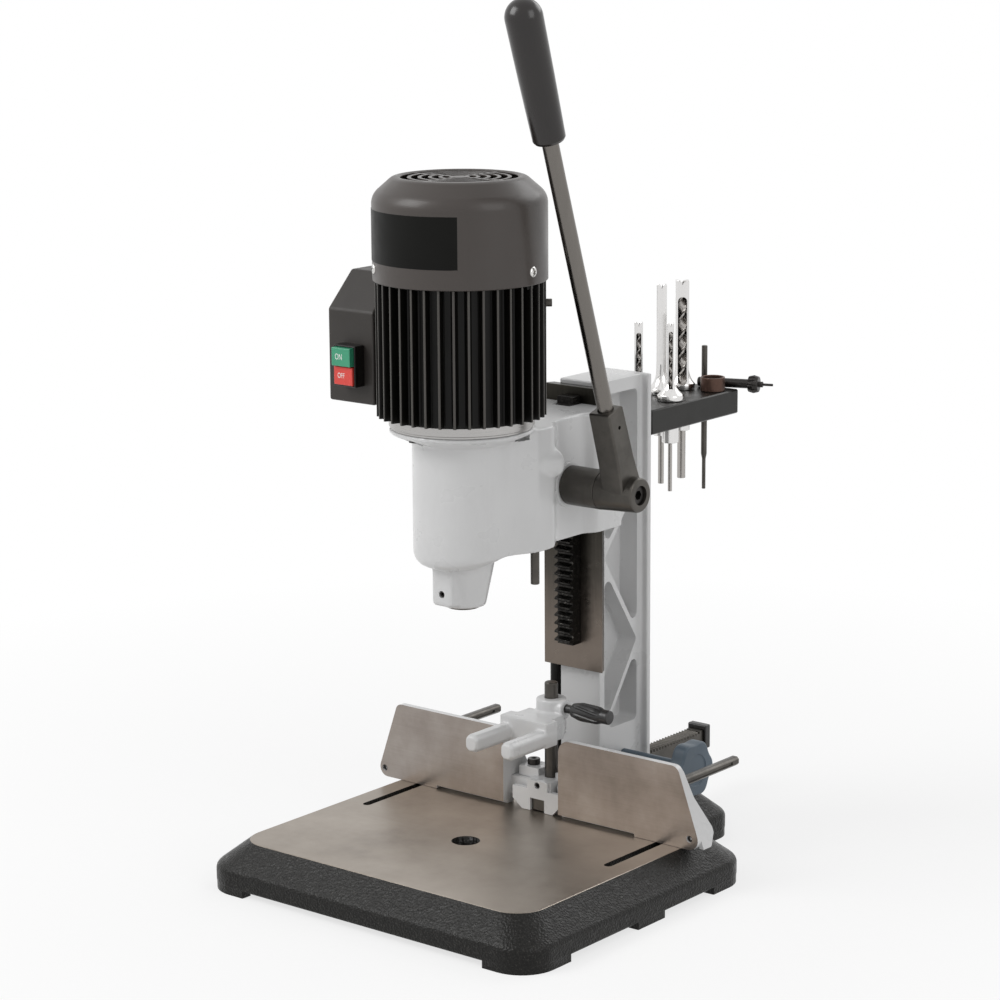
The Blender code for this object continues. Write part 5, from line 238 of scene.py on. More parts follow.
def moulded(name, colour, roughness, grain=900, strength=0.10, variation=0.12, gloss=0.5):
    """Moulded plastic or rubber with a fine even grain."""
    finish = Finish(name, colour, roughness, Specular_IOR_Level=gloss)
    finish.colour(finish.ramp(finish.noise(22, 3), (0.3, shaded(colour, 1 - variation)),
        (0.7, shaded(colour, 1 + variation))))
    finish.rough(finish.spread(finish.noise(60, 3), roughness - 0.05, roughness + 0.06))
    finish.bump(finish.noise(grain, 2), strength, 0.0002)


def way_steel():
    """The slide's oiled steel: nearly black higher up, lighter and browner towards the bottom."""
    finish = Finish("way_steel", (0.06, 0.055, 0.048), 0.34, 0.9)
    height = finish.nodes.new("ShaderNodeSeparateXYZ")
    finish.links.new(finish.place, height.inputs["Vector"])
    # Darker higher up and lighter, browner towards the bottom, by height alone.
    paler_share = finish.spread(height.outputs["Z"], 1.0, 0.0, 0.18, 0.32)
    mixed = finish.add(paler_share, finish.noise(1, 4, 0.6, (240, 240, 16)), 0.35)
    finish.colour(finish.ramp(mixed, (0.15, (0.028, 0.026, 0.021)), (0.60, (0.070, 0.062, 0.053)),
                              (1.0, (0.170, 0.142, 0.120))))
    finish.rough(finish.spread(finish.noise(90, 3), 0.26, 0.42))
    finish.bump(finish.noise(240, 3), 0.15, 0.0003)


def rack_steel():
    """Rough black teeth with bright bare spots on the flanks; the brightest are painted glints."""
    finish = Finish("rack_steel", (0.02, 0.02, 0.02), 0.35, 0.8)
    paler_share = finish.noise(260, 4, 0.7)
    # The light stop paints bright spots at random: bare worn steel, and painted glints that stand in for
    # highlights.
    finish.colour(finish.ramp(paler_share, (0.50, (0.012, 0.011, 0.010)), (0.66, (0.05, 0.047, 0.043)),
        (0.74, (0.35, 0.33, 0.30))))
    finish.rough(finish.spread(paler_share, 0.48, 0.22))
    finish.bump(finish.noise(500, 4), 0.5, 0.0005)


def make_finishes():
    """All the finishes, by name."""
    enamel("white_enamel", (0.64, 0.64, 0.64), 0.30)
    hammered()
    ground_iron()
    fence_iron()
    enamel("cover_enamel", (0.060, 0.051, 0.046), 0.36, 0.08, 0.05, 0.35, 0.08)
    enamel("fin_enamel", (0.0040, 0.0037, 0.0030), 0.34, 0.10, 0.06, 0.18, 0.0)
    # Fin tips: a lighter colour that paints the bright highlight line along each rounded fin tip.
    enamel("fin_tip_highlight", (0.060, 0.055, 0.049), 0.40, 0.10, 0.06, 0.4, 0.0)
    polished("cast_aluminium", (0.46, 0.45, 0.44), 0.30, (26, 26, 700), 0.12)
    oxide("gunmetal", (0.085, 0.079, 0.071), 0.34)
    way_steel()
    oxide("bushing_steel", (0.115, 0.104, 0.092), 0.36, 240, 0.2)
    polished("oiled_steel", (0.185, 0.172, 0.158), 0.24, (160, 160, 5), 0.05)
    oxide("black_oxide", (0.045, 0.042, 0.040), 0.36)
    rack_steel()
    polished("chrome", (0.78, 0.77, 0.76), 0.16)
    polished("screw_chrome", (0.70, 0.69, 0.67), 0.16, (200, 200, 200))
    polished("bright_rod", (0.42, 0.40, 0.38), 0.22)
    moulded("grip_plastic", (0.014, 0.011, 0.010), 0.22, 300, 0.05)
    moulded("box_plastic", (0.036, 0.032, 0.029), 0.44, 800, 0.16, 0.12, 0.3)
    moulded("switch_plastic", (0.010, 0.009, 0.008), 0.36, 900, 0.10, 0.12, 0.3)
    moulded("holder_paint", (0.0100, 0.0095, 0.0080), 0.36, 500, 0.12, 0.12, 0.3)
    moulded("nylon", (0.52, 0.51, 0.48), 0.42, 700, 0.05, 0.04)
    moulded("knob_plastic", (0.075, 0.105, 0.135), 0.46, 700, 0.2)
    moulded("handle_plastic", (0.016, 0.015, 0.015), 0.32)
    moulded("green_plastic", (0.040, 0.300, 0.165), 0.30, 900, 0.04)
    moulded("red_plastic", (0.66, 0.055, 0.042), 0.30, 900, 0.04)
    moulded("print_white", (0.80, 0.80, 0.78), 0.40, 900, 0.03, 0.02)
    moulded("plate_vinyl", (0.0045, 0.0045, 0.0038), 0.40, 900, 0.03, 0.12, 0.12)
    oxide("bronze", (0.105, 0.062, 0.048), 0.40, 500, 0.2)
    polished("copper", (0.62, 0.30, 0.18), 0.32, (30, 30, 900), 0.3)


def mesh_from(solid, name):
    """A new object from a bmesh."""
    bmesh.ops.recalc_face_normals(solid, faces=solid.faces)
    mesh = bpy.data.meshes.new(name)
    solid.to_mesh(mesh)
    solid.free()
    item = bpy.data.objects.new(name, mesh)
    bpy.context.scene.collection.objects.link(item)
    return item


def aimed(origin, direction, side=Vector((1, 0, 0))):
    """A matrix at origin whose Z runs along direction."""
    along = Vector(direction).normalized()
    if abs(along.dot(side)) > 0.98:
        side = Vector((0, 1, 0))
    across = (side - along * side.dot(along)).normalized()
    return Matrix.Translation(origin) @ Matrix((across, along.cross(across), along)).transposed().to_4x4()


def eased(points, radius, steps=4, closed=True):
    """An outline or profile with its corners rounded."""
    result = []
    count = len(points)
    for index in range(count):
        corner = Vector(points[index])
        if not closed and index in (0, count - 1):
            result.append(tuple(corner))
            continue
        before, after = Vector(points[index - 1]), Vector(points[(index + 1) % count])
        back, ahead = before - corner, after - corner
        turn = back.angle(ahead) / 2
        size = radius[index] if isinstance(radius, (list, tuple)) else radius
        if size <= 0 or turn > math.radians(88):
            result.append(tuple(corner))
            continue
        reach = min(size / math.tan(turn), back.length * 0.49, ahead.length * 0.49)
        size = reach * math.tan(turn)
        middle = corner + (back.normalized() + ahead.normalized()).normalized() * size / math.sin(turn)
        first, last = (
            corner + back.normalized() * reach - middle, corner + ahead.normalized() * reach - middle,
        )
        for step in range(steps + 1):
            result.append(tuple(middle + first.slerp(last, step / steps) * size))
    return result


def lathe(profile, origin=(0, 0, 0), direction=(0, 0, 1), steps=FINE, ring=False, name="lathe"):
    """A turned form from (radius, along) pairs. A ring joins its last point to its first."""
    solid = bmesh.new()
    place = aimed(origin, direction)
    rings = []
    for radius, along in profile:
        if radius < 1e-6:
            rings.append([solid.verts.new(place @ Vector((0, 0, along)))] * steps)
            continue
        turns = [math.tau * step / steps for step in range(steps)]
        rings.append([
            solid.verts.new(place @ Vector((radius * math.cos(turn), radius * math.sin(turn), along)))
            for turn in turns
        ])
    pairs = list(zip(rings, rings[1:])) + ([(rings[-1], rings[0])] if ring else [])
    for one, other in pairs:
        for step in range(steps):
            after = (step + 1) % steps
            corners = [one[step], one[after], other[after], other[step]]
            unique = list(dict.fromkeys(corners))
            if len(unique) > 2:
                solid.faces.new(unique)
    return mesh_from(solid, name)


def shaft(start, end, radius, ease=0.0, steps=SMALL, end_radius=None, name="shaft"):
    """A round bar between two points, with eased ends."""
    start, end = Vector(start), Vector(end)
    length = (end - start).length
    far = radius if end_radius is None else end_radius
    profile = eased([(0, 0), (radius, 0), (far, length), (0, length)], ease, 3, closed=False)
    return lathe(profile, start, end - start, steps, name=name)


AXES = {
    "X": lambda across, up, along: (along, across, up),
    "Y": lambda across, up, along: (across, along, up),
    "Z": lambda across, up, along: (across, up, along),
}


def slab(outline, axis, low, high, name="slab"):
    """A flat outline drawn out along an axis: (y, z) for X, (x, z) for Y and (x, y) for Z."""
    solid = bmesh.new()
    ends = [[solid.verts.new(AXES[axis](*point, along)) for point in outline] for along in (low, high)]
    solid.faces.new(ends[0])
    solid.faces.new(list(reversed(ends[1])))
    for index in range(len(outline)):
        after = (index + 1) % len(outline)
        solid.faces.new((ends[0][index], ends[0][after], ends[1][after], ends[1][index]))
    return mesh_from(solid, name)


def rectangle(low, high):
    """The four corners of a rectangle."""
    return [(low[0], low[1]), (high[0], low[1]), (high[0], high[1]), (low[0], high[1])]


def block(low, high, name="block"):
    """A box between two corners."""
    return slab(rectangle(low, high), "Z", low[2], high[2], name)


def loft(sections, name="loft"):
    """A closed solid through outlines of equal count, each a list of places."""
    solid = bmesh.new()
    rings = [[solid.verts.new(place) for place in section] for section in sections]
    for one, other in zip(rings, rings[1:]):
        for index in range(len(one)):
            after = (index + 1) % len(one)
            solid.faces.new((one[index], one[after], other[after], other[index]))
    solid.faces.new(rings[0])
    solid.faces.new(list(reversed(rings[-1])))
    return mesh_from(solid, name)


def applied(item):
    """Applies an object's modifiers."""
    bpy.context.view_layer.update()
    evaluated = item.evaluated_get(bpy.context.evaluated_depsgraph_get())
    mesh = bpy.data.meshes.new_from_object(evaluated)
    item.modifiers.clear()
    item.data = mesh
    return item


def dropped(items):
    """Deletes helper objects."""
    for item in items:
        bpy.data.objects.remove(item, do_unlink=True)


def combined(item, others, operation):
    """One Boolean for all the other solids, applied at once."""
    helpers = bpy.data.collections.new("cutters")
    for other in others:
        helpers.objects.link(other)
    boolean = item.modifiers.new("boolean", "BOOLEAN")
    boolean.operation = operation
    boolean.operand_type = "COLLECTION"
    boolean.collection = helpers
    boolean.solver = "EXACT"
    applied(item)
    dropped(others)
    bpy.data.collections.remove(helpers)
    return item


def carved(item, *cutters):
    return combined(item, list(cutters), "DIFFERENCE")


def fused(item, *others):
    return combined(item, list(others), "UNION")


def cast_smooth(item, voxel, rounds=4):
    """Turns a solid into one even skin with soft corners, as a casting has."""
    remesh = item.modifiers.new("skin", "REMESH")
    remesh.mode = "VOXEL"
    remesh.voxel_size = voxel
    relax = item.modifiers.new("relax", "SMOOTH")
    relax.factor = 0.5
    relax.iterations = rounds
    return applied(item)


def softened(item, width, segments=2, angle=35):
    """Rounds the sharp edges and keeps flat faces flat under the light."""
    bevel = item.modifiers.new("edges", "BEVEL")
    bevel.width = width
    bevel.segments = segments
    bevel.limit_method = "ANGLE"
    bevel.angle_limit = math.radians(angle)
    bevel.use_clamp_overlap = True
    bevel.miter_outer = "MITER_ARC"
    applied(item)
    return item


def shade(item, angle=40):
    """Smooth shading with sharp edges kept."""
    item.data.shade_smooth()
    item.data.set_sharp_from_angle(angle=math.radians(angle))
    weighted = item.modifiers.new("normals", "WEIGHTED_NORMAL")
    weighted.keep_sharp = True
    weighted.weight = 60
    return item


def copied(node):
    """A welded copy of a CAD node's mesh, in the machine's frame, with its flat faces whole again."""
    solid = bmesh.new()
    solid.from_mesh(NODES[node].data)
    bmesh.ops.remove_doubles(solid, verts=solid.verts, dist=0.00002)
    bmesh.ops.dissolve_limit(solid, angle_limit=math.radians(1), verts=solid.verts, edges=solid.edges)
    bmesh.ops.translate(solid, verts=solid.verts, vec=-ORIGIN)
    return mesh_from(solid, node)


def paint(item, *finishes):
    """Gives a piece its finishes, the first one everywhere."""
    item.data.materials.clear()
    for finish in finishes:
        item.data.materials.append(FINISHES[finish])
    for face in item.data.polygons:
        face.material_index = 0
    return item


def paint_where(item, index, chosen):
    """Gives one of its finishes to the faces that a test picks."""
    for face in item.data.polygons:
        if chosen(face.center, face.normal):
            face.material_index = index
    return item


def mount(item, name, body, slot, *replaced, angle=40):
    """Moves a finished piece to its place, and ties it to its body."""
    shade(item, angle)
    item.name = name
    item.data.name = name
    item.data.transform(item.matrix_world)
    item.matrix_world = Matrix.Identity(4)
    item.data.transform(Matrix.Translation(ORIGIN))
    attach(item, body)
    if replaced:
        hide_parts(*replaced)
    return item


def hexagon(centre, flats):
    """A hexagon's outline."""
    reach = flats / math.sqrt(3)
    return [
        (centre[0] + reach * math.cos(math.tau * k / 6), centre[1] + reach * math.sin(math.tau * k / 6))
        for k in range(6)
    ]


def around(radius, angle, height=0.0):
    """A point round the spindle's axis."""
    return Vector((radius * math.cos(angle), radius * math.sin(angle), height))


def mm(*values):
    """Millimetres as metres: one number, or a tuple of them."""
    scaled = tuple(value * MM for value in values)
    return scaled[0] if len(scaled) == 1 else scaled


# Base casting
TABLE = mm(165, 124.5, 155)
SKIRT = mm(189.5, 148, 179)
TAIL_TOP = mm(80, 253)
TAIL = mm(104, 277)
SKIRT_BOTTOM = mm(38)
SKIRT_FALL = mm(22)
FLOOR_DROP = ORIGIN.z
TABLE_PLATE = mm(12)
WALL = mm(11)
RIB = mm(8)
SLOT_X = mm(141.5)
SLOT_Y = mm(22, 150)
SLOT_HALF = mm(4)
HOLE_RADIUS = mm(13)


def skirted(top_low, top_high, skirt_low, skirt_high, corners, name):
    """A flat top with a sloping skirt round it, its edges rounded by the foundry."""
    top = eased(rectangle(top_low, top_high), corners[0], 10)
    skirt = eased(rectangle(skirt_low, skirt_high), corners[1], 10)
    reach = skirt_high[1] - top_high[1]
    profile = eased(
        [(-reach / 4, 0), (0, 0), (reach, -SKIRT_FALL), (reach, -SKIRT_BOTTOM), (reach * 0.8, -SKIRT_BOTTOM)],
        mm(0, 1.4, 8, 2.5, 0), 5, closed=False,
    )
    sections = []
    for out, height in profile:
        share = out / reach
        sections.append([
            (inner[0] + (outer[0] - inner[0]) * share, inner[1] + (outer[1] - inner[1]) * share, height)
            for inner, outer in zip(top, skirt)
        ])
    return loft(sections, name)


def even_bays(low, high, count):
    """Splits a length into equal bays with a rib between neighbours."""
    width = (high - low - RIB * (count - 1)) / count
    return [(low + index * (width + RIB), low + index * (width + RIB) + width) for index in range(count)]


def base_bay(left, right, low, high):
    """One hollow under the table, narrower at the top."""
    bottom = rectangle((left, low), (right, high))
    lean = WALL / 2
    top = rectangle(
        (max(left, lean - TABLE[0]), max(low, lean - TABLE[1])), (min(right, TABLE[0] - lean), high)
    )
    levels = ((bottom, -FLOOR_DROP - OVERRUN), (bottom, -SKIRT_FALL - OVERRUN), (top, -TABLE_PLATE))
    return loft([[(x, y, z) for x, y in outline] for outline, z in levels], "bay")


def base_bays():
    """All the hollows, clear of the slots' bolts and of the column's."""
    bays = []
    inner = SKIRT[0] - WALL
    front, rear = WALL - SKIRT[1], SKIRT[2] - WALL
    rows = even_bays(front, rear, 4)
    half = (rows[1][1] - rows[1][0]) / 2
    centre = [(front, -half - RIB), (-half, half), (half + RIB, rear - half), (rear - half + RIB, rear)]
    for index, (left, right) in enumerate(even_bays(-inner, inner, 5)):
        layout = rows
        if index in (0, 4):
            layout = [(front, SLOT_Y[0] - RIB), (SLOT_Y[0], rear)]
        elif index == 2:
            layout = centre
        bays += [base_bay(left, right, low, high) for low, high in layout]
    tail_inner = TAIL[0] - WALL - mm(10)
    for left, right in even_bays(-tail_inner, tail_inner, 3):
        bays.append(base_bay(left, right, SKIRT[2] + WALL - RIB, TAIL_TOP[1]))
    return bays


def base_feet():
    """The pads at the corners, in the middle of each side and under the tail, flush with the skirt."""
    inset = mm(-1)
    length, width, middle = mm(60, 52, 40)
    low, high = -FLOOR_DROP, -SKIRT_BOTTOM + OVERRUN
    plans = []
    for sign in (-1, 1):
        left, right = sorted((sign * (SKIRT[0] - inset), sign * (SKIRT[0] - inset - width)))
        plans.append(((left, inset - SKIRT[1]), (right, inset - SKIRT[1] + length)))
        plans.append(((left, SKIRT[2] - inset - length), (right, SKIRT[2] - inset)))
        plans.append(((left, mm(6)), (right, mm(6) + middle)))
        left, right = sorted((sign * (TAIL[0] - inset), sign * (TAIL[0] - width)))
        plans.append(((left, TAIL[1] - inset - middle), (right, TAIL[1] - inset)))
    pads = [slab(eased(rectangle(*plan), mm(3), 3), "Z", low, high, "foot") for plan in plans]
    edge = mm(0.4)
    skirt = eased(rectangle((edge - SKIRT[0], edge - SKIRT[1]), (SKIRT[0] - edge, SKIRT[2] - edge)),
        mm(33.6), 10)
    tail = eased(rectangle((edge - TAIL[0], 0), (TAIL[0] - edge, TAIL[1] - edge)), mm(23.6), 10)
    inside = fused(slab(skirt, "Z", low, high, "inside"), slab(tail, "Z", low, high, "tail_inside"))
    return combined(fused(pads[0], *pads[1:]), [inside], "INTERSECT")


def dress_base():
    """The base: ground table on a hammered black casting."""
    table_low, table_high = (-TABLE[0], -TABLE[1]), (TABLE[0], TABLE[2])
    skirt_low, skirt_high = (-SKIRT[0], -SKIRT[1]), (SKIRT[0], SKIRT[2])
    base = skirted(table_low, table_high, skirt_low, skirt_high, mm(28, 34), "base")
    tail = skirted(
        (-TAIL_TOP[0], SLOT_Y[0]), TAIL_TOP, (-TAIL[0], SLOT_Y[0] - mm(0.5)), TAIL, mm(12, 24), "tail"
    )
    fused(base, tail, base_feet())
    carved(base, *base_bays())
    cutters = [shaft((0, 0, -SKIRT_FALL), (0, 0, OVERRUN), HOLE_RADIUS, steps=ROUND)]
    for sign in (-1, 1):
        plan = rectangle((sign * SLOT_X - SLOT_HALF, SLOT_Y[0]), (sign * SLOT_X + SLOT_HALF, SLOT_Y[1]))
        cutters.append(slab(eased(plan, SLOT_HALF, 6), "Z", -SKIRT_FALL, OVERRUN, "slot"))
    for x in mm(-15.5, 15.5):
        for y in mm(193.5, 227.5):
            cutters.append(shaft((x, y, -SKIRT_FALL), (x, y, OVERRUN), mm(4.3), steps=SMALL))
    carved(base, *cutters)
    paint(base, "black_hammered", "ground_iron")
    top = mm(0.6)
    paint_where(base, 1, lambda place, normal: (
        place.z > -top and normal.z > 0.6 and abs(place.x) < TABLE[0] + top and place.y < TABLE[2] + top
    ))
    softened(base, mm(0.5), 1, 60)
    mount(base, "base_casting", "stand", "black_casting", "base", angle=50)


# Column
COLUMN_HALF = mm(23)
COLUMN_FRONT = mm(169.5)
COLUMN_DEPTH = mm(65)
COLUMN_TOP = mm(398)
BACK_HALF = mm(30.5)
BACK_PLATE = mm(6)
POCKET_Z = mm(66, 385)
POCKET_SHARES = (
    ((1.00, 0.225), (1.00, 0.000), (0.05, 0.000)),
    ((0.00, 0.486), (0.00, 0.013), (0.99, 0.248)),
    ((0.00, 0.518), (1.00, 0.271), (1.00, 0.714)),
    ((0.00, 1.000), (0.00, 0.546), (1.00, 0.735), (1.00, 1.000)),
)


def dress_column():
    """The column casting: rims, a web and zig-zag ribs."""
    rear = COLUMN_FRONT + COLUMN_DEPTH
    back = rear + BACK_PLATE
    plan = [
        (-COLUMN_HALF, COLUMN_FRONT), (COLUMN_HALF, COLUMN_FRONT), (COLUMN_HALF, rear), (BACK_HALF, rear),
        (BACK_HALF, back), (-BACK_HALF, back), (-BACK_HALF, rear), (-COLUMN_HALF, rear),
    ]
    radii = mm(1.6, 1.6, 3, 1.6, 1.6, 1.6, 1.6, 3)
    column = slab(eased(plan, radii, 4), "Z", SEAT, COLUMN_TOP, "column")
    softened(column, mm(1.6), 3, 60)
    rim = mm(8)
    width = COLUMN_DEPTH - 2 * rim + mm(1.5)
    cutters = []
    for shares in POCKET_SHARES:
        corners = [
            (COLUMN_FRONT + rim + across * width, POCKET_Z[0] + up * (POCKET_Z[1] - POCKET_Z[0]))
            for across, up in shares
        ]
        outline = eased(corners, mm(5.5), 6)
        middle = Vector((sum(c[0] for c in corners) / len(corners),
            sum(c[1] for c in corners) / len(corners)))
        for sign in (-1, 1):
            deep, open_side = sign * mm(3), sign * (COLUMN_HALF + OVERRUN)
            floor = [tuple(middle + (Vector(point) - middle) * 0.965) for point in outline]
            mouth = [tuple(middle + (Vector(point) - middle) * 1.015) for point in outline]
            cutters.append(loft([
                [(deep, y, z) for y, z in floor],
                [(sign * (mm(3) + mm(2)), y, z) for y, z in outline],
                [(sign * (COLUMN_HALF - mm(1)), y, z) for y, z in outline],
                [(open_side, y, z) for y, z in mouth],
            ], "pocket"))
    tunnel = mm(8.3)
    cutters.append(block((-tunnel, COLUMN_FRONT - OVERRUN, -OVERRUN), (tunnel, back + OVERRUN, mm(20.6)),
        "tunnel"))
    pinion = Span("fence_pinion").middle
    axis_y, axis_z = pinion.y, Span("fence_knob").middle.z
    cutters.append(shaft((mm(-7.6), axis_y, axis_z), (mm(7.6), axis_y, axis_z), mm(18.3), steps=ROUND))
    cutters.append(shaft((mm(-20.3), axis_y, axis_z), (mm(30), axis_y, axis_z), mm(4.3), steps=SMALL))
    carved(column, *cutters)
    paint(column, "white_enamel")
    mount(column, "column_casting", "stand", "white_casting", "column", angle=38)


def dress_slide():
    """The steel way with its rack, blackened and oiled."""
    way = softened(copied("slide_way"), mm(0.5), 2)
    paint(way, "way_steel")
    mount(way, "slide_way_steel", "stand", "dark_steel", "slide_way")
    rack = softened(copied("slide_rack"), mm(0.25), 1, 20)
    paint(rack, "rack_steel")
    mount(rack, "slide_rack_teeth", "stand", "dark_steel", "slide_rack", angle=25)


# Motor
COVER_RADIUS = mm(76.4)
COVER_WALL = mm(1.8)
COVER_BOTTOM = mm(511.3)
COVER_SHOULDER = mm(585)
COVER_TOP = mm(601)
COVER_TOP_RADIUS = mm(58)
GRILLE = mm(9, 51)
GRILLE_RINGS = 5
GRILLE_BAR = mm(3.2)
COVER_SCREWS = [math.radians(angle) for angle in (-127, 4, 104)]
COVER_SCREW_Z = mm(523)
MOTOR_Z = mm(392, 511)
CORE_RADIUS = mm(66)
FIN_RADIUS = mm(74.5)
FINS = 36
PAD_X = mm(70.5)
PAD_HALF = mm(30)
BELL_RADIUS = mm(64)
BOLT_CIRCLE = mm(53.5)
BOLT_ANGLES = [math.radians(angle) for angle in (-101, 25, 145)]
STUD_ANGLE = math.radians(39)
STUD_Z = mm(490)


def arc_band(inner, outer, start, end, steps=14):
    """A curved slot's outline."""
    turns = [start + (end - start) * step / steps for step in range(steps + 1)]
    outline = [(outer * math.cos(turn), outer * math.sin(turn)) for turn in turns]
    outline += [(inner * math.cos(turn), inner * math.sin(turn)) for turn in reversed(turns)]
    return outline


def dress_fan_cover():
    """The drawn fan cover: sloping shoulder, rings of curved slots, a bare plate and its screws."""
    hem = mm(0.6)
    outside = eased([
        (mm(49), COVER_TOP), (COVER_TOP_RADIUS, COVER_TOP), (COVER_RADIUS, COVER_SHOULDER),
        (COVER_RADIUS, COVER_BOTTOM),
    ], mm(0, 9, 16, 0), 8, closed=False)[1:-1]
    profile = [(0, COVER_TOP - mm(1)), (GRILLE[1] + mm(1), COVER_TOP - mm(1)),
        (GRILLE[1] + mm(2.5), COVER_TOP)]
    profile += outside
    profile += [(COVER_RADIUS, COVER_BOTTOM + hem), (COVER_RADIUS - hem, COVER_BOTTOM)]
    profile += [(COVER_RADIUS - COVER_WALL + hem / 2, COVER_BOTTOM),
        (COVER_RADIUS - COVER_WALL, COVER_BOTTOM + hem)]
    profile += [(radius - COVER_WALL, height - COVER_WALL) for radius, height in reversed(outside)]
    profile += [(0, COVER_TOP - mm(1) - COVER_WALL)]
    cover = lathe(profile, name="fan_cover")
    ring_step = (GRILLE[1] - GRILLE[0] + GRILLE_BAR) / GRILLE_RINGS
    slots = []
    for ring in range(GRILLE_RINGS):
        inner = GRILLE[0] + ring * ring_step
        outer = inner + ring_step - GRILLE_BAR
        for quarter in range(4):
            spoke = GRILLE_BAR / (inner + outer)
            start, end = math.tau * quarter / 4 + spoke, math.tau * (quarter + 1) / 4 - spoke
            band = arc_band(inner, outer, start, end, 10 + 6 * ring)
            slots.append(slab(eased(band, mm(1.4), 2), "Z", COVER_TOP - mm(6), COVER_TOP + OVERRUN, "slot"))
    carved(cover, *slots)
    paint(cover, "cover_enamel")
    softened(cover, mm(0.35), 1, 60)
    mount(cover, "fan_cover_shell", "head", "fan_cover_paint", "fan_cover", angle=42)
    for index, angle in enumerate(COVER_SCREWS):
        screw = pan_screw(around(COVER_RADIUS - mm(0.2), angle, COVER_SCREW_Z), around(1, angle), mm(4.6),
            mm(2.1))
        mount(screw, f"cover_screw_{index + 1}", "head", "bright_steel")
    dress_cover_plate()


def pan_screw(place, outward, radius, height):
    """A round-head screw with a cross recess."""
    steps = 6
    dome = [(radius * math.cos(a), height * (0.25 + 0.75 * math.sin(a)))
            for a in (math.pi / 2 * i / steps for i in range(steps + 1))]
    head = lathe([(0, 0), (radius, 0)] + dome[:-1] + [(0, height)], place, outward, SMALL, name="pan_screw")
    tilt = aimed(place, outward)
    cutters = []
    for across, up in ((radius * 0.55, radius * 0.12), (radius * 0.12, radius * 0.55)):
        bar = block((-across, -up, height * 0.3), (across, up, height * 2), "cross")
        bar.data.transform(tilt @ Matrix.Rotation(math.radians(25), 4, "Z"))
        cutters.append(bar)
    carved(head, *cutters)
    return paint(head, "screw_chrome")


PLATE_ANGLES = (math.radians(-164), math.radians(-52))
PLATE_Z = mm(529, 574)


def dress_cover_plate():
    """The bare black plate on the cover's front."""
    low, high = COVER_RADIUS + mm(0.02), COVER_RADIUS + mm(0.35)
    steps = 24
    turns = [
        PLATE_ANGLES[0] + (PLATE_ANGLES[1] - PLATE_ANGLES[0]) * step / steps for step in range(steps + 1)
    ]
    inset = mm(0.25)
    solid = bmesh.new()
    rows = []
    for index, turn in enumerate(turns):
        edge = index in (0, steps)
        outer = low if edge else high
        rows.append([
            solid.verts.new(around(low, turn, PLATE_Z[0])),
            solid.verts.new(around(outer, turn, PLATE_Z[0] + inset)),
            solid.verts.new(around(outer, turn, PLATE_Z[1] - inset)),
            solid.verts.new(around(low, turn, PLATE_Z[1])),
        ])
    for one, other in zip(rows, rows[1:]):
        for step in range(4):
            after = (step + 1) % 4
            solid.faces.new((one[step], one[after], other[after], other[step]))
    solid.faces.new(rows[0])
    solid.faces.new(list(reversed(rows[-1])))
    plate = mesh_from(solid, "plate")
    welded(plate)
    paint(plate, "plate_vinyl")
    mount(plate, "cover_plate", "head", "fan_cover_paint", angle=60)


def welded(item):
    """Welds points that fall together."""
    solid = bmesh.new()
    solid.from_mesh(item.data)
    bmesh.ops.remove_doubles(solid, verts=solid.verts, dist=0.000005)
    bmesh.ops.recalc_face_normals(solid, faces=solid.faces)
    solid.to_mesh(item.data)
    solid.free()
    return item


def fin_outline():
    """The finned frame's outline: filleted roots, rounded tips, and a flat for the switch box."""
    pad_angle = math.asin(PAD_HALF / PAD_X)
    points = [(-PAD_X, PAD_HALF), (-PAD_X, -PAD_HALF)]
    half_tip, half_root = mm(1.35, 2.0)
    for index in range(FINS):
        middle = -math.pi + (index + 0.5) * math.tau / FINS
        if abs(middle) > math.pi - pad_angle - math.pi / FINS:
            continue
        shape = (
            (CORE_RADIUS, -half_root - mm(1.1)), (CORE_RADIUS + mm(0.9), -half_root),
            (FIN_RADIUS - mm(1.2), -half_tip),
            (FIN_RADIUS - mm(0.35), -half_tip * 0.75), (FIN_RADIUS, -half_tip * 0.3),
            (FIN_RADIUS, half_tip * 0.3), (FIN_RADIUS - mm(0.35), half_tip * 0.75),
            (FIN_RADIUS - mm(1.2), half_tip), (CORE_RADIUS + mm(0.9), half_root),
            (CORE_RADIUS, half_root + mm(1.1)),
        )
        for radius, across in shape:
            turn = middle + across / radius
            points.append((radius * math.cos(turn), radius * math.sin(turn)))
    return points


def dress_motor_frame():
    """The finned frame, open inside for the stator, with a painted highlight on its fin tips."""
    body = slab(fin_outline(), "Z", MOTOR_Z[0], MOTOR_Z[1], "motor_frame")
    bore = mm(58)
    wall_top, wall_bottom = mm(507), mm(497.5)
    seat = mm(15.8)
    bore_profile = [
        (0, MOTOR_Z[1] + OVERRUN), (bore, MOTOR_Z[1] + OVERRUN), (bore, wall_top), (seat, wall_top),
        (seat, wall_bottom), (bore, wall_bottom), (bore, MOTOR_Z[0] - OVERRUN), (0, MOTOR_Z[0] - OVERRUN),
    ]
    carved(body, lathe(bore_profile, name="bore"))
    ears = []
    for angle in COVER_SCREWS:
        ear = block((mm(62), mm(-4.5), MOTOR_Z[1] - OVERRUN), (mm(73.4), mm(4.5), COVER_SCREW_Z + mm(4.5)),
            "ear")
        ear.data.transform(Matrix.Rotation(angle, 4, "Z"))
        ears.append(ear)
    fused(body, *ears)
    paint(body, "fin_enamel", "fin_tip_highlight")
    softened(body, mm(0.4), 1, 60)
    edge = FIN_RADIUS - mm(0.5)
    # The fin tips get the lighter finish, a painted highlight along each fin's edge.
    paint_where(body, 1, lambda place, normal: abs(normal.z) < 0.3 and math.hypot(place.x, place.y) > edge)
    mount(body, "motor_fins", "head", "motor_black", "motor_frame", angle=32)
    stud = shaft(around(mm(66), STUD_ANGLE, STUD_Z), around(mm(79.5), STUD_ANGLE, STUD_Z), mm(3.5), mm(0.6),
        SMALL)
    paint(stud, "gunmetal")
    mount(stud, "motor_frame_stud", "head", "dark_steel")


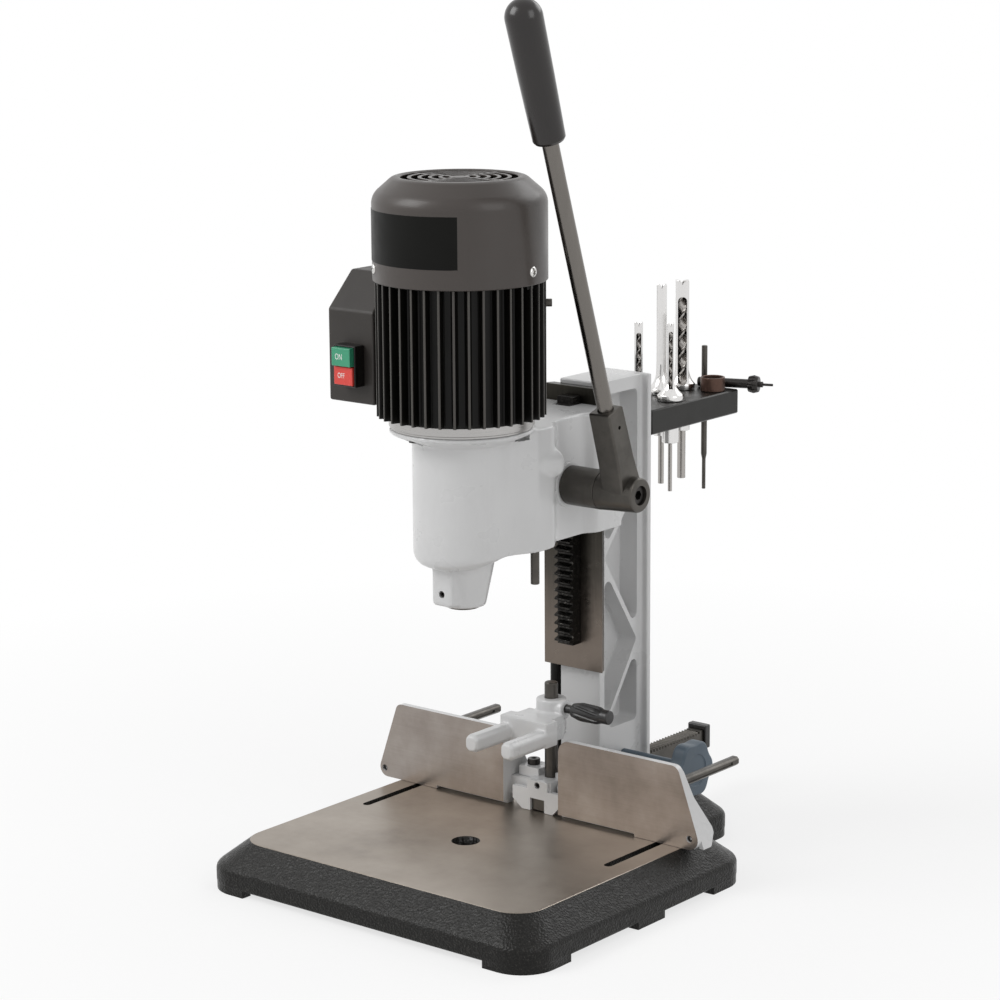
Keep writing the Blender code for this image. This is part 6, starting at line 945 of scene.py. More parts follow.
def dress_end_bell():
    """The bright end bell between the motor and the head, with its three bolts."""
    low, high = mm(381.3, 391.7)
    groove = mm(1.2)
    profile = eased([
        (mm(10.5), low + mm(3.7)), (mm(15.8), low + mm(3.7)), (mm(15.8), high + mm(14)),
        (mm(22), high + mm(14)),
        (mm(22), high), (BELL_RADIUS - mm(0.6), high), (BELL_RADIUS, high - mm(1)),
        (BELL_RADIUS, low + groove * 2),
        (BELL_RADIUS - mm(1.6), low + groove * 1.4), (BELL_RADIUS - mm(1.6), low), (mm(10.5), low),
    ], mm(0.3), 2)
    bell = lathe(profile, ring=True, name="end_bell")
    paint(bell, "cast_aluminium")
    studs = []
    for angle in BOLT_ANGLES:
        place = around(BOLT_CIRCLE, angle)
        nut_top = mm(377.7)
        studs.append(shaft(place + Vector((0, 0, nut_top - mm(0.2))), place + Vector((0, 0, low + SEAT)),
            mm(3)))
        nut = slab([(place.x + x, place.y + y) for x, y in hexagon((0, 0), mm(8.4))], "Z", nut_top - mm(4),
            nut_top)
        studs.append(softened(nut, mm(0.4), 1))
    for stud in studs:
        paint(stud, "black_oxide")
    mount(bell, "motor_bell", "head", "cast_aluminium", "motor_end_bell")
    for index, stud in enumerate(studs):
        mount(stud, f"motor_stud_{index + 1}", "head", "dark_steel")


# Head casting
HEAD_RADIUS = mm(44)
HEAD_Z = mm(268, 379)
HEAD_REAR_HALF = mm(50)
HEAD_REAR = mm(168)
FLANGE_TOP = mm(381)
CHEEK_ARC = 28
ROD_SWELL = mm(56)
HUB_WAIST = mm(42)
NOSE_RISE = mm(14)


def head_outline():
    """The head from above: round in front, wider at the slide."""
    plan = [(HEAD_RADIUS * math.cos(a), HEAD_RADIUS * math.sin(a))
            for a in (-math.pi + math.pi * i / CHEEK_ARC for i in range(CHEEK_ARC + 1))]
    swell, waist = ROD_SWELL, HUB_WAIST
    right = eased([
        (HEAD_RADIUS, mm(2)), (HEAD_RADIUS + mm(1), mm(14)), (swell, mm(36)), (swell, mm(60)),
        (waist, mm(80)),
        (waist, mm(120)), (HEAD_REAR_HALF, mm(131)), (HEAD_REAR_HALF, HEAD_REAR),
    ], mm(0, 30, 12, 14, 14, 10, 10, 0), 5, closed=False)[1:]
    left = eased([(HEAD_RADIUS, mm(20)), (HEAD_RADIUS, mm(45)), (HEAD_REAR_HALF, mm(80)),
        (HEAD_REAR_HALF, HEAD_REAR)],
                 mm(0, 40, 40, 0), 5, closed=False)[1:]
    return plan + right + [(-x, y) for x, y in reversed(left)]


def head_channel():
    """The dovetail and the rack channel, drawn up through the head."""
    way = Span("slide_way")
    gap = mm(0.4)
    gib = mm(4.3)
    front_half, back_half = way.size.x / 2 + gap, mm(29) + gap
    face = way.low.y - gap
    share = (mm(169.2) - HEAD_REAR) / mm(9.7)
    rear_half = back_half + (front_half - back_half) * share
    channel, channel_front = mm(10.5), mm(140.9)
    back = HEAD_REAR + OVERRUN
    return [
        (front_half, face), (rear_half, HEAD_REAR), (rear_half, back), (-rear_half - gib, back),
        (-rear_half - gib, HEAD_REAR), (-front_half - gib, face), (-channel, face), (-channel, channel_front),
        (channel, channel_front), (channel, face),
    ]


def dress_head():
    """The head casting: flange, body, nose and bosses in one soft-cornered skin, then the machined parts."""
    body = slab(head_outline(), "Z", HEAD_Z[0], HEAD_Z[1], "head")
    flange = lathe(eased([
        (0, FLANGE_TOP), (BELL_RADIUS, FLANGE_TOP), (BELL_RADIUS, FLANGE_TOP - mm(3.2)),
        (HEAD_RADIUS - mm(3), FLANGE_TOP - mm(13)), (0, FLANGE_TOP - mm(13)),
    ], mm(0, 1.5, 1.8, 0, 0), 4, closed=False), name="flange")
    front = HEAD_RADIUS - mm(0.3)
    nose = lathe([
        mm(0, 284), (front, mm(284)), (front, mm(268)), mm(42.6, 263.2), mm(39.6, 259.3),
        mm(35, 257), mm(29, 256.3), mm(27, 254), mm(20, 220.5), mm(0, 220.5),
    ], name="nose")
    for vertex in nose.data.vertices:
        if mm(255) < vertex.co.z < mm(283):
            vertex.co.z += NOSE_RISE * (vertex.co.y + front) / (2 * front) * (mm(284) - vertex.co.z) / mm(28)
    pad = softened(block(mm(-12, -30, 223.5), (mm(12), 0, mm(262)), "pad"), mm(3), 3)
    boss = shaft(mm(45.8, 29, 345), mm(51.5, 66, 345), mm(6.8), 0.0, ROUND, mm(13.5), "boss")
    seat = shaft((mm(30), Span("lever_screw").middle.y, Span("lever_screw").middle.z),
                 (HUB_WAIST + mm(1.6), Span("lever_screw").middle.y, Span("lever_screw").middle.z), mm(20.8),
                 mm(0.6), ROUND)
    lug_arm = block(mm(-50, 162, 276), mm(-38.7, 177.5, 290), "lug_arm")
    lug = shaft(mm(-32.5, 177.5, 276), mm(-32.5, 177.5, 290), mm(7.2), 0.0, ROUND)
    fused(body, flange, nose, pad, boss)
    cast_smooth(body, mm(1.6), 5)
    fused(body, lug_arm, lug, seat)
    pinion = Span("lever_screw").middle
    axis = (pinion.y, pinion.z)
    cutters = [
        slab(head_channel(), "Z", HEAD_Z[0] - OVERRUN, HEAD_Z[1] + OVERRUN, "channel"),
        shaft(mm(0, 0, 262), mm(0, 0, 372), mm(31), steps=ROUND),
        shaft(mm(0, 0, 369), mm(0, 0, 384), mm(21), steps=ROUND),
        shaft(mm(0, 0, 215), mm(0, 0, 246.7), mm(12.1), steps=ROUND),
        shaft(mm(0, 0, 240), mm(0, 0, 265), mm(9.5), steps=ROUND),
        slab(eased(rectangle(mm(-18, 296), mm(22, 352)), mm(8), 6), "X", mm(-60), 0, "window"),
        shaft((mm(-10.5), *axis), (mm(10.5), *axis), mm(49.1), steps=ROUND),
        shaft((mm(-60), *axis), (mm(60), *axis), mm(10.3), steps=ROUND),
        shaft(mm(48.7, 41, 260), mm(48.7, 41, 369.8), mm(4.3), steps=SMALL),
        shaft(mm(0, -36, 235), mm(0, -10, 235), mm(3.3), steps=SMALL),
        shaft(mm(45.5, 24, 345), mm(45.5, 42, 345), mm(3.3), steps=SMALL),
    ]
    for angle in BOLT_ANGLES:
        place = around(BOLT_CIRCLE, angle)
        pocket = eased([(place.x + x, place.y + y) for x, y in hexagon((0, 0), mm(14.5))], mm(3), 3)
        cutters.append(slab(pocket, "Z", FLANGE_TOP - mm(10.5), FLANGE_TOP - mm(3), "bolt_pocket"))
        cutters.append(shaft(place + Vector(mm(0, 0, 370)), place + Vector(mm(0, 0, 384)), mm(3.3)))
    for step in range(3):
        y, z = mm(163.6), HEAD_Z[0] + mm(22) + step * mm(32)
        cutters.append(shaft((mm(-54), y, z), (mm(-48.5), y, z), mm(3), steps=SMALL))
        cutters.append(slab(hexagon((y, z), mm(3)), "X", mm(-50), mm(-45.5), "socket"))
    carved(body, *cutters)
    paint(body, "white_enamel")
    mount(body, "head_skin", "head", "white_casting", "head_casting", angle=42)


# Small turned and cut parts of the head
def set_screw(place, inward, length, name, body, node):
    """A set screw with its hexagon socket."""
    screw = shaft(place, Vector(place) + Vector(inward) * length, mm(3), mm(0.5), SMALL)
    tilt = aimed(place, inward)
    socket = slab(hexagon((0, 0), mm(3)), "Z", -OVERRUN, min(mm(3), length * 0.6), "socket")
    socket.data.transform(tilt)
    carved(screw, socket)
    paint(screw, "black_oxide")
    mount(screw, name, body, "dark_steel", node)


def dress_head_parts():
    """Bushing, set screws, depth rod and gas spring."""
    low, high = Span("nose_bushing").low.z, Span("nose_bushing").high.z
    bore, barrel, flange = mm(8.2, 11.8, 14.5)
    bushing = lathe(eased([
        (bore, high), (barrel, high), (barrel, low + mm(1.8)), (flange, low + mm(1.8)), (flange, low),
        (bore, low),
    ], mm(0.4), 2), steps=ROUND, ring=True)
    paint(bushing, "bushing_steel")
    mount(bushing, "nose_bushing_turned", "head", "dark_steel", "nose_bushing")
    set_screw(mm(0, -28.5, 235), (0, 1, 0), mm(15.9), "nose_screw", "head", "nose_set_screw")
    set_screw(mm(45.5, 31.5, 345), (0, 1, 0), mm(5), "depth_screw", "head", "depth_lock_screw")
    rod = Span("depth_rod")
    depth = shaft((rod.middle.x, rod.middle.y, rod.low.z), (rod.middle.x, rod.middle.y, rod.high.z), mm(4),
        mm(0.8))
    paint(depth, "gunmetal")
    mount(depth, "depth_bar", "depth_stop", "dark_steel", "depth_rod")
    x, y = mm(-32.5, 177.5)
    tube = lathe(eased([
        mm(0, 0.3), mm(6.5, 0.3), mm(6.5, 6), mm(3.5, 6), mm(3.5, 38), mm(6.8, 38),
        mm(6.8, 185), mm(3.5, 185), mm(3.5, 70), mm(0, 70),
    ], mm(0, 0.6, 0.6, 0.4, 0.4, 1.2, 1.2, 0.3, 0, 0), 3, closed=False), (x, y, 0), steps=ROUND)
    paint(tube, "fin_enamel")
    mount(tube, "gas_spring_tube", "stand", "dark_steel", "gas_spring_cylinder")
    piston = lathe(eased([
        mm(0, 168), mm(3.2, 168), mm(3.2, 269.7), mm(5.8, 269.7), mm(5.8, 275.7), mm(0, 275.7),
    ], mm(0, 0.4, 0.6, 0.6, 0.6, 0), 2, closed=False), (x, y, 0), steps=SMALL)
    paint(piston, "bright_rod")
    mount(piston, "gas_spring_piston", "head", "bright_steel", "gas_spring_rod")


def dress_chuck():
    """The keyed chuck: knurled sleeve with bevel teeth and three jaws."""
    span = Span("drill_chuck")
    low, high = span.low.z, span.high.z
    radius = mm(18.5)
    profile = eased([
        (mm(4), low), (mm(10), low), (mm(13.5), low + mm(10)), (mm(16.5), low + mm(10.5)),
        (radius, low + mm(18)),
        (radius, low + mm(38)), (mm(17.2), low + mm(39)), (mm(17.2), high - mm(3)), (mm(15.5), high),
        (mm(7.3), high),
        (mm(7.3), high - mm(24.7)), (mm(4), high - mm(24.7)),
    ], mm(0.5), 2)
    chuck = lathe(profile, steps=ROUND, ring=True, name="chuck")
    teeth = []
    count = 18
    for tooth in range(count):
        turn = math.tau * tooth / count
        place = around(radius + mm(0.2), turn, low + mm(14))
        top = around(radius + mm(0.2), turn, low + mm(24))
        teeth.append(shaft(place, top, mm(1.1), steps=6))
    for jaw in range(3):
        slot = block((mm(3), mm(-1.2), low - OVERRUN), (mm(11), mm(1.2), low + mm(4)), "jaw")
        slot.data.transform(Matrix.Rotation(math.tau * jaw / 3, 4, "Z"))
        teeth.append(slot)
    carved(chuck, *teeth)
    paint(chuck, "bright_rod")
    mount(chuck, "chuck_body", "spindle", "dark_steel", "drill_chuck")


# Switch box
BOX_X = mm(-124, -70.8)
BOX_SIDE = [mm(-35, 396.5), mm(35, 396.5), mm(35, 510.5), mm(-3.5, 510.5), mm(-35, 479)]


def dress_switch():
    """The switch box, its housing, the two buttons with their words, and the cord gland."""
    wall = mm(3)
    shell = softened(slab(BOX_SIDE, "X", BOX_X[0], BOX_X[1], "switch_box"), mm(2.2), 4)
    inner = [mm(-32, 399.5), mm(32, 399.5), mm(32, 507.5), mm(-2, 507.5), mm(-32, 477.5)]
    opening = block(mm(-103.4, -40, 415.5), mm(-83.8, -30, 447.5), "opening")
    gland_hole = shaft(mm(-97, 12, 390), mm(-97, 12, 403), mm(8.3))
    carved(shell, slab(inner, "X", BOX_X[0] + wall, BOX_X[1] + OVERRUN, "inside"), opening, gland_hole)
    paint(shell, "box_plastic")
    mount(shell, "switch_box_shell", "head", "black_plastic", "switch_box")
    housing = copied("switch_housing")
    softened(housing, mm(0.7), 2)
    paint(housing, "switch_plastic")
    mount(housing, "switch_frame", "head", "black_plastic", "switch_housing")
    for node, body, finish, word in (
        ("on_button", "start_button", "green_plastic", "ON"),
        ("off_button", "stop_button", "red_plastic", "OFF"),
    ):
        span = Span(node)
        button = block(span.low, span.high, node)
        softened(button, mm(1.0), 3)
        paint(button, finish)
        mount(button, f"{node}_cap", body, finish, node)
        place = Vector((span.middle.x - span.size.x * 0.10, span.low.y, span.middle.z))
        letters = word_mesh(word, place, mm(7.5) if word == "ON" else mm(6.6))
        paint(letters, "print_white")
        mount(letters, f"{node}_word", body, finish)
    gland = Span("cord_gland")
    top, x, y = gland.high.z, gland.middle.x, gland.middle.y
    bottom = gland.low.z
    box_floor = mm(396.2)
    nut = mm(5)
    ring = lathe(eased([
        (mm(3.8), top), (mm(8), top), (mm(8), box_floor), (mm(10.5), box_floor), (mm(10.5), box_floor - nut),
        (mm(7.6), box_floor - nut), (mm(6.1), bottom), (mm(3.8), bottom),
    ], mm(0.4), 2), (x, y, 0), steps=ROUND, ring=True)
    paint(ring, "switch_plastic")
    mount(ring, "gland_body", "head", "black_plastic", "cord_gland")


def word_mesh(word, place, height):
    """A printed word on a face that looks to the front."""
    curve = bpy.data.curves.new(word, "FONT")
    curve.body = word
    curve.size = height
    curve.extrude = mm(0.06)
    curve.align_x = "CENTER"
    curve.align_y = "CENTER"
    text = bpy.data.objects.new(word, curve)
    bpy.context.scene.collection.objects.link(text)
    bpy.context.view_layer.update()
    mesh = bpy.data.meshes.new_from_object(text.evaluated_get(bpy.context.evaluated_depsgraph_get()))
    bpy.data.objects.remove(text, do_unlink=True)
    narrow = Matrix.Diagonal((0.72, 1, 1, 1))
    mesh.transform(Matrix.Translation(place) @ Matrix.Rotation(math.radians(90), 4, "X") @ narrow)
    item = bpy.data.objects.new(word, mesh)
    bpy.context.scene.collection.objects.link(item)
    return item


# Lever
HUB_X = mm(81.3, 121.5)
COLLAR_X = mm(44.2, 81)
LEVER_X = mm(102)
LEVER_LEAN = math.radians(18)
LEVER_UP = Vector((0, -math.sin(LEVER_LEAN), math.cos(LEVER_LEAN)))


def on_lever(along, x=LEVER_X):
    """A place on the lever's centre line."""
    hub = Span("lever_screw").middle
    return Vector((x, hub.y, hub.z)) + LEVER_UP * along


def dress_lever():
    """Hub block, rod, grip and screw."""
    hub = Span("lever_screw").middle
    axis = (hub.y, hub.z)
    barrel = lathe(eased([
        (0, HUB_X[0]), (mm(17.6), HUB_X[0]), mm(17, 92), (mm(15.5), HUB_X[1]), (0, HUB_X[1]),
    ], mm(0, 0.5, 6, 2.2, 0), 4, closed=False), (0, *axis), (1, 0, 0), FINE, name="hub")
    deep, waist, top_deep, length = mm(15, 12, 11, 83)
    side = [(-deep, 0), (deep, 0), (waist, mm(34)), (top_deep, length), (-top_deep, length), (-waist, mm(34))]
    arm = slab(side, "X", mm(-11.5), mm(11.5), "arm")
    softened(arm, mm(2.0), 4)
    arm.data.transform(Matrix.Translation((LEVER_X, *axis)) @ Matrix.Rotation(LEVER_LEAN, 4, "X"))
    fused(barrel, arm)
    carved(
        barrel,
        shaft((HUB_X[0] - OVERRUN, *axis), (mm(85.6), *axis), mm(6.3)),
        shaft((mm(108.5), *axis), (HUB_X[1] + OVERRUN, *axis), mm(8.8), steps=ROUND),
        shaft((mm(90.5), *axis), (mm(110), *axis), mm(4.3)),
        shaft(on_lever(mm(60)), on_lever(mm(100)), mm(7.55), steps=ROUND),
        shaft(on_lever(mm(66.5), mm(110.5)), on_lever(mm(66.5), mm(117)), mm(1.8)),
    )
    softened(barrel, mm(0.45), 2, 50)
    paint(barrel, "gunmetal")
    mount(barrel, "lever_hub", "lever", "dark_steel", "lever_block")
    screw = lathe(eased([
        mm(0, 90.8), mm(4, 90.8), mm(4, 108.8), mm(8.5, 108.8), mm(8.5, 118.8), mm(0, 118.8),
    ], mm(0, 0.4, 0.2, 0.4, 0.9, 0), 3, closed=False), (0, *axis), (1, 0, 0), ROUND)
    carved(screw, slab(hexagon(axis, mm(8)), "X", mm(113.5), mm(125), "socket"))
    paint(screw, "black_oxide")
    mount(screw, "lever_cap_screw", "lever", "dark_steel", "lever_screw")
    bar = shaft(on_lever(mm(60.3)), on_lever(mm(431)), mm(7.25), mm(0.5), ROUND)
    paint(bar, "oiled_steel")
    mount(bar, "lever_bar", "lever", "dark_steel", "lever_rod")
    low, high, size = mm(14.2, 16.2, 126)
    dome = [
        (high * math.sin(a), size - high + high * math.cos(a)) for a in (i * math.pi / 24 for i in range(13))
    ]
    bore = mm(7.55)
    profile = dome + eased([(high, size - high), (mm(15.4), size * 0.45), (low, mm(2.6)), (low - mm(1.8), 0),
        (bore, 0),
                            (bore, mm(95.8)), mm(0, 95.8)], mm(0, 30, 1.6, 0.8, 0.3, 0, 0), 4,
                            closed=False)[1:]
    grip = lathe(profile, on_lever(mm(335)), LEVER_UP, FINE, name="grip")
    paint(grip, "grip_plastic")
    mount(grip, "lever_handle", "lever", "black_rubber", "lever_grip")


def dress_pinion():
    """The pinion and its shaft, with the hub's collar."""
    pinion = softened(copied("pinion_shaft"), mm(0.3), 1, 30)
    axis = Span("lever_screw").middle
    fused(pinion, shaft((COLLAR_X[0], axis.y, axis.z), (COLLAR_X[1], axis.y, axis.z), mm(17.8), mm(0.5),
        FINE))
    paint(pinion, "gunmetal")
    mount(pinion, "pinion_turned", "pinion", "dark_steel", "pinion_shaft", angle=35)


# Fence
def fence_buttress():
    """The web behind the right half's sloping end, deeper towards the table."""
    profile = [mm(107, 70), mm(109.5, 70), mm(113.5, 46), mm(127.5, 17), mm(127.5, 12), mm(119, 1.5),
        mm(107, 1.5)]
    outline = eased(profile, mm(0, 1, 12, 3, 3, 4, 0), 4)
    lean = (mm(188.5) - mm(161.5)) / mm(75.2)
    return loft([[(edge - z * lean, y, z) for y, z in outline] for edge in mm(187.6, 183)], "buttress")


def dress_fence():
    """Both fence halves: ground faces, enamelled backs, and the socket screw at each outer corner."""
    for side, corners, radii, hole_place in (
        ("left", [mm(-194.5, 0.3), mm(-120, 0.3), mm(-120, 3.3), mm(-38, 3.3), mm(-38, 75.5), mm(-168, 75.5)],
         mm(9, 0.4, 0.4, 0.6, 1, 7), mm(-185, 8.5)),
        ("right", [mm(26.5, 3.3), mm(114, 3.3), mm(114, 0.3), mm(188.5, 0.3), mm(161.5, 75.5), mm(27, 75.5)],
         mm(0.6, 0.4, 0.4, 10, 9, 12), mm(175, 10.5)),
    ):
        node = f"fence_{side}"
        half = copied(node)
        face = slab(eased(corners, radii, 8), "Y", mm(101.5), mm(107.7), "face")
        carved(half, block(mm(-220, 95, -10), mm(220, 107.6, 90), "old_plate"))
        fused(half, face, *([fence_buttress()] if side == "right" else []))
        x, z = hole_place
        hole = shaft((x, mm(98), z), (x, mm(104.5), z), mm(3.2), steps=SMALL)
        carved(half, hole)
        softened(half, mm(0.7), 2, 30)
        paint(half, "white_enamel", "fence_iron")
        paint_where(half, 1, lambda place, normal: normal.y < -0.85 and place.y < mm(102.4))
        mount(half, f"{node}_casting", "fence", "white_casting", node)
        screw = shaft((x, mm(103), z), (x, mm(106), z), mm(2.9), mm(0.4), SMALL)
        carved(screw, slab(hexagon((x, z), mm(3)), "Y", mm(100), mm(104.6), "socket"))
        paint(screw, "black_oxide")
        mount(screw, f"{node}_corner_screw", "fence", "dark_steel")


def dress_fence_parts():
    """Bracket, screws, rack bar, cap, post, clamps and the knob."""
    for node, body, finish, slot, width, angle in (
        ("fence_bracket", "fence", "white_enamel", "white_casting", 0.9, 40),
        ("fence_rack_bar", "fence", "gunmetal", "dark_steel", 0.25, 25),
        ("rack_bar_cap", "fence", "handle_plastic", "black_plastic", 0.6, 35),
        ("bracket_set_screw", "fence", "black_oxide", "dark_steel", 0.2, 50),
        ("clamp_bolt_left", "fence", "bright_rod", "bright_steel", 0.4, 50),
        ("clamp_bolt_right", "fence", "bright_rod", "bright_steel", 0.4, 50),
        ("fence_pinion", "fence_drive", "gunmetal", "dark_steel", 0.2, 25),
        ("clamp_lever_right", "clamp_right", "gunmetal", "dark_steel", 0.5, 50),
        ("clamp_lever_left", "clamp_left", "gunmetal", "dark_steel", 0.5, 50),
        ("tool_holder", "stand", "holder_paint", "black_plastic", 0.8, 50),
    ):
        piece = softened(copied(node), mm(width), 2, angle)
        paint(piece, finish)
        mount(piece, f"{node}_fine", body, slot, node, angle=38)
    for side in ("left", "right"):
        span = Span(f"fence_screw_{side}")
        x, y = span.middle.x, span.middle.y
        head_low, head_top = mm(36.3), span.high.z - mm(2.6)
        screw = lathe(eased([
            (0, span.low.z), (mm(3), span.low.z), (mm(3), head_low), (mm(6), head_low), (mm(6), head_top),
            (0, head_top),
        ], mm(0, 0.4, 0.2, 0.4, 0.8, 0), 3, closed=False), (x, y, 0), steps=ROUND)
        carved(screw, slab(hexagon((x, y), mm(5)), "Z", head_top - mm(3.5), head_top + OVERRUN, "socket"))
        paint(screw, "black_oxide")
        mount(screw, f"fence_cap_screw_{side}", "fence", "dark_steel", f"fence_screw_{side}")
    span = Span("hold_down_post")
    low, high = span.low.z, span.high.z
    post = shaft((0, mm(126), low), (0, mm(126), high), mm(6.25), mm(1.4), ROUND)
    paint(post, "gunmetal")
    mount(post, "post_bar", "fence", "dark_steel", "hold_down_post")
    dress_knob()


def dress_knob():
    """The lobed knob and its sleeve."""
    span = Span("fence_knob")
    centre = Vector((0, span.middle.y, span.middle.z))
    steps = 96
    lobed = []
    for step in range(steps):
        turn = math.tau * step / steps
        radius = mm(28) - mm(3.2) * (1 - math.cos(6 * turn)) / 2
        lobed.append((radius * math.cos(turn), radius * math.sin(turn)))
    low, high = mm(93, 108)
    ease = mm(3)
    levels = [(low, 1 - ease / mm(28) * 0.9)]
    for step in range(1, 6):
        turn = math.pi / 2 * step / 5
        levels.append((low + ease * (1 - math.cos(turn)), 1 - ease / mm(28) * (1 - math.sin(turn)) * 0.9))
    for step in range(6):
        turn = math.pi / 2 * step / 5
        levels.append((high - ease * (1 - math.sin(turn)), 1 - ease / mm(28) * (1 - math.cos(turn)) * 0.9))
    knob = loft([
        [(x, centre.y + across * share, centre.z + up * share) for across, up in lobed] for x, share in levels
    ], "knob")
    dish = lathe(eased([mm(0, 106.8), mm(15, 106.8), mm(17, 111), mm(0, 111)], mm(0, 2, 0, 0), 4,
        closed=False),
                 centre, (1, 0, 0), ROUND, name="dish")
    sleeve = shaft((mm(23.3), centre.y, centre.z), (mm(95), centre.y, centre.z), mm(5.8), mm(0.4), ROUND)
    carved(knob, dish)
    fused(knob, sleeve)
    carved(knob, shaft((mm(20), centre.y, centre.z), (mm(104), centre.y, centre.z), mm(4.3)))
    paint(knob, "knob_plastic")
    mount(knob, "fence_knob_lobed", "fence_drive", "blue_plastic", "fence_knob", angle=45)


# Hold-down
def dress_hold_down():
    """The cast fork and the fluted lock handle."""
    yoke = block(mm(-27.5, 84, 71), mm(27.5, 100.5, 94.5), "yoke")
    neck = block(mm(-20.5, 97.7, 71.3), mm(20.5, 119, 94.2), "neck")
    prongs = []
    for sign in (-1, 1):
        middle = Vector((sign * mm(20.6), mm(79)))
        section = [Vector(p) for p in eased(rectangle((middle.x - mm(7.2), mm(71)),
            (middle.x + mm(7.2), mm(87.2))), mm(3.6), 1)]
        prongs.append(loft([
            [(p.x, y, p.y) for p in (middle + (corner - middle) * share for corner in section)]
            for y, share in ((mm(32.8), 0.74), (mm(35.6), 1.0), (mm(98), 1.0))
        ], "prong"))
    boss = shaft(mm(0, 126, 71.6), mm(0, 126, 106), mm(14), mm(1), ROUND)
    lug = shaft(mm(0, 126, 97), mm(17.8, 126, 97), mm(9), 0, ROUND)
    fused(yoke, neck, *prongs, boss, lug)
    cast_smooth(yoke, mm(1.0), 5)
    carved(
        yoke,
        shaft(mm(0, 126, 66), mm(0, 126, 116), mm(6.55), steps=ROUND),
        shaft(mm(0, 126, 98), mm(22, 126, 98), mm(4.3), steps=SMALL),
    )
    paint(yoke, "white_enamel")
    mount(yoke, "fork_casting", "hold_down", "white_casting", "hold_down_fork", angle=45)
    body = [
        mm(0, 7.1), mm(4, 7.1), mm(4, 26), mm(6.5, 26), mm(8.7, 36), mm(8.4, 54),
        mm(6.6, 60), mm(6.6, 68), mm(0, 68),
    ]
    handle = lathe(eased(body, mm(0, 0.4, 0.3, 1.2, 8, 8, 3, 1, 0), 3, closed=False), mm(0, 126, 98),
        (1, 0, 0), ROUND,
                   name="handle")
    flutes = []
    for flute in range(8):
        turn = math.tau * flute / 8
        solid = []
        for step in range(7):
            share = step / 6
            x = mm(30) + mm(42) * share
            angle = turn + math.radians(38) * share
            middle = Vector((x, mm(126) + mm(8.6) * math.cos(angle), mm(98) + mm(8.6) * math.sin(angle)))
            ring = [middle + Vector((0, mm(1.7) * math.cos(a), mm(1.7) * math.sin(a))) for a in
                    (math.tau * k / 8 for k in range(8))]
            solid.append([tuple(point) for point in ring])
        flutes.append(loft(solid, "flute"))
    carved(handle, *flutes)
    paint(handle, "handle_plastic")
    mount(handle, "lock_handle", "hold_down_handle", "black_plastic", "hold_down_lock", angle=45)


# Stored tools
HOLDER_TOP = mm(362.5)
CHISELS = (
    ("five_sixteenths", 7.9, -14, 280, 436.6, 2.4, 0.62, 0, 2.9),
    ("quarter", 6.35, 14, 293, 436.6, 2.0, 0.62, 0, 2.9),
    ("three_eighths", 9.5, -14, 317, 468.3, 2.8, 0.60, math.pi, 2.8),
    ("half", 12.7, -14, 350.7, 468.3, 4.0, 0.70, 0, 2.7),
)
CHISEL_TURN = math.radians(39)


def turned_square(half, x, y, z, ease=0.0):
    """A square outline about a place, at the chisels' turn, as places."""
    corners = [(-half, -half), (half, -half), (half, half), (-half, half)]
    if ease:
        corners = eased(corners, ease, 3)
    turn = Matrix.Rotation(CHISEL_TURN, 2)
    return [(x + p.x, y + p.y, z) for p in (turn @ Vector(c) for c in corners)]


def dress_chisel(name, side, x, y, tip, shank_radius, window_share, window_turn, turns):
    """A polished hollow chisel and the auger that stands in it."""
    side, x, y, tip, shank_radius = mm(side, x, y, tip, shank_radius)
    base = HOLDER_TOP + SEAT
    half = side / 2
    bell, bell_top, flare_top = mm(12.5), base + mm(5), base + mm(29)
    flare = [
        (half * 1.05 + (bell - half) * (1 - math.sin(math.pi / 2 * i / 20)) ** 2,
            bell_top + (flare_top - bell_top) * i / 20)
        for i in range(21)
    ]
    profile = [(0, base - mm(40.5)), (mm(7.4), base - mm(40.5)), (mm(7.95), base - mm(39.9)),
        (mm(7.95), base),
               (bell - mm(0.5), base), (bell, base + mm(0.5))] + flare + [(0, flare_top)]
    chisel = lathe(profile, (x, y, 0), steps=FINE, name="chisel")
    blade = loft([
        turned_square(half, x, y, bell_top, mm(0.35)), turned_square(half, x, y, tip, mm(0.35)),
    ], "blade")
    fused(chisel, blade)
    bore = side * 0.40
    window = side * window_share / 2
    opening = slab(eased(rectangle((-window, base + mm(5)), (window, tip - side * 1.2)), window * 0.98, 5),
        "Y", -side, 0)
    opening.data.transform(Matrix.Translation((x, y, 0)) @ Matrix.Rotation(CHISEL_TURN + window_turn, 4, "Z"))
    crown = lathe([(0, -mm(4)), (bore * 0.4, -mm(3)), (side * 1.1, mm(3.2)), mm(0, 3.2)], (x, y, tip),
        steps=ROUND)
    carved(chisel, shaft((x, y, base - mm(43.5)), (x, y, tip + OVERRUN), bore, steps=SMALL), opening, crown)
    for turn in (0, math.pi / 2):
        notch = slab([(-half * 0.5, tip + OVERRUN), (0, tip - mm(3.6)), (half * 0.5, tip + OVERRUN)], "Y",
            -side, side)
        notch.data.transform(Matrix.Translation((x, y, 0)) @ Matrix.Rotation(CHISEL_TURN + turn, 4, "Z"))
        carved(chisel, notch)
    paint(chisel, "chrome")
    mount(chisel, f"chisel_{name}_polished", "stand", "bright_steel", f"chisel_{name}", angle=60)
    dress_auger(name, bore - mm(0.4), x, y, tip - mm(3), shank_radius, turns)


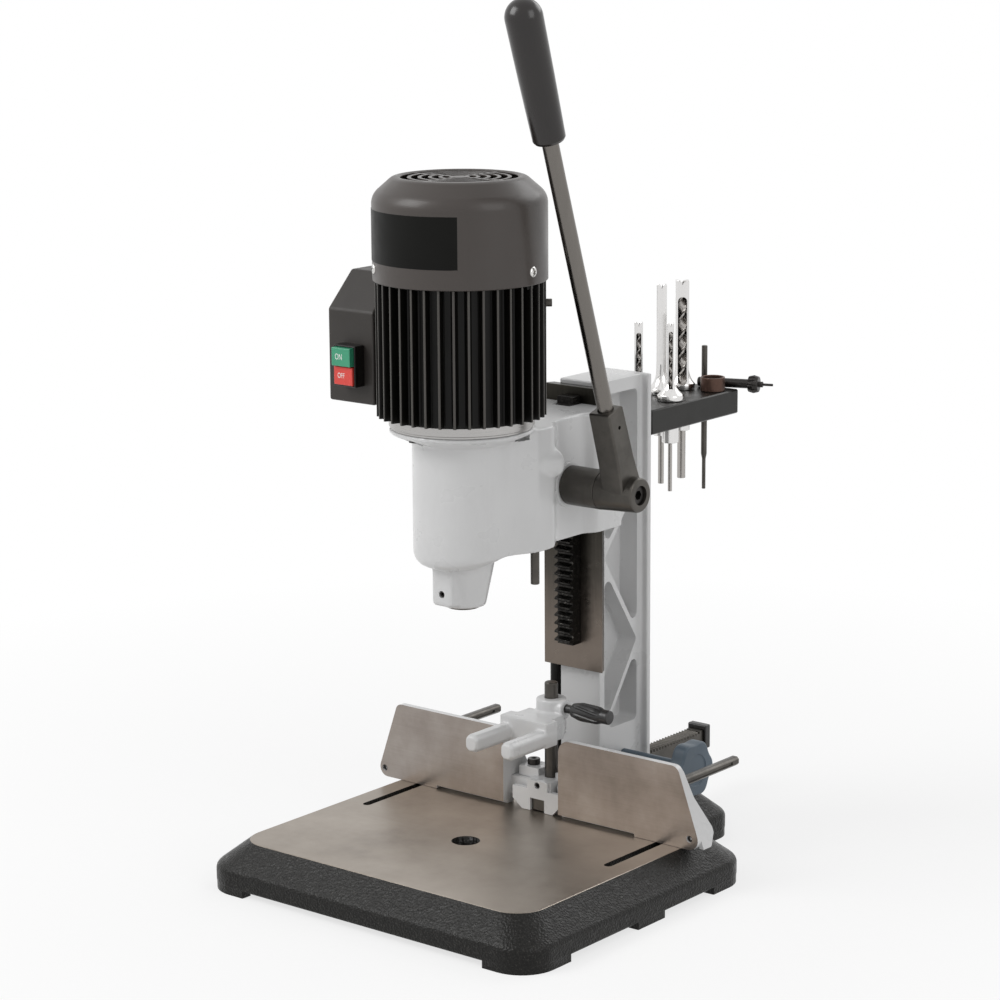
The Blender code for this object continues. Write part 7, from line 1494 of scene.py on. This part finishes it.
def dress_auger(name, radius, x, y, top, shank_radius, turns):
    """A twisted bit on its round shank."""
    low, twist = mm(274.8), HOLDER_TOP + mm(5)
    web = radius * 0.42
    count = 72
    blade = [(radius * 0.91, web * 0.5), (radius * 0.6, web * 0.8), (web, web * 0.95), (0, web),
        (-web, web * 0.9),
             (-radius * 0.6, web * 0.6), (-radius * 0.91, web * 0.5)]
    outline = blade + [(-px, -py) for px, py in blade]
    turn_by = [math.atan2(py, px) for px, py in outline]
    sections = []
    for height in (low, twist - mm(3)):
        sections.append([(x + shank_radius * math.cos(a), y + shank_radius * math.sin(a),
            height) for a in turn_by])
    for step in range(count + 1):
        turn = math.tau * turns * step / count
        height = twist + (top - twist) * step / count
        sections.append([
            (x + px * math.cos(turn) - py * math.sin(turn), y + px * math.sin(turn) + py * math.cos(turn),
                height)
            for px, py in outline
        ])
    auger = loft(sections, "auger")
    paint(auger, "bright_rod")
    mount(auger, f"auger_{name}_twisted", "stand", "bright_steel", f"auger_{name}", angle=50)


KEY_HEADING = math.radians(20)
KEY_BAR = mm(-4, 374.5)


def dress_chuck_key():
    """The chuck key, its bar and the spare bushing."""
    heading = Vector((math.cos(KEY_HEADING), math.sin(KEY_HEADING), 0))
    crossing = Vector((*KEY_BAR, HOLDER_TOP + mm(4.8)))
    key = lathe(eased([
        mm(0, -6.5), mm(4.5, -6.5), mm(4.5, 44.5), mm(7.5, 44.5), mm(8.7, 49.5), mm(7.5, 54.5),
        mm(2.8, 54.5), mm(2.8, 58.5), mm(1.25, 58.5), mm(1.25, 68.5), mm(0, 68.5),
    ], mm(0, 1.5, 0.3, 0.6, 0.8, 0.6, 0.2, 0.4, 0.2, 0.5, 0), 3, closed=False), crossing, heading, ROUND,
    name="key")
    across = heading.cross(Vector((0, 0, 1)))
    spaces = []
    for tooth in range(12):
        out = Matrix.Rotation(math.tau * tooth / 12, 4, heading) @ across
        start = crossing + heading * mm(43) + out * mm(7.9)
        end = crossing + heading * mm(56) + out * mm(9.3)
        spaces.append(shaft(start, end, mm(1.25), steps=8))
    low, high = crossing - Vector(mm(0, 0, 9)), crossing + Vector(mm(0, 0, 9))
    carved(key, *spaces, shaft(low, high, mm(3.15)))
    paint(key, "black_oxide")
    mount(key, "chuck_key_body", "stand", "dark_steel", "chuck_key")
    bar = lathe(eased([
        mm(0, 261), mm(1.8, 261), mm(1.8, 291), mm(2.85, 296), mm(2.85, 403), mm(0, 403),
    ], mm(0, 0.5, 2, 2, 0.8, 0), 3, closed=False), (*KEY_BAR, 0), steps=SMALL)
    paint(bar, "gunmetal")
    mount(bar, "chuck_key_tommy_bar", "stand", "dark_steel", "chuck_key_bar")
    inner, outer, low, high = mm(9.6, 11.8, 362.8, 376.3)
    ring = lathe(eased([(inner, high), (outer, high), (outer, low), (inner, low)], mm(0.7), 3),
        mm(16, 360, 0), steps=FINE, ring=True)
    paint(ring, "bronze")
    mount(ring, "spare_bushing_turned", "stand", "bronze", "spare_bushing")


def dress_hidden():
    """Finishes for the CAD pieces that stay: those inside the motor and the head."""
    for node, finish in (
        ("stator", "copper"), ("motor_bearing_lower", "chrome"), ("motor_bearing_upper", "chrome"),
        ("rotor_shaft", "bright_rod"), ("cooling_fan", "nylon"), ("head_gib", "bronze"),
    ):
        item = NODES[node]
        item.data.materials.clear()
        item.data.materials.append(FINISHES[finish])


# Studio
CAMERA_PLACE = Vector((1.6592, -1.9959, 0.8797))
CAMERA_YAW = math.radians(39.0073)
CAMERA_PITCH = math.radians(12.2812)
CAMERA_ROLL = math.radians(-0.397)
CAMERA_FOCAL = 3.0143
SENSOR = 36.0


def add_camera():
    """The camera where the photograph was taken from."""
    ahead = Vector((
        -math.sin(CAMERA_YAW) * math.cos(CAMERA_PITCH), math.cos(CAMERA_YAW) * math.cos(CAMERA_PITCH),
        -math.sin(CAMERA_PITCH),
    ))
    level = Vector((math.cos(CAMERA_YAW), math.sin(CAMERA_YAW), 0))
    upright = level.cross(ahead)
    right = level * math.cos(CAMERA_ROLL) + upright * math.sin(CAMERA_ROLL)
    up = upright * math.cos(CAMERA_ROLL) - level * math.sin(CAMERA_ROLL)
    data = bpy.data.cameras.new("camera")
    data.sensor_width = SENSOR
    data.lens = CAMERA_FOCAL * SENSOR
    data.clip_end = 20
    camera = bpy.data.objects.new("camera", data)
    bpy.context.scene.collection.objects.link(camera)
    camera.matrix_world = Matrix.Translation(CAMERA_PLACE + ORIGIN) @ Matrix((right, up,
        -ahead)).transposed().to_4x4()
    bpy.context.scene.camera = camera


def add_lamp(name, place, size, power, target=(0, 0, 0.35)):
    """A soft rectangular lamp that looks at the machine."""
    data = bpy.data.lights.new(name, "AREA")
    data.shape = "RECTANGLE"
    data.size, data.size_y = size
    data.energy = power
    lamp = bpy.data.objects.new(name, data)
    bpy.context.scene.collection.objects.link(lamp)
    direction = Vector(target) - Vector(place)
    lamp.matrix_world = Matrix.Translation(place) @ direction.to_track_quat("-Z", "Y").to_matrix().to_4x4()


def white_for_camera(tree, plain, share=None):
    """Shows a share of white to the camera and in reflections, and the plain shader to everything else."""
    path = tree.nodes.new("ShaderNodeLightPath")
    seen = tree.nodes.new("ShaderNodeMath")
    seen.operation = "ADD"
    tree.links.new(path.outputs["Is Camera Ray"], seen.inputs[0])
    tree.links.new(path.outputs["Is Glossy Ray"], seen.inputs[1])
    both = tree.nodes.new("ShaderNodeMath")
    both.operation = "ADD"
    both.use_clamp = True
    tree.links.new(seen.outputs[0], both.inputs[0])
    tree.links.new(path.outputs["Is Transmission Ray"], both.inputs[1])
    part = tree.nodes.new("ShaderNodeMath")
    part.operation = "MULTIPLY"
    part.inputs[1].default_value = 1.0
    if share:
        tree.links.new(share, part.inputs[1])
    tree.links.new(both.outputs[0], part.inputs[0])
    mix = tree.nodes.new("ShaderNodeMixShader")
    tree.links.new(part.outputs[0], mix.inputs[0])
    tree.links.new(plain, mix.inputs[1])
    return mix


def add_world():
    """A plain grey sky that the camera and reflections see as white."""
    world = bpy.data.worlds.new("studio")
    bpy.context.scene.world = world
    world.use_nodes = True
    tree = world.node_tree
    dim = tree.nodes["Background"]
    dim.inputs["Color"].default_value = (1, 1, 1, 1)
    dim.inputs["Strength"].default_value = 0.42
    bright = tree.nodes.new("ShaderNodeBackground")
    bright.inputs["Color"].default_value = (1, 1, 1, 1)
    bright.inputs["Strength"].default_value = 1.0
    mix = white_for_camera(tree, dim.outputs["Background"])
    tree.links.new(bright.outputs["Background"], mix.inputs[2])
    tree.links.new(mix.outputs["Shader"], tree.nodes["World Output"].inputs["Surface"])


def add_floor():
    """A plain pale floor that keeps the machine's shadow."""
    mesh = bpy.data.meshes.new("floor")
    reach = 9.0
    mesh.from_pydata([(-reach, -reach, 0), (reach, -reach, 0), (reach, reach, 0), (-reach, reach, 0)], [],
        [(0, 1, 2, 3)])
    floor = bpy.data.objects.new("floor", mesh)
    bpy.context.scene.collection.objects.link(floor)
    material = bpy.data.materials.new("floor")
    material.use_nodes = True
    tree = material.node_tree
    plain = tree.nodes["Principled BSDF"]
    plain.inputs["Base Color"].default_value = (0.93, 0.93, 0.93, 1)
    plain.inputs["Roughness"].default_value = 0.85
    glow = tree.nodes.new("ShaderNodeEmission")
    glow.inputs["Color"].default_value = (1, 1, 1, 1)
    glow.inputs["Strength"].default_value = 1.0
    away = tree.nodes.new("ShaderNodeVectorMath")
    away.operation = "LENGTH"
    tree.links.new(tree.nodes.new("ShaderNodeTexCoord").outputs["Object"], away.inputs[0])
    share = tree.nodes.new("ShaderNodeMapRange")
    for socket, value in zip(("From Min", "From Max", "To Min", "To Max"), (0.35, 1.1, 0.72, 1.0)):
        share.inputs[socket].default_value = value
    tree.links.new(away.outputs["Value"], share.inputs["Value"])
    mix = white_for_camera(tree, plain.outputs["BSDF"], share.outputs["Result"])
    tree.links.new(glow.outputs["Emission"], mix.inputs[2])
    tree.links.new(mix.outputs["Shader"], tree.nodes["Material Output"].inputs["Surface"])
    mesh.materials.append(material)


def add_studio():
    """Camera, lamps, sky and floor."""
    add_camera()
    add_world()
    add_floor()
    add_lamp("key", (-1.3, -1.9, 2.1), (1.6, 1.6), 42)
    add_lamp("side", (2.3, -0.3, 1.5), (1.2, 1.6), 12)
    add_lamp("back", (0.4, 2.2, 1.9), (1.8, 1.2), 14)


def dress():
    """The whole machine and its studio."""
    make_finishes()
    add_studio()
    dress_base()
    dress_column()
    dress_slide()
    dress_fan_cover()
    dress_motor_frame()
    dress_end_bell()
    dress_head()
    dress_head_parts()
    dress_chuck()
    dress_switch()
    dress_lever()
    dress_pinion()
    dress_fence()
    dress_fence_parts()
    dress_hold_down()
    for chisel in CHISELS:
        dress_chisel(*chisel)
    dress_chuck_key()
    dress_hidden()
    bpy.context.scene.view_settings.view_transform = "Standard"


dress()
